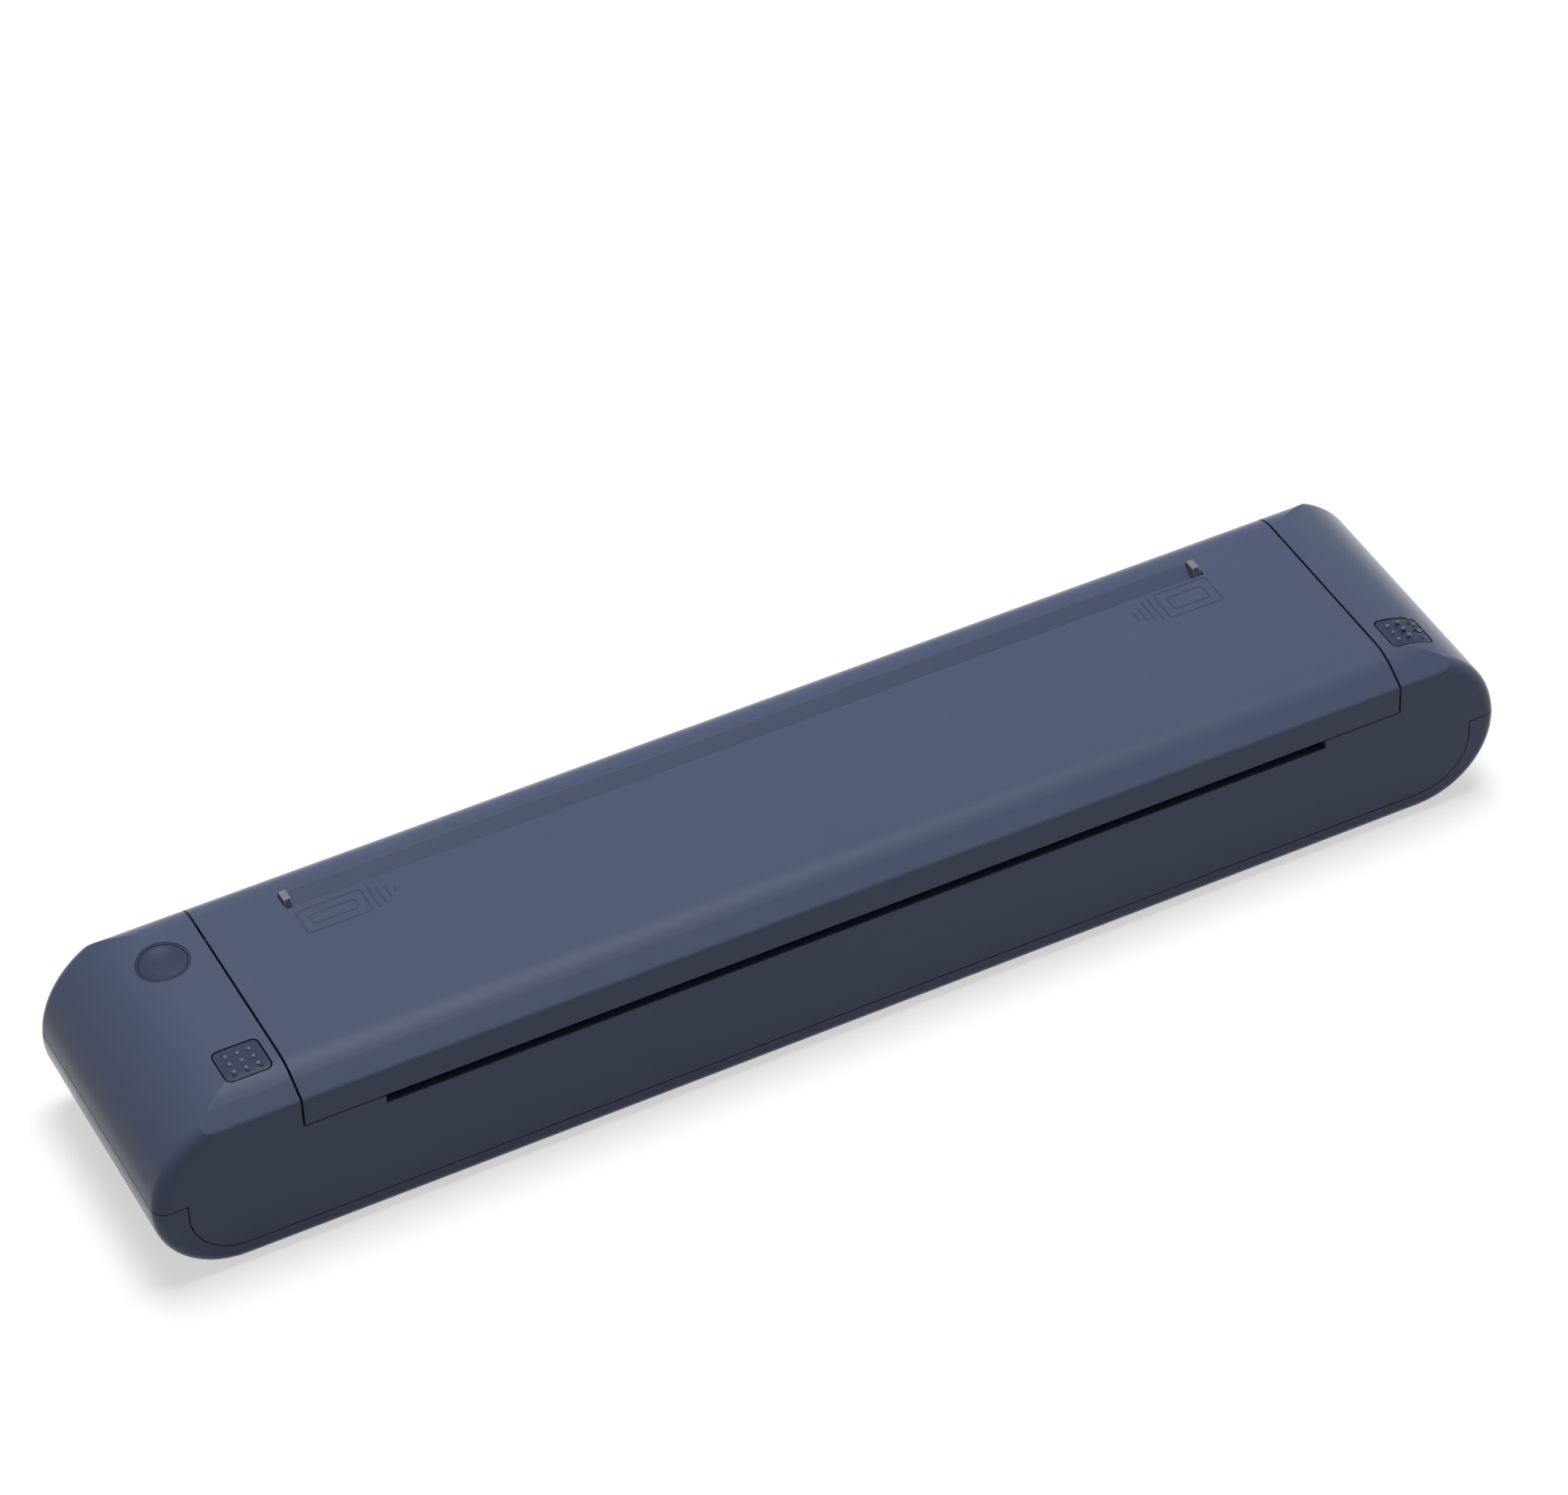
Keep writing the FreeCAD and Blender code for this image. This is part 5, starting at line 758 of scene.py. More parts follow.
class Layers:
    """One material being built: its graph, its shader's inputs and its finish."""

    def __init__(self, finish: "Finish", effects: Effects) -> None:
        """Starts the material with the values that are the same all over it.

        Args:
            finish: The finish it shows.
            effects: The shared node groups.
        """
        self.finish = finish
        self.effects = effects
        self.material = bpy.data.materials.new(finish.name)
        self.material.use_nodes = True
        self.material.diffuse_color = full(finish.colour)
        self.graph = Graph(self.material.node_tree)
        self.inputs = self.material.node_tree.nodes["Principled BSDF"].inputs
        self.feed("Specular IOR Level", finish.gloss)

    def feed(self, label: str, value: object) -> None:
        """Gives an input of the shader a socket or a plain value."""
        self.graph.join(value, self.inputs[label])

    def effect(self, tree: bpy.types.NodeTree, **values: float) -> Sockets:
        """Places an effect group with this material's own values, and gives its outputs.

        Args:
            tree: The group.
            **values: Its inputs, with _ for a space.

        Returns:
            The group's outputs.
        """
        node = self.graph.add("ShaderNodeGroup", node_tree=tree)
        for label, value in values.items():
            node.inputs[label.replace("_", " ")].default_value = value
        return node.outputs

    def drift(self) -> Socket:
        """Slow drifts of tone over the piece."""
        return self.effect(self.effects.mottle, Scale=self.finish.mottle_scale)["Tone"]

    def worn(self, amount: float) -> Socket:
        """The mask of worn edges."""
        radius = self.finish.edge_mm * 2 * MM
        return self.effect(self.effects.worn_edges, Radius=radius, Amount=amount)["Mask"]

    def lines(self, run: Run, scale: float) -> Sockets:
        """The lines that working leaves."""
        x, y, z = run.value
        return self.effect(self.effects.drawn_lines, Along_X=x, Along_Y=y, Along_Z=z, Scale=scale)

    def over(self, mask: object, under: object, colour: Colour) -> Socket:
        """A plain colour laid over another by a mask."""
        return self.graph.blend(mask, under, full(colour))

    def base(self, share: Socket) -> Socket:
        """The finish's two tones mixed by a share."""
        return self.over(share, full(self.finish.colour), self.finish.tone)

    def rough(self, share: Socket) -> Socket:
        """Roughness that a share carries up and down as far as the finish's spread."""
        middle, spread = self.finish.roughness, self.finish.spread
        return self.graph.span(share, 0.0, 1.0, middle - spread, middle + spread)

    def emboss(self, height: Socket, depth_mm: float) -> None:
        """Feeds a height through Bump, over the softened edges, into the shader's normal.

        Args:
            height: The height's socket.
            depth_mm: How deep a height of 1 is.
        """
        bump = self.graph.add("ShaderNodeBump")
        bump.inputs["Distance"].default_value = depth_mm * MM
        self.graph.join(height, bump.inputs["Height"])
        edges = self.effect(self.effects.soft_edges, Radius=self.finish.edge_mm * MM)
        self.graph.join(edges["Normal"], bump.inputs["Normal"])
        self.feed("Normal", bump.outputs["Normal"])


@dataclass(frozen=True)
class Finish:
    """What every finish has: its name, two tones, roughness and the round of its edges."""

    name: str
    colour: Colour
    tone: Colour
    roughness: float = 0.5
    spread: float = 0.06
    gloss: float = 0.5
    edge_mm: float = 0.15
    mottle_scale: float = 20.0

    def build(self, effects: Effects) -> bpy.types.Material:
        """Builds the finish's material.

        Args:
            effects: The shared node groups.

        Returns:
            The material.
        """
        layers = Layers(self, effects)
        self.paint(layers)
        return layers.material

    def paint(self, layers: Layers) -> None:
        """Gives the material its colour, roughness and bump."""
        raise NotImplementedError


@dataclass(frozen=True)
class MouldedPlastic(Finish):
    """A moulded plastic with a fine pebbled texture, light wear on its edges and a little dust."""

    grain_mm: float = 0.22
    depth_mm: float = 0.004
    wear: float = 0.25
    worn_tone: Colour = (0.2, 0.22, 0.27)
    dust: float = 0.05
    dust_tone: Colour = (0.4, 0.4, 0.4)
    polish: float = 0.2
    glancing: float = 0.0
    glancing_from: float = 0.58
    glancing_to: float = 0.86
    glancing_roughness: float = 0.16
    glancing_ior: float = 2.1

    def paint(self, layers: Layers) -> None:
        """Tones drift, edges pale and shine, dust lies on top, and the grain stands in the bump.

        Args:
            layers: The material being built.
        """
        graph = layers.graph
        grain = layers.effect(layers.effects.moulded, Grain=1.0 / (self.grain_mm * MM))
        worn = layers.worn(self.wear)
        dust = layers.effect(layers.effects.settled_dust, Amount=self.dust)["Mask"]
        paled = layers.over(worn, layers.base(layers.drift()), self.worn_tone)
        layers.feed("Base Color", layers.over(dust, paled, self.dust_tone))
        shine = graph.product(worn, self.polish)
        layers.feed("Roughness", graph.number("SUBTRACT", layers.rough(grain["Tone"]), shine, clamp=True))
        if self.glancing:
            facing = graph.add("ShaderNodeLayerWeight").outputs["Facing"]
            weight = graph.span(facing, self.glancing_from, self.glancing_to, 0.0, self.glancing)
            layers.feed("Coat Weight", weight)
            layers.feed("Coat Roughness", self.glancing_roughness)
            layers.feed("Coat IOR", self.glancing_ior)
        layers.emboss(grain["Height"], self.depth_mm)


@dataclass(frozen=True)
class WorkedMetal(Finish):
    """A metal with the lines that its working leaves, stains, and bright edges."""

    run: Run = Run.X
    line_scale: float = 2500.0
    depth_mm: float = 0.003
    wear: float = 0.4
    worn_tone: Colour = (0.75, 0.75, 0.75)

    def paint(self, layers: Layers) -> None:
        """Lines drive tone, roughness and bump, and worn edges are brighter.

        Args:
            layers: The material being built.
        """
        graph = layers.graph
        layers.feed("Metallic", 1.0)
        lines = layers.lines(self.run, self.line_scale)
        share = graph.product(graph.number("ADD", lines["Tone"], layers.drift()), 0.5)
        layers.feed("Base Color", layers.over(layers.worn(self.wear), layers.base(share), self.worn_tone))
        layers.feed("Roughness", layers.rough(share))
        layers.emboss(lines["Height"], self.depth_mm)


@dataclass(frozen=True)
class BoardLaminate(Finish):
    """A circuit board: green solder mask over glass cloth, with copper tracks that show through."""

    track_tone: Colour = (0.03, 0.2, 0.075)
    pitch_mm: float = 1.2
    cloth_grain: float = 2600.0
    cloth_share: float = 0.2
    depth_mm: float = 0.03

    def paint(self, layers: Layers) -> None:
        """Tracks lighten the mask and stand a little proud of it.

        Args:
            layers: The material being built.
        """
        tracks = layers.effect(layers.effects.traces, Pitch=self.pitch_mm * MM)
        cloth = layers.effect(layers.effects.moulded, Grain=self.cloth_grain)["Tone"]
        shows = layers.graph.product(cloth, self.cloth_share)
        woven = layers.over(shows, layers.base(layers.drift()), self.track_tone)
        layers.feed("Base Color", layers.over(tracks["Mask"], woven, self.track_tone))
        layers.feed("Roughness", layers.rough(cloth))
        layers.emboss(tracks["Height"], self.depth_mm)


@dataclass(frozen=True)
class StripedFilm(Finish):
    """A film or strip with parallel conductors, side by side along X, that show through it."""

    stripe_tone: Colour = (0.6, 0.35, 0.12)
    pitch_mm: float = 1.0
    share: float = 0.5
    depth_mm: float = 0.02

    def paint(self, layers: Layers) -> None:
        """The stripes change its colour and stand in the bump.

        Args:
            layers: The material being built.
        """
        rows = layers.effect(layers.effects.stripes, Pitch=self.pitch_mm * MM, Share=self.share)["Mask"]
        drift = layers.drift()
        layers.feed("Base Color", layers.over(rows, layers.base(drift), self.stripe_tone))
        layers.feed("Roughness", layers.rough(drift))
        layers.emboss(rows, self.depth_mm)


@dataclass(frozen=True)
class GroundRubber(Finish):
    """Rubber that was ground or moulded: matt, with fine rings and a bloom of dust."""

    run: Run = Run.EVEN
    ring_scale: float = 4000.0
    bloom: float = 0.3
    bloom_tone: Colour = (0.09, 0.09, 0.09)
    depth_mm: float = 0.01

    def paint(self, layers: Layers) -> None:
        """Rings from grinding stand in the bump, and a pale bloom lies in patches.

        Args:
            layers: The material being built.
        """
        rings = layers.lines(self.run, self.ring_scale)
        drift = layers.drift()
        bloom = layers.graph.product(drift, self.bloom)
        layers.feed("Base Color", layers.over(bloom, layers.base(rings["Tone"]), self.bloom_tone))
        layers.feed("Roughness", layers.rough(drift))
        layers.emboss(rings["Height"], self.depth_mm)


FINISHES: tuple[Finish, ...] = (
    MouldedPlastic(
        "casing_blue", (0.086, 0.109, 0.185), (0.09, 0.114, 0.192), 0.34, 0.04, 0.1, 0.25,
        glancing=0.36, worn_tone=(0.13, 0.155, 0.235), wear=0.3, dust=0.03, dust_tone=(0.2, 0.22, 0.27),
    ),
    MouldedPlastic(
        "button_blue", (0.024, 0.037, 0.084), (0.028, 0.041, 0.09), 0.42, 0.04, 0.2, 0.2,
        worn_tone=(0.1, 0.118, 0.18), wear=0.5, dust=0.03, dust_tone=(0.2, 0.22, 0.27), grain_mm=0.16,
    ),
    # Darker blue for the engraved marks and the guides' front strips: painted shade, standing in for the shade in the
    # grooves and on the guides' sloping fronts.
    MouldedPlastic(
        "painted_shade_blue", (0.052, 0.067, 0.12), (0.058, 0.074, 0.13), 0.5, 0.05, 0.15, 0.05,
        wear=0.0, dust=0.05,
    ),
    # Lighter blue for the release buttons' grip dots: a painted highlight, as light falls on their domes.
    MouldedPlastic("dot_highlight_blue", (0.11, 0.13, 0.2), (0.12, 0.14, 0.21), 0.4, 0.04, 0.3, 0.05, wear=0.0, dust=0.0),
    MouldedPlastic(
        "guide_grey", (0.2, 0.21, 0.245), (0.21, 0.22, 0.255), 0.42, 0.05, 0.3, 0.12,
        grain_mm=0.15, wear=0.35,
    ),
    MouldedPlastic(
        "black_plastic", (0.016, 0.016, 0.018), (0.021, 0.021, 0.023), 0.48, 0.07, 0.4,
        wear=0.15, worn_tone=(0.07, 0.07, 0.07),
    ),
    MouldedPlastic(
        "gear_plastic", (0.72, 0.69, 0.62), (0.66, 0.63, 0.55), 0.4, 0.06, 0.5, 0.08,
        grain_mm=0.5, depth_mm=0.002, worn_tone=(0.8, 0.78, 0.72), dust_tone=(0.5, 0.47, 0.4), dust=0.12,
    ),
    MouldedPlastic(
        "chip_black", (0.017, 0.017, 0.019), (0.024, 0.024, 0.026), 0.55, 0.06, 0.4, 0.08,
        grain_mm=0.1, dust=0.15,
    ),
    MouldedPlastic(
        "plug_cream", (0.6, 0.56, 0.44), (0.55, 0.51, 0.39), 0.4, 0.05, 0.5, 0.1,
        grain_mm=0.2, depth_mm=0.002, dust=0.1,
    ),
    MouldedPlastic(
        "capacitor_tan", (0.32, 0.2, 0.1), (0.27, 0.17, 0.09), 0.45, 0.05, 0.5, 0.05,
        grain_mm=0.1, wear=0.1,
    ),
    MouldedPlastic(
        "white_print", (0.62, 0.62, 0.6), (0.55, 0.55, 0.52), 0.6, 0.05, 0.3, 0.02,
        grain_mm=0.1, wear=0.0,
    ),
    MouldedPlastic(
        "ceramic_white", (0.72, 0.71, 0.67), (0.66, 0.65, 0.61), 0.22, 0.06, 0.5, 0.1,
        grain_mm=0.3, depth_mm=0.001, wear=0.0, dust=0.1,
    ),
    MouldedPlastic(
        "heater_glaze", (0.2, 0.12, 0.09), (0.16, 0.1, 0.08), 0.12, 0.03, 0.6, 0.05,
        grain_mm=0.4, depth_mm=0.0005, wear=0.0, dust=0.02,
    ),
    MouldedPlastic(
        "cell_wrap", (0.03, 0.1, 0.28), (0.036, 0.115, 0.31), 0.28, 0.06, 0.5, 0.2,
        grain_mm=2.5, depth_mm=0.02, dust=0.06,
    ),
    MouldedPlastic(
        "cell_paper", (0.68, 0.66, 0.6), (0.6, 0.58, 0.52), 0.8, 0.05, 0.3, 0.05,
        grain_mm=0.3, wear=0.0,
    ),
    MouldedPlastic(
        "lead_black", (0.02, 0.02, 0.02), (0.026, 0.026, 0.026), 0.38, 0.06, 0.5, 0.05,
        grain_mm=1.0, depth_mm=0.004,
    ),
    MouldedPlastic(
        "lead_red", (0.42, 0.02, 0.018), (0.36, 0.018, 0.016), 0.36, 0.06, 0.5, 0.05,
        grain_mm=1.0, depth_mm=0.004,
    ),
    MouldedPlastic(
        "label_grey", (0.24, 0.25, 0.27), (0.26, 0.27, 0.29), 0.35, 0.05, 0.4, 0.05,
        grain_mm=0.25, depth_mm=0.001, dust=0.0,
    ),
    MouldedPlastic("label_line", (0.09, 0.1, 0.12), (0.08, 0.09, 0.11), 0.45, 0.05, 0.4, 0.02, wear=0.0, dust=0.0),
    GroundRubber("rubber_black", (0.018, 0.018, 0.018), (0.024, 0.024, 0.024), 0.8, 0.08, 0.3, 0.15),
    GroundRubber(
        "roller_rubber", (0.022, 0.022, 0.024), (0.032, 0.032, 0.034), 0.66, 0.08, 0.35, 0.1,
        run=Run.Y, bloom=0.15,
    ),
    WorkedMetal("bright_steel", (0.55, 0.55, 0.56), (0.66, 0.66, 0.66), 0.2, 0.06, 0.5, 0.08, run=Run.Y),
    WorkedMetal(
        "screw_steel", (0.3, 0.3, 0.31), (0.42, 0.42, 0.42), 0.3, 0.08, 0.5, 0.08,
        run=Run.EVEN, line_scale=1800.0,
    ),
    WorkedMetal(
        "sheet_steel", (0.5, 0.51, 0.53), (0.58, 0.59, 0.6), 0.34, 0.08, 0.5, 0.12, 60.0,
        run=Run.X, line_scale=1600.0,
    ),
    WorkedMetal(
        "spring_steel", (0.46, 0.46, 0.47), (0.55, 0.55, 0.55), 0.25, 0.06, 0.5, 0.03,
        run=Run.EVEN, line_scale=3000.0,
    ),
    WorkedMetal(
        "heat_sink_aluminium", (0.6, 0.61, 0.63), (0.68, 0.69, 0.7), 0.32, 0.07, 0.5, 0.12,
        run=Run.X, line_scale=2200.0,
    ),
    WorkedMetal("socket_steel", (0.56, 0.56, 0.57), (0.64, 0.64, 0.64), 0.24, 0.06, 0.5, 0.08, run=Run.X),
    WorkedMetal(
        "gold_contact", (0.75, 0.52, 0.2), (0.82, 0.6, 0.26), 0.22, 0.05, 0.5, 0.02,
        run=Run.X, wear=0.1, worn_tone=(0.9, 0.72, 0.4),
    ),
    WorkedMetal(
        "tinned_end", (0.6, 0.6, 0.6), (0.7, 0.7, 0.69), 0.36, 0.1, 0.5, 0.04,
        run=Run.EVEN, line_scale=4000.0,
    ),
    WorkedMetal("nickel_strip", (0.5, 0.49, 0.46), (0.58, 0.57, 0.54), 0.3, 0.07, 0.5, 0.05, run=Run.X),
    BoardLaminate("board_green", (0.012, 0.085, 0.035), (0.014, 0.1, 0.04), 0.32, 0.06, 0.5, 0.05),
    StripedFilm(
        "ribbon_orange", (0.42, 0.17, 0.035), (0.48, 0.2, 0.045), 0.3, 0.05, 0.5, 0.05,
        stripe_tone=(0.6, 0.3, 0.1), pitch_mm=1.0, share=0.55,
    ),
    StripedFilm(
        "electrode_comb", (0.7, 0.69, 0.65), (0.66, 0.65, 0.61), 0.25, 0.04, 0.5, 0.02,
        stripe_tone=(0.72, 0.5, 0.2), pitch_mm=0.25, share=0.5,
    ),
)


class Paintbox:
    """Every finish as a material, by name."""

    def __init__(self) -> None:
        """Builds the effects and then each material."""
        effects = Effects()
        self.materials = {finish.name: finish.build(effects) for finish in FINISHES}

    def __getitem__(self, name: str) -> bpy.types.Material:
        """A material by its name."""
        return self.materials[name]

    def dress(self, finish: str, nodes: tuple[str, ...]) -> None:
        """Puts one finish on CAD nodes.

        Args:
            finish: The finish's name.
            nodes: The nodes' names.
        """
        for name in nodes:
            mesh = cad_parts[name].data
            mesh.materials.clear()
            mesh.materials.append(self[finish])
            mesh.polygons.foreach_set("material_index", np.zeros(len(mesh.polygons), np.int32))
            LOG.info("%s wears %s", name, finish)


# Sub-assemblies


@dataclass
class Looks:
    """What the sub-assemblies share: finishes for their nodes, and pieces made of surfaces."""

    paints: Paintbox

    WORN: Worn = {}

    def build(self) -> None:
        """Dresses the CAD nodes, then adds the small forms."""
        for finish, nodes in self.WORN.items():
            self.paints.dress(finish, nodes)
        self.build_forms()

    def build_forms(self) -> None:
        """Adds the small forms, one piece after another."""
        raise NotImplementedError

    def put(self, shape: Surface, name: str, finish: str, body: str = "chassis", slot: str = "") -> None:
        """Makes a surface a piece.

        Args:
            shape: The surface.
            name: The piece's name.
            finish: The finish it wears.
            body: The body it rides on.
            slot: A slot name handed on to the piece, where it has another name than the finish.
        """
        shape.piece(name, self.paints[finish], body, slot or finish)


@dataclass
class CasingLooks(Looks):
    """The two halves of the casing, the top cover, the feet and the plate under the printer."""

    WORN: Worn = {
        "casing_blue": ("bottom_shell", "upper_housing", "top_cover"),
        "rubber_black": ("rubber_feet",),
        "screw_steel": ("case_screws", "cover_screws"),
        "label_grey": ("rating_label",),
        "bright_steel": ("hinge_pins",),
    }

    # Each mark is given by its left, right, front and back.
    right_mark: Sides = (97.0, 109.7, 7.5, 15.6)
    left_mark: Sides = (-102.8, -88.5, 7.8, 14.7)
    mark_width: float = 0.5
    mark_rise: float = 0.03
    mark_corner: float = 0.6
    mark_inset: float = 2.1
    tick_gap: float = 1.6
    tick_trim: float = 0.9
    tick_count: int = 4
    rib_drop: float = 2.25
    rib_thickness: float = 1.1
    rib_height: float = 0.9
    rib_spacing: float = 24.0
    cross_rib_y: float = -1.0
    cross_rib_depth: float = 21.0
    long_rib_y: Pair = (-9.0, 7.0)
    rib_start: float = 6.0
    rib_margin: float = 4.0
    deck_y: float = 13.8
    deck_z: float = 26.18
    deck_right: float = 122.0
    ejector_left: float = -70.0
    ejector_spacing: float = 32.0
    ejector_radii: Pair = (1.2, 1.55)
    ejector_rise: float = 0.08
    deck_rib_left: float = -78.0
    deck_rib_spacing: float = 16.0
    deck_rib_size: Triple = (1.2, 6.4, 1.0)
    deck_rib_lift: float = 0.22
    border_inset: float = 2.0
    border_corner: float = 1.2
    border_half: float = 0.2

    def build_forms(self) -> None:
        """Adds the engraved marks, the ribs, the ejector marks and the label's border."""
        self.build_sheet_marks()
        self.build_cover_ribs()
        self.build_deck_ribs()
        self.build_ejector_marks()
        self.build_label_border()

    def build_sheet_marks(self) -> None:
        """Plain engraved outlines of a sheet in front of each end of the inlet, with ticks beside them, in a darker
        blue that is painted shade standing in for the shade inside the grooves.
        """
        top = Box.of("upper_housing").high[2]
        groove = groove_profile(self.mark_width, self.mark_rise)
        marks = Surface()
        for side, (left, right, front, back) in ((Side.RIGHT, self.right_mark), (Side.LEFT, self.left_mark)):
            for inset in (0.0, self.mark_inset):
                sides = (left + inset, right - inset, front + inset, back - inset)
                marks.sweep(rounded_rectangle(*sides, top, self.mark_corner), groove, closed=True)
            inner = left if side is Side.RIGHT else right
            for tick in range(self.tick_count):
                x = inner - side.value * self.tick_gap * (tick + 1)
                trim = self.tick_trim * tick
                marks.sweep(places(x, (front + trim, (front + back) / 2, back - trim), top), groove)
        # The marks' darker colour is painted shade inside the engraved grooves.
        self.put(marks, "sheet_marks", "painted_shade_blue", "cover", "casing_blue")

    def build_cover_ribs(self) -> None:
        """Stiffening ribs under the top cover's skin, between its bosses."""
        roller = Box.of("platen_rubber")
        z = Box.of("upper_housing").high[2] - self.rib_drop
        x = np.arange(roller.low[0] + self.rib_start, roller.high[0] - self.rib_margin, self.rib_spacing)
        cross = (self.rib_thickness, self.cross_rib_depth, self.rib_height)
        along = (roller.size[0] - 2 * self.rib_margin, self.rib_thickness, self.rib_height)
        ribs = Surface().blocks(places(x, self.cross_rib_y, z), cross, SHARP)
        ribs.blocks(places(roller.middle[0], self.long_rib_y, z), along, SHARP)
        self.put(ribs, "cover_ribs", "casing_blue", "cover")

    def build_deck_ribs(self) -> None:
        """Low ribs on the deck over the battery bay."""
        x = np.arange(self.deck_rib_left, self.deck_right, self.deck_rib_spacing)
        spots = places(x, self.deck_y, self.deck_z + self.deck_rib_lift)
        self.put(Surface().blocks(spots, self.deck_rib_size, 0.12), "deck_ribs", "casing_blue")

    def build_ejector_marks(self) -> None:
        """Shallow round marks of the mould's ejector pins on the deck."""
        deck = Surface()
        for x in np.arange(self.ejector_left, self.deck_right, self.ejector_spacing):
            deck.ring((x, self.deck_y, self.deck_z), UP, *self.ejector_radii, self.ejector_rise, 24)
        self.put(deck, "ejector_marks", "casing_blue")

    def build_label_border(self) -> None:
        """A thin printed border on the bare plate under the printer."""
        label, inset = Box.of("rating_label"), self.border_inset
        (left, front, low), (right, back, _) = label.low, label.high
        sides = (left + inset, right - inset, front + inset, back - inset)
        line = bar_profile(self.border_half, -0.015, 0.01)
        border = Surface().sweep(rounded_rectangle(*sides, low, self.border_corner), line, closed=True)
        self.put(border, "label_border", "label_line", slot="label_grey")


@dataclass
class ButtonLooks(Looks):
    """The power button with its switch, and the two cover release buttons with their hooks."""

    WORN: Worn = {
        "button_blue": ("power_button", "left_release_button", "right_release_button", "button_ring"),
        "chip_black": ("button_switch", "cover_switch"),
        "black_plastic": ("switch_plunger", "left_latch_hook", "right_latch_hook"),
        "bright_steel": ("latch_pins",),
        "spring_steel": ("left_release_spring", "right_release_spring"),
        "board_green": ("button_board",),
    }

    plate_hole: float = 1.9
    plate_inset: float = 0.3
    plate_rise: float = 0.12
    corner_inset: float = 0.75
    dimple_radii: Pair = (0.1, 0.45)
    dimple_rise: float = 0.2
    leg_spread: Pair = (1.32, 0.8)
    leg_size: Triple = (0.25, 0.7, 1.7)
    leg_lift: float = 0.7
    lever_left: float = 0.8
    lever_right: float = 0.6
    lever_drop: float = 1.65
    lever_bend: float = 0.35
    lever_half: float = 1.1
    lever_sheet: float = 0.15
    dot_radius: float = 0.5
    dot_rise: float = 0.22
    dot_skirt: float = 0.3
    dot_pitch: Pair = (2.6, 2.3)

    def build_forms(self) -> None:
        """Adds the switch's metal plate, the cover switch's lever and the grip dots, whose lighter colour is a
        painted highlight.
        """
        self.build_switch_plate()
        self.build_switch_lever()
        for side in ("left", "right"):
            self.build_pad_dots(side)

    def build_switch_plate(self) -> None:
        """The pressed metal plate on the switch, with a dimple at each corner and legs to the board."""
        switch = Box.of("button_switch")
        x, y, _ = switch.middle
        half = switch.size[0] / 2
        top = switch.high[2]
        plate = Surface().ring((x, y, top), UP, self.plate_hole, half - self.plate_inset, self.plate_rise, 32)
        corner = half - self.corner_inset
        for out_x, out_y in ((-corner, -corner), (-corner, corner), (corner, -corner), (corner, corner)):
            plate.ring((x + out_x, y + out_y, top), UP, *self.dimple_radii, self.dimple_rise, 16)
            leg = (x + out_x * self.leg_spread[0], y + out_y * self.leg_spread[1], switch.low[2] + self.leg_lift)
            plate.blocks(leg, self.leg_size)
        self.put(plate, "switch_plate", "tinned_end", slot="socket_steel")

    def build_switch_lever(self) -> None:
        """The spring lever on top of the cover switch, bent up at its free end: sine squared of its length."""
        switch = Box.of("cover_switch")
        x = np.linspace(switch.low[0] + self.lever_left, switch.high[0] - self.lever_right, 14)
        share = (x - x[0]) / (x[-1] - x[0])
        z = switch.high[2] - self.lever_drop + self.lever_bend * np.sin(share * np.pi / 2) ** 2
        lever = Surface().sweep(places(x, switch.middle[1], z), bar_profile(self.lever_half, 0.0, self.lever_sheet))
        self.put(lever, "switch_lever", "spring_steel")

    def build_pad_dots(self, side: str) -> None:
        """Nine low domes over the grip dots of a release button, in a lighter blue that is a painted highlight on
        their tops.

        Args:
            side: Which end's button, left or right.
        """
        button = Box.of(f"{side}_release_button")
        x, y, _ = button.middle
        dome = dome_profile(self.dot_radius, self.dot_rise, self.dot_skirt)
        dots = Surface()
        for column in (-1, 0, 1):
            for row in (-1, 0, 1):
                place = (x + column * self.dot_pitch[0], y + row * self.dot_pitch[1], button.high[2] - self.dot_rise)
                dots.lathe(dome, place, UP, 16)
        self.put(dots, f"{side}_release_dots", "dot_highlight_blue", f"{side}_release", "button_blue")


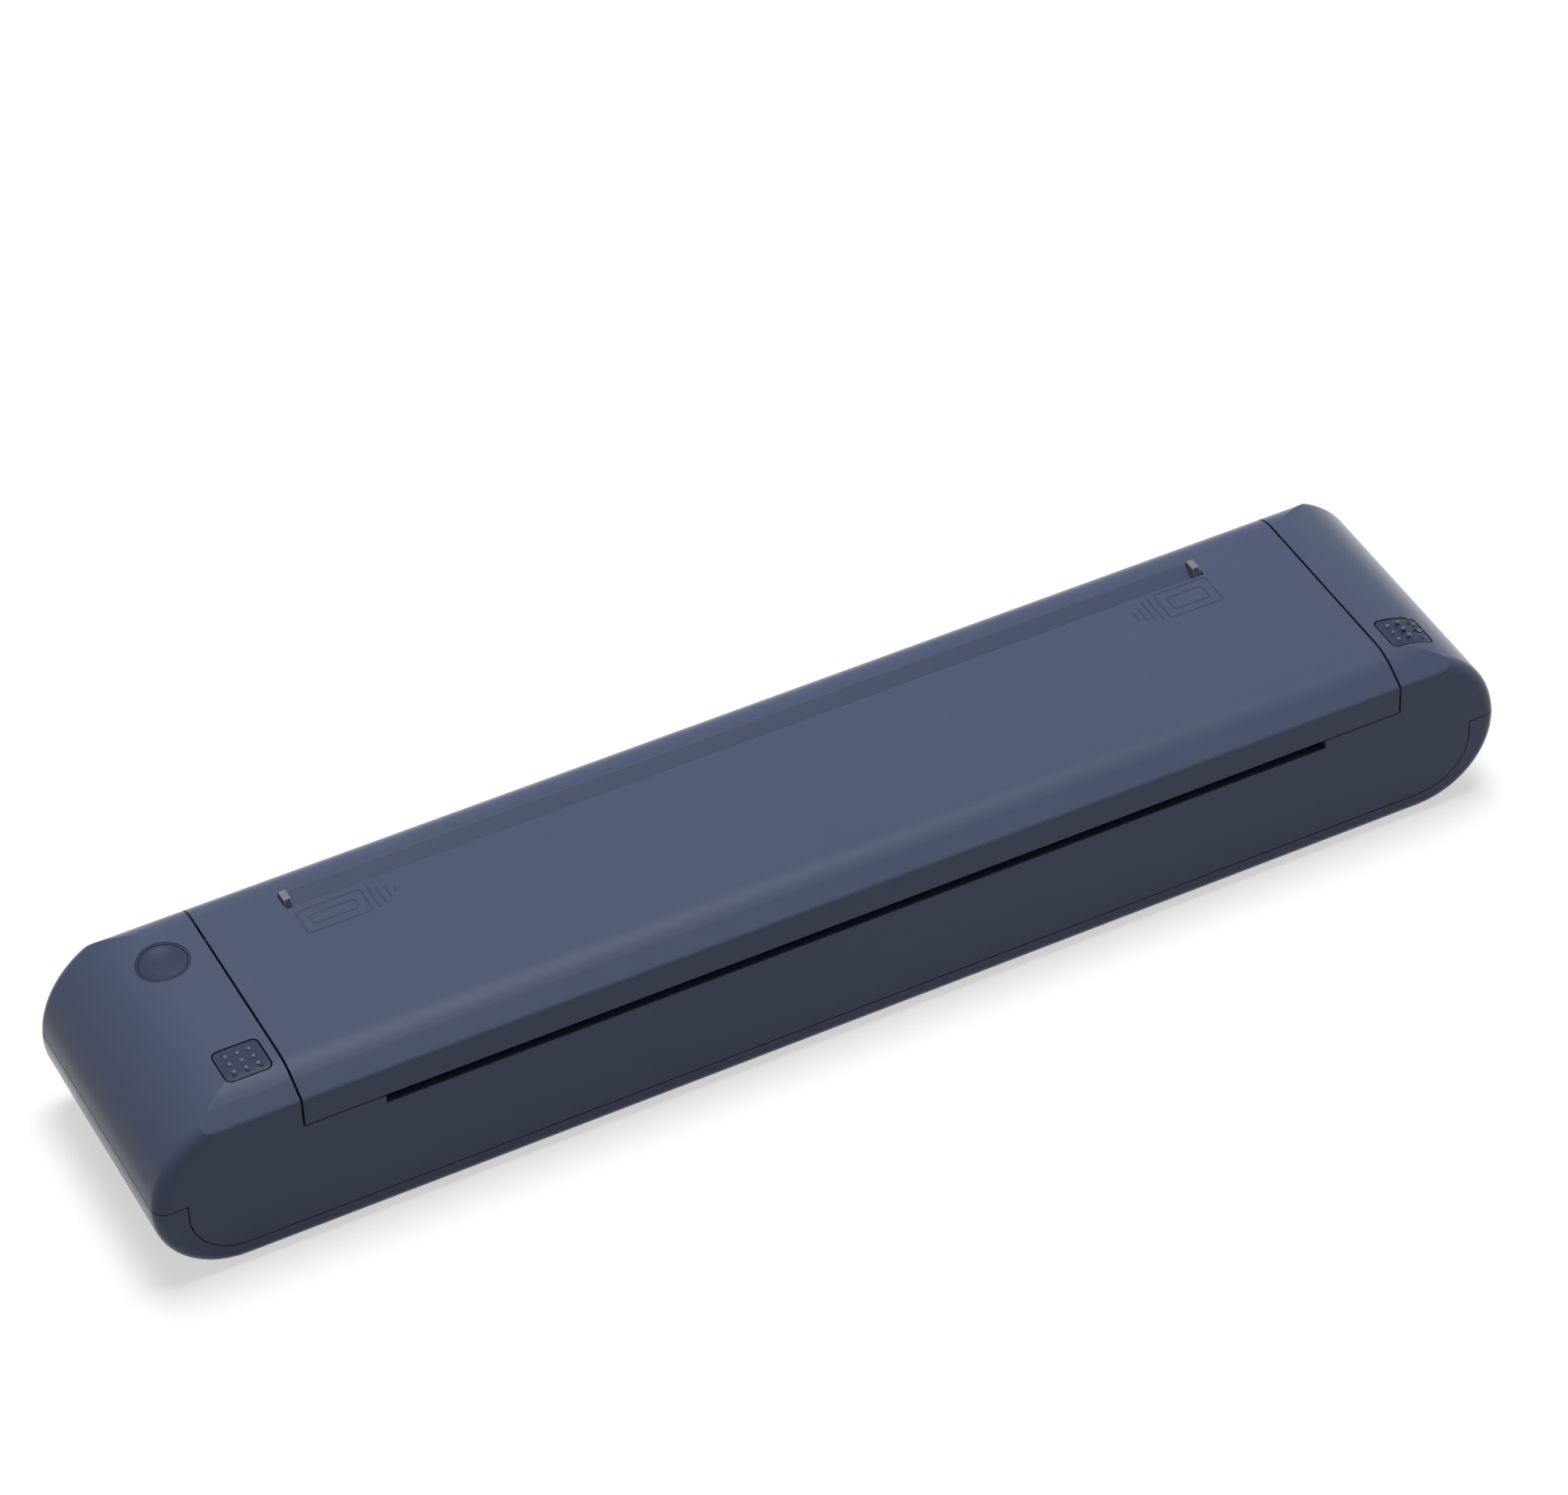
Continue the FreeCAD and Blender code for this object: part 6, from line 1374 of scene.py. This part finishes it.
@dataclass
class PaperPathLooks(Looks):
    """The paper guides, the platen roller and the print head."""

    WORN: Worn = {
        "guide_grey": ("left_paper_guide", "right_paper_guide"),
        "black_plastic": ("lower_paper_guide", "upper_paper_guide", "platen_bushings", "head_driver_cover"),
        "chip_black": ("paper_sensor",),
        "roller_rubber": ("platen_rubber",),
        "bright_steel": ("platen_shaft", "head_pivot_pins"),
        "spring_steel": ("shaft_rings", "head_springs"),
        "heat_sink_aluminium": ("head_heat_sink",),
        "ceramic_white": ("head_ceramic",),
    }

    # The dark strip lies on the slope in front of the guide's head, which is as deep as head_depth; its colour is
    # painted shade on that sloping front.
    head_depth: float = 2.9
    shade_strip_depth: float = 1.15
    shade_strip_height: float = 1.46
    shade_strip_setback: float = 0.08
    shade_strip_drop: float = 0.1
    shade_strip_inset: float = 0.1
    shade_strip_half_thickness: float = 0.05
    glaze_width: float = 1.3
    glaze_rise: float = 0.09
    glaze_inset: float = 0.6
    track_inset: float = 1.5
    track_thickness: float = 0.03
    track_lift: float = 0.005
    comb_depth: float = 3.2
    comb_back: float = 0.5
    common_depth: float = 1.2
    common_front: float = 0.9
    collar_radii: Pair = (2.1, 3.9)
    collar_height: float = 0.5
    skid_spacing: float = 13.5
    skid_left: float = 8.0
    skid_right: float = 6.0
    sensor_clear: float = 9.0
    # Where the skids start and end: in from the guide's edge, and up.
    skid_front: Pair = (1.2, 31.9)
    skid_back: Pair = (1.4, 35.6)
    lens_radius: float = 0.42
    lens_rise: float = 0.14
    lens_shift: float = 0.75
    lens_drop: float = 0.62
    lens_axis: Triple = (0.0, -0.24, 0.97)

    def build_forms(self) -> None:
        """Adds the painted shade strips on the guides, the head's bead and tracks, the collars, the skids and the
        lenses.
        """
        for side in ("left", "right"):
            self.build_guide_shade_strip(side)
        self.build_heater_line()
        self.build_electrodes()
        self.build_roller_ends()
        self.build_guide_skids()
        self.build_sensor_eyes()

    def build_guide_shade_strip(self, side: str) -> None:
        """A dark strip on the sloping front of a paper guide's head, carried up the slope, as painted shade on that
        front.

        Args:
            side: Which guide, left or right.
        """
        guide = Box.of(f"{side}_paper_guide")
        down = 1 - np.linspace(0, 1, 5)
        y = guide.high[1] - self.head_depth - self.shade_strip_setback - self.shade_strip_depth * down
        z = guide.high[2] - self.shade_strip_drop - self.shade_strip_height * down
        slope = np.array((0.0, -self.shade_strip_height, self.shade_strip_depth))
        half = guide.size[0] / 2 - self.shade_strip_inset
        pad = bar_profile(half, -self.shade_strip_half_thickness, self.shade_strip_half_thickness, self.shade_strip_inset)
        strip = Surface().sweep(places(guide.middle[0], y, z), pad, up=slope / np.linalg.norm(slope))
        # The strip's dark colour is painted shade on the guide's sloping front.
        self.put(strip, f"{side}_guide_shade_strip", "painted_shade_blue", f"{side}_guide", "guide_grey")

    def build_heater_line(self) -> None:
        """The glazed bead that carries the heater dots: half an ellipse carried along the ceramic."""
        ceramic = Box.of("head_ceramic")
        x = np.linspace(ceramic.low[0] + self.glaze_inset, ceramic.high[0] - self.glaze_inset, 40)
        path = places(x, Box.of("platen_rubber").middle[1], ceramic.high[2])
        bead = Surface().sweep(path, arch_profile(self.glaze_width / 2, self.glaze_rise, 9))
        self.put(bead, "heater_line", "heater_glaze", "print_head", "ceramic_white")

    def build_electrodes(self) -> None:
        """The comb of gold tracks behind the heater line, and the common track in front of it."""
        ceramic = Box.of("head_ceramic")
        x, z = ceramic.middle[0], ceramic.high[2] + self.track_lift
        length = ceramic.size[0] - 2 * self.track_inset
        comb_y = ceramic.high[1] - self.comb_back - self.comb_depth / 2
        comb = Surface().blocks((x, comb_y, z), (length, self.comb_depth, self.track_thickness), SHARPEST)
        self.put(comb, "electrode_comb", "electrode_comb", "print_head", "ceramic_white")
        common_y = ceramic.low[1] + self.common_front
        strip = Surface().blocks((x, common_y, z), (length, self.common_depth, self.track_thickness), SHARPEST)
        self.put(strip, "common_track", "gold_contact", "print_head", "bright_steel")

    def build_roller_ends(self) -> None:
        """Pressed collars where the rubber ends on its shaft."""
        roller = Box.of("platen_rubber")
        _, y, z = roller.middle
        collars = Surface()
        for x, way in ((roller.low[0], LEFTWARDS), (roller.high[0], RIGHTWARDS)):
            collars.ring((x, y, z), way, *self.collar_radii, self.collar_height)
        self.put(collars, "roller_collars", "bright_steel", "platen")

    def build_guide_skids(self) -> None:
        """Thin skids on the lower paper guide that the sheet slides over, clear of the sensor."""
        guide = Box.of("lower_paper_guide")
        x = np.arange(guide.low[0] + self.skid_left, guide.high[0] - self.skid_right, self.skid_spacing)
        x = x[np.abs(x - Box.of("paper_sensor").middle[0]) > self.sensor_clear]
        y = np.linspace(guide.low[1] + self.skid_front[0], guide.high[1] - self.skid_back[0], 8)
        z = np.linspace(self.skid_front[1], self.skid_back[1], 8)
        section = np.array(((-0.45, -0.35), (0.45, -0.35), (0.3, 0.12), (0.0, 0.2), (-0.3, 0.12)))
        skids = Surface()
        for place in x:
            skids.sweep(places(place, y, z), section)
        self.put(skids, "guide_skids", "black_plastic")

    def build_sensor_eyes(self) -> None:
        """The two lenses of the reflective paper sensor."""
        sensor = Box.of("paper_sensor")
        x, y, _ = sensor.middle
        dome = dome_profile(self.lens_radius, self.lens_rise, 0.1)
        eyes = Surface()
        for shift in (-self.lens_shift, self.lens_shift):
            eyes.lathe(dome, (x + shift, y, sensor.high[2] - self.lens_drop), self.lens_axis, 20)
        self.put(eyes, "sensor_eyes", "heater_glaze", slot="chip_black")


@dataclass
class DriveLooks(Looks):
    """The gears, the stepper motor and the sheet frame that carries them."""

    WORN: Worn = {
        "gear_plastic": ("platen_gear", "idler_gear", "compound_gear", "motor_pinion"),
        "bright_steel": ("gear_studs", "motor_shaft"),
        "spring_steel": ("stud_ring",),
        "sheet_steel": ("mechanism_frame", "stepper_motor"),
        "screw_steel": ("frame_screws", "guide_screws", "motor_screws"),
    }

    face_sink: float = 0.02
    face_rise: float = 0.14
    hub_width: float = 0.6
    rim_width: float = 0.5
    spokes: int = 6
    dimple_circle: float = 10.0
    dimple_inset: float = 0.7
    grommet_z: float = 11.9
    grommet_size: Pair = (1.6, 1.9)
    grommet_margin: float = 0.4
    bead_half: float = 1.1
    bead_rise: float = 0.45
    bead_y: float = -6.6
    bead_z: float = 19.2
    bead_runs: tuple[Pair, ...] = ((-80.0, -30.0), (-22.0, 30.0), (38.0, 92.0))

    def build_forms(self) -> None:
        """Adds the gears' faces, the motor's cap and the frame's beads."""
        for node, body, hub, rim, spokes in (
            ("platen_gear", "platen", 2.5, 3.9, 0),
            ("idler_gear", "idler", 2.2, 5.0, 0),
            ("compound_gear", "compound", 3.3, 8.6, self.spokes),
        ):
            self.build_wheel_face(node, body, hub, rim, spokes)
        self.build_motor_cap()
        self.build_frame_beads()

    def build_wheel_face(self, node: str, body: str, hub: float, rim: float, spokes: int) -> None:
        """A raised hub and rim on a gear's outer face, with spokes between them on the large one.

        Args:
            node: The gear's node.
            body: The body that turns.
            hub: The hub ring's inner radius.
            rim: The rim ring's inner radius.
            spokes: How many spokes.
        """
        gear = Box.of(node)
        x, (_, y, z) = gear.low[0], gear.middle
        face = Surface()
        for inner, width in ((hub, self.hub_width), (rim, self.rim_width)):
            face.ring((x + self.face_sink, y, z), LEFTWARDS, inner, inner + width, self.face_rise)
        reach = np.linspace(hub + 0.4, rim + 0.2, 6)
        bar = bar_profile(0.35, -self.face_sink, self.face_rise, 0.1)
        for spoke in range(spokes):
            angle = spoke * 2 * np.pi / spokes
            face.sweep(places(x, y + reach * math.cos(angle), z + reach * math.sin(angle)), bar, up=LEFTWARDS)
        self.put(face, node + "_face", "gear_plastic", body)

    def build_motor_cap(self) -> None:
        """The motor's end cap with its bush, crimps round the can, and the grommet of its lead."""
        back = Box.of("stepper_motor").high[0]
        _, y, z = Box.of("motor_shaft").middle
        cap = Surface()
        cap.ring((back, y, z), RIGHTWARDS, 2.2, 3.4, 0.7)
        cap.ring((back, y, z), RIGHTWARDS, 0.9, 1.7, 0.4, 24)
        turn = (np.arange(6) + 0.5) * np.pi / 3
        circle = self.dimple_circle
        dimples = places(back - self.dimple_inset, y + circle * np.cos(turn), z + circle * np.sin(turn))
        cap.blocks(dimples, (0.9, 0.9, 0.9), 0.6, 12, 7)
        self.put(cap, "motor_cap", "sheet_steel")
        lead = Box.of("motor_lead")
        length, height = self.grommet_size
        size = (length, lead.size[1] + 2 * self.grommet_margin, height)
        grommet = Surface().blocks((back + 0.5, lead.middle[1], self.grommet_z), size, 0.3)
        self.put(grommet, "motor_grommet", "black_plastic")

    def build_frame_beads(self) -> None:
        """Pressed stiffening beads along the frame's web: low humps with rounded ends."""
        hump = arch_profile(self.bead_half, self.bead_rise, 7, 0.02)
        beads = Surface()
        for start, end in self.bead_runs:
            beads.sweep(places(np.linspace(start, end, 24), self.bead_y, self.bead_z), hump)
        self.put(beads, "frame_beads", "sheet_steel")


@dataclass(frozen=True)
class SmallPart:
    """A kind of small part on the main board: its piece, its finish and its sizes."""

    piece: str
    finish: str
    lift: float
    size: Triple
    end_size: Triple


@dataclass
class ElectronicsLooks(Looks):
    """The boards, what stands on them, the socket, the cells and the leads."""

    WORN: Worn = {
        "board_green": ("main_board", "usb_board"),
        "chip_black": ("board_parts",),
        "screw_steel": ("board_screws",),
        "cell_wrap": ("battery_cells",),
        "black_plastic": ("battery_tray",),
        "lead_red": ("battery_lead",),
        "lead_black": ("motor_lead", "usb_lead", "button_lead"),
        "ribbon_orange": ("head_ribbon",),
        "socket_steel": ("usb_socket",),
    }

    seed: int = 11
    # The chips, the cans and the coil stand in one row, with even gaps, as in the CAD.
    chip_size: float = 12.0
    can_pitch: float = 7.5
    coil_size: float = 7.0
    row_front: float = 5.0
    pin_pitch: float = 0.8
    pin_count: int = 13
    pin_out: float = 0.5
    pin_lift: float = 0.2
    print_gap: float = 1.7
    coil_print: Sides = (40.2, 49.5, -19.8, -10.2)
    # Small parts stay out of these: left, right, front and back.
    cans_and_coil: Sides = (14.0, 51.0, -20.0, -10.0)
    ribbon_plug: Sides = (-11.0, 19.0, -9.0, -2.5)
    left_screws: Sides = (-47.0, -41.0, -26.0, 4.5)
    right_screws: Sides = (51.0, 57.0, -26.0, 4.5)
    chip_keep_out: float = 8.2
    small_parts: tuple[SmallPart, ...] = (
        SmallPart("chip_resistors", "chip_black", 0.22, (1.0, 0.8, 0.42), (0.36, 0.84, 0.46)),
        SmallPart("chip_capacitors", "capacitor_tan", 0.38, (1.0, 0.85, 0.74), (0.36, 0.89, 0.78)),
    )
    end_shift: float = 0.65
    left_plugs: float = 6.5
    right_plugs: float = 7.5
    contact_pitch: float = 0.5
    contact_count: int = 10
    contact_level: float = 0.36
    washer_radii: Pair = (3.1, 8.3)
    wire: float = 1.0
    wire_pitch: float = 1.3
    plug_wall: float = 0.6
    plug_top: float = 3.2
    plug_cap: float = 0.7
    plug_inset: float = 2.2
    plug_width: float = 4.0

    def build_forms(self) -> None:
        """Fills the boards and adds contacts, cell ends and plug tops."""
        self.build_chip_pins()
        self.build_small_parts()
        self.build_board_print()
        self.build_can_sleeves()
        self.build_socket_contacts()
        self.build_cell_ends()
        self.build_ribbon_latch()
        self.build_plug_shells()

    def row(self) -> tuple[Array, Array, float]:
        """Where the main board's row of parts stands.

        Returns:
            X of the two chips, X of the three cans, and the Y that they share.
        """
        board = Box.of("main_board")
        gap = (board.size[0] - 2 * self.chip_size - 3 * self.can_pitch - self.coil_size) / 4
        step = self.chip_size + gap
        chips = board.low[0] + gap + self.chip_size / 2 + np.arange(2) * step
        cans = board.low[0] + gap + 2 * step + np.arange(3) * self.can_pitch
        return chips, cans, board.low[1] + self.row_front + self.chip_size / 2

    def build_chip_pins(self) -> None:
        """The rows of tinned legs round both chips."""
        chips, _, y = self.row()
        z = Box.of("main_board").high[2] + self.pin_lift
        steps = (np.arange(self.pin_count) - (self.pin_count - 1) / 2) * self.pin_pitch
        reach = self.chip_size / 2 + self.pin_out
        pins = Surface()
        for x in chips:
            for out in (-reach, reach):
                pins.blocks(places(x + steps, y + out, z), (0.3, 1.2, 0.22), 0.3, *COARSE)
                pins.blocks(places(x + out, y + steps, z), (1.2, 0.3, 0.22), 0.3, *COARSE)
        self.put(pins, "chip_pins", "tinned_end", slot="socket_steel")

    def free_places(self) -> Array:
        """Places on the main board that are clear of its chips, cans, plugs and screws.

        A slightly jittered grid of places is kept where it lies outside every taken box.

        Returns:
            Places as (places, 2).
        """
        board = Box.of("main_board")
        (left, front, _), (right, back, _) = board.low, board.high
        draw = np.random.default_rng(self.seed)
        x, y = np.meshgrid(np.arange(left + 3.0, right - 3.0, 3.1), np.arange(front + 2.2, back - 1.5, 2.3))
        spots = np.column_stack((x.ravel(), y.ravel())) + draw.uniform(-0.35, 0.35, (x.size, 2))
        chips, _, row_y = self.row()
        out = self.chip_keep_out
        taken = [(chip - out, chip + out, row_y - out, row_y + out) for chip in chips]
        taken += [self.cans_and_coil, self.ribbon_plug, self.left_screws, self.right_screws]
        taken += [(left, left + self.left_plugs, front, back), (right - self.right_plugs, right, front, back)]
        free = np.ones(len(spots), bool)
        for x_low, x_high, y_low, y_high in taken:
            inside = (spots > (x_low, y_low)) & (spots < (x_high, y_high))
            free &= ~inside.all(axis=1)
        return spots[free]

    def build_small_parts(self) -> None:
        """Chip resistors and capacitors by turns over the free places, each with two tinned ends."""
        top = Box.of("main_board").high[2]
        spots = self.free_places()
        rows = [(kind, *spots[first :: len(self.small_parts)].T) for first, kind in enumerate(self.small_parts)]
        for kind, x, y in rows:
            parts = Surface().blocks(places(x, y, top + kind.lift), kind.size, 0.2, *COARSE)
            self.put(parts, kind.piece, kind.finish, slot="chip_black")
        ends = Surface()
        for shift in (-self.end_shift, self.end_shift):
            for kind, x, y in rows:
                ends.blocks(places(x + shift, y, top + kind.lift), kind.end_size, 0.25, *COARSE)
        self.put(ends, "part_ends", "tinned_end", slot="socket_steel")

    def build_board_print(self) -> None:
        """White outlines printed round the chips and the coil."""
        top = Box.of("main_board").high[2]
        chips, _, y = self.row()
        out = self.chip_size / 2 + self.print_gap
        lines = Surface()
        for sides in (*((x - out, x + out, y - out, y + out) for x in chips), self.coil_print):
            lines.sweep(rounded_rectangle(*sides, top, 0.5), bar_profile(0.1, 0.0, 0.02), closed=True)
        self.put(lines, "board_print", "white_print", slot="board_green")

    def build_can_sleeves(self) -> None:
        """The bright tops of the three cans: a shallow rim round a flat face."""
        _, cans, y = self.row()
        top = Box.of("board_parts").high[2]
        disc = np.array(((-5.9, 0.0), (-5.9, 3.05), (-0.3, 3.05), (0.02, 2.75), (0.04, 0.0)))
        sleeves = Surface()
        for x in cans:
            sleeves.lathe(disc, (x, y, top), UP, 32)
        self.put(sleeves, "can_sleeves", "heat_sink_aluminium")

    def build_socket_contacts(self) -> None:
        """Gold contacts on both faces of the socket's tongue."""
        socket = Box.of("usb_socket")
        y = (np.arange(self.contact_count) - (self.contact_count - 1) / 2) * self.contact_pitch
        contacts = Surface()
        for face in (-self.contact_level, self.contact_level):
            spots = places(socket.high[0] - 3.6, y, socket.middle[2] + face)
            contacts.blocks(spots, (4.2, 0.26, 0.06), 0.2, *COARSE)
        self.put(contacts, "socket_contacts", "gold_contact", slot="socket_steel")

    def build_cell_ends(self) -> None:
        """Paper washers at the cells' right ends and nickel strips at both ends of the pair."""
        cells = Box.of("battery_cells")
        left, right = cells.low[0], cells.high[0]
        middle, y, z = cells.middle
        washers = Surface()
        for end in (middle, right):
            washers.ring((end - 1.0, y, z), RIGHTWARDS, *self.washer_radii, 0.15)
        self.put(washers, "cell_washers", "cell_paper", slot="label_grey")
        strips = Surface().blocks((right + 0.02, y, z), (0.15, 4.0, 9.0), SHARP)
        strips.blocks((left - 0.02, y, z), (0.15, 6.0, 9.0), SHARP)
        self.put(strips, "cell_strips", "nickel_strip", slot="socket_steel")

    def build_ribbon_latch(self) -> None:
        """The cream latch bar of the ribbon's connector."""
        ribbon = Box.of("head_ribbon")
        bar = Surface().blocks((ribbon.middle[0], -5.0, 10.95), (ribbon.size[0] + 1.6, 1.6, 0.7), 0.25)
        self.put(bar, "ribbon_latch", "plug_cream", slot="label_grey")

    def build_plug_shells(self) -> None:
        """The tops of the leads' plugs, each as wide as its wires and their walls.

        Places that come from a lead's box are rounded to hundredths, because the faces of a thin wire's
        mesh lie a little inside the wire.
        """
        board = Box.of("main_board")
        left, right = board.low[0] + self.plug_inset, board.high[0] - self.plug_inset
        shells = Surface()
        for lead, wires, x in (("motor_lead", 4, left), ("button_lead", 2, left), ("usb_lead", 3, right)):
            across = (wires - 1) * self.wire_pitch + self.wire
            y = round(Box.of(lead).low[1] + across / 2, 2)
            self.add_plug(shells, x, y, self.plug_width, across + 2 * self.plug_wall)
        across = self.wire_pitch + self.wire
        x = round(Box.of("battery_lead").high[0] - across / 2, 2)
        self.add_plug(shells, x, board.high[1] - self.plug_inset, across + 2 * self.plug_wall, self.plug_width)
        self.put(shells, "plug_shells", "plug_cream", slot="label_grey")

    def add_plug(self, shells: Surface, x: float, y: float, width: float, depth: float) -> None:
        """Adds one plug's top.

        Args:
            shells: The surface it is added to.
            x: Its centre along X.
            y: Its centre along Y.
            width: Its size along X.
            depth: Its size along Y.
        """
        z = Box.of("main_board").high[2] + self.plug_top
        shells.blocks((x, y, z), (width, depth, self.plug_cap), 0.12)


# Studio


@dataclass(frozen=True)
class CameraPlace:
    """Where the photograph was taken from, in the frame's axes."""

    azimuth_deg: float = -25.57
    elevation_deg: float = 42.18
    roll_deg: float = -2.32
    place_m: Triple = (-0.4185, -0.8774, 0.9353)
    lens_mm: float = 147.0
    sensor_mm: float = 36.0
    clip_m: Pair = (0.05, 40.0)

    def build(self) -> None:
        """Makes the camera, turned back by its azimuth, elevation and roll, and sets it as the scene's."""
        azimuth, elevation, roll = map(math.radians, (self.azimuth_deg, self.elevation_deg, self.roll_deg))
        level = math.cos(elevation)
        back = Vector((level * math.sin(azimuth), -level * math.cos(azimuth), math.sin(elevation)))
        right = Vector((math.cos(azimuth), math.sin(azimuth), 0.0))
        up = back.cross(right)
        turned_right = math.cos(roll) * right + math.sin(roll) * up
        turned_up = -math.sin(roll) * right + math.cos(roll) * up
        data = bpy.data.cameras.new("camera")
        data.lens = self.lens_mm
        data.sensor_width = self.sensor_mm
        data.clip_start, data.clip_end = self.clip_m
        camera = bpy.data.objects.new("camera", data)
        bpy.context.scene.collection.objects.link(camera)
        turn = Matrix((turned_right, turned_up, back)).transposed()
        camera.matrix_world = Matrix.Translation(Vector(self.place_m)) @ turn.to_4x4()
        bpy.context.scene.camera = camera


@dataclass(frozen=True)
class SoftLight:
    """One soft square light that looks at the printer."""

    name: str
    place_m: Triple
    size_m: float
    watts: float

    def build(self) -> None:
        """Makes the light."""
        data = bpy.data.lights.new(self.name, "AREA")
        data.shape = "SQUARE"
        data.size = self.size_m
        data.energy = self.watts
        lamp = bpy.data.objects.new(self.name, data)
        bpy.context.scene.collection.objects.link(lamp)
        lamp.location = self.place_m
        lamp.rotation_euler = (-Vector(self.place_m)).to_track_quat("-Z", "Y").to_euler()


@dataclass(frozen=True)
class Studio:
    """The floor, the world and the lights."""

    floor_half_m: float = 6.0
    floor_pale: Colour = (0.62, 0.62, 0.62)
    floor_tone: Colour = (0.63, 0.63, 0.63)
    floor_lift: Colour = (0.58, 0.58, 0.58)
    ambient: float = 0.1
    lights: tuple[SoftLight, ...] = (
        SoftLight("overhead", (0.12, 0.15, 1.5), 0.8, 17.4),
        SoftLight("back_fill", (0.0, 1.5, 1.1), 0.8, 1.5),
    )

    def build(self) -> None:
        """Builds floor, world, lights and camera, with the plain view transform."""
        bpy.context.scene.view_settings.view_transform = "Standard"
        self.build_floor()
        self.build_world()
        for light in self.lights:
            light.build()
        CameraPlace().build()

    def build_floor(self) -> None:
        """The pale floor, lifted to white for the camera and for reflections, with the shadow kept."""
        half = self.floor_half_m
        mesh = bpy.data.meshes.new("floor")
        mesh.from_pydata([(-half, -half, 0), (half, -half, 0), (half, half, 0), (-half, half, 0)], [], [(0, 1, 2, 3)])
        floor = bpy.data.objects.new("floor", mesh)
        bpy.context.scene.collection.objects.link(floor)
        material = bpy.data.materials.new("floor_paper")
        material.use_nodes = True
        graph = Graph(material.node_tree)
        inputs = material.node_tree.nodes["Principled BSDF"].inputs
        tone = graph.noise(graph.object_place(), 6.0, 3.0)
        for label, value in (
            ("Roughness", 1.0),
            ("Specular IOR Level", 0.0),
            ("Base Color", graph.blend(tone, full(self.floor_pale), full(self.floor_tone))),
            ("Emission Strength", 1.0),
            ("Emission Color", graph.blend(self.seen_directly(graph), full(BLACK), full(self.floor_lift))),
        ):
            graph.join(value, inputs[label])
        mesh.materials.append(material)

    @staticmethod
    def seen_directly(graph: Graph) -> Socket:
        """1 for rays from the camera and for reflected or transmitted ones, and 0 for light.

        Args:
            graph: A material's or the world's graph.

        Returns:
            The mask's socket.
        """
        path = graph.add("ShaderNodeLightPath").outputs
        glossy = graph.number("MAXIMUM", path["Is Camera Ray"], path["Is Glossy Ray"])
        return graph.number("MAXIMUM", glossy, path["Is Transmission Ray"])

    def build_world(self) -> None:
        """A dim even light, seen as white by the camera and by reflected or transmitted rays."""
        world = bpy.data.worlds.new("studio")
        bpy.context.scene.world = world
        world.use_nodes = True
        graph = Graph(world.node_tree)
        ground = world.node_tree.nodes["Background"].inputs
        graph.join(full(WHITE), ground["Color"])
        graph.join(graph.span(self.seen_directly(graph), 0.0, 1.0, self.ambient, 1.0), ground["Strength"])


def main() -> None:
    """Builds every sub-assembly in order, then the studio."""
    logging.basicConfig(level=logging.INFO, format="%(message)s")
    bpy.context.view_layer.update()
    paints = Paintbox()
    for part in (CasingLooks, ButtonLooks, PaperPathLooks, DriveLooks, ElectronicsLooks):
        part(paints).build()
        LOG.info("%s built", part.__name__)
    Studio().build()


if __name__ == "__main__":
    main()
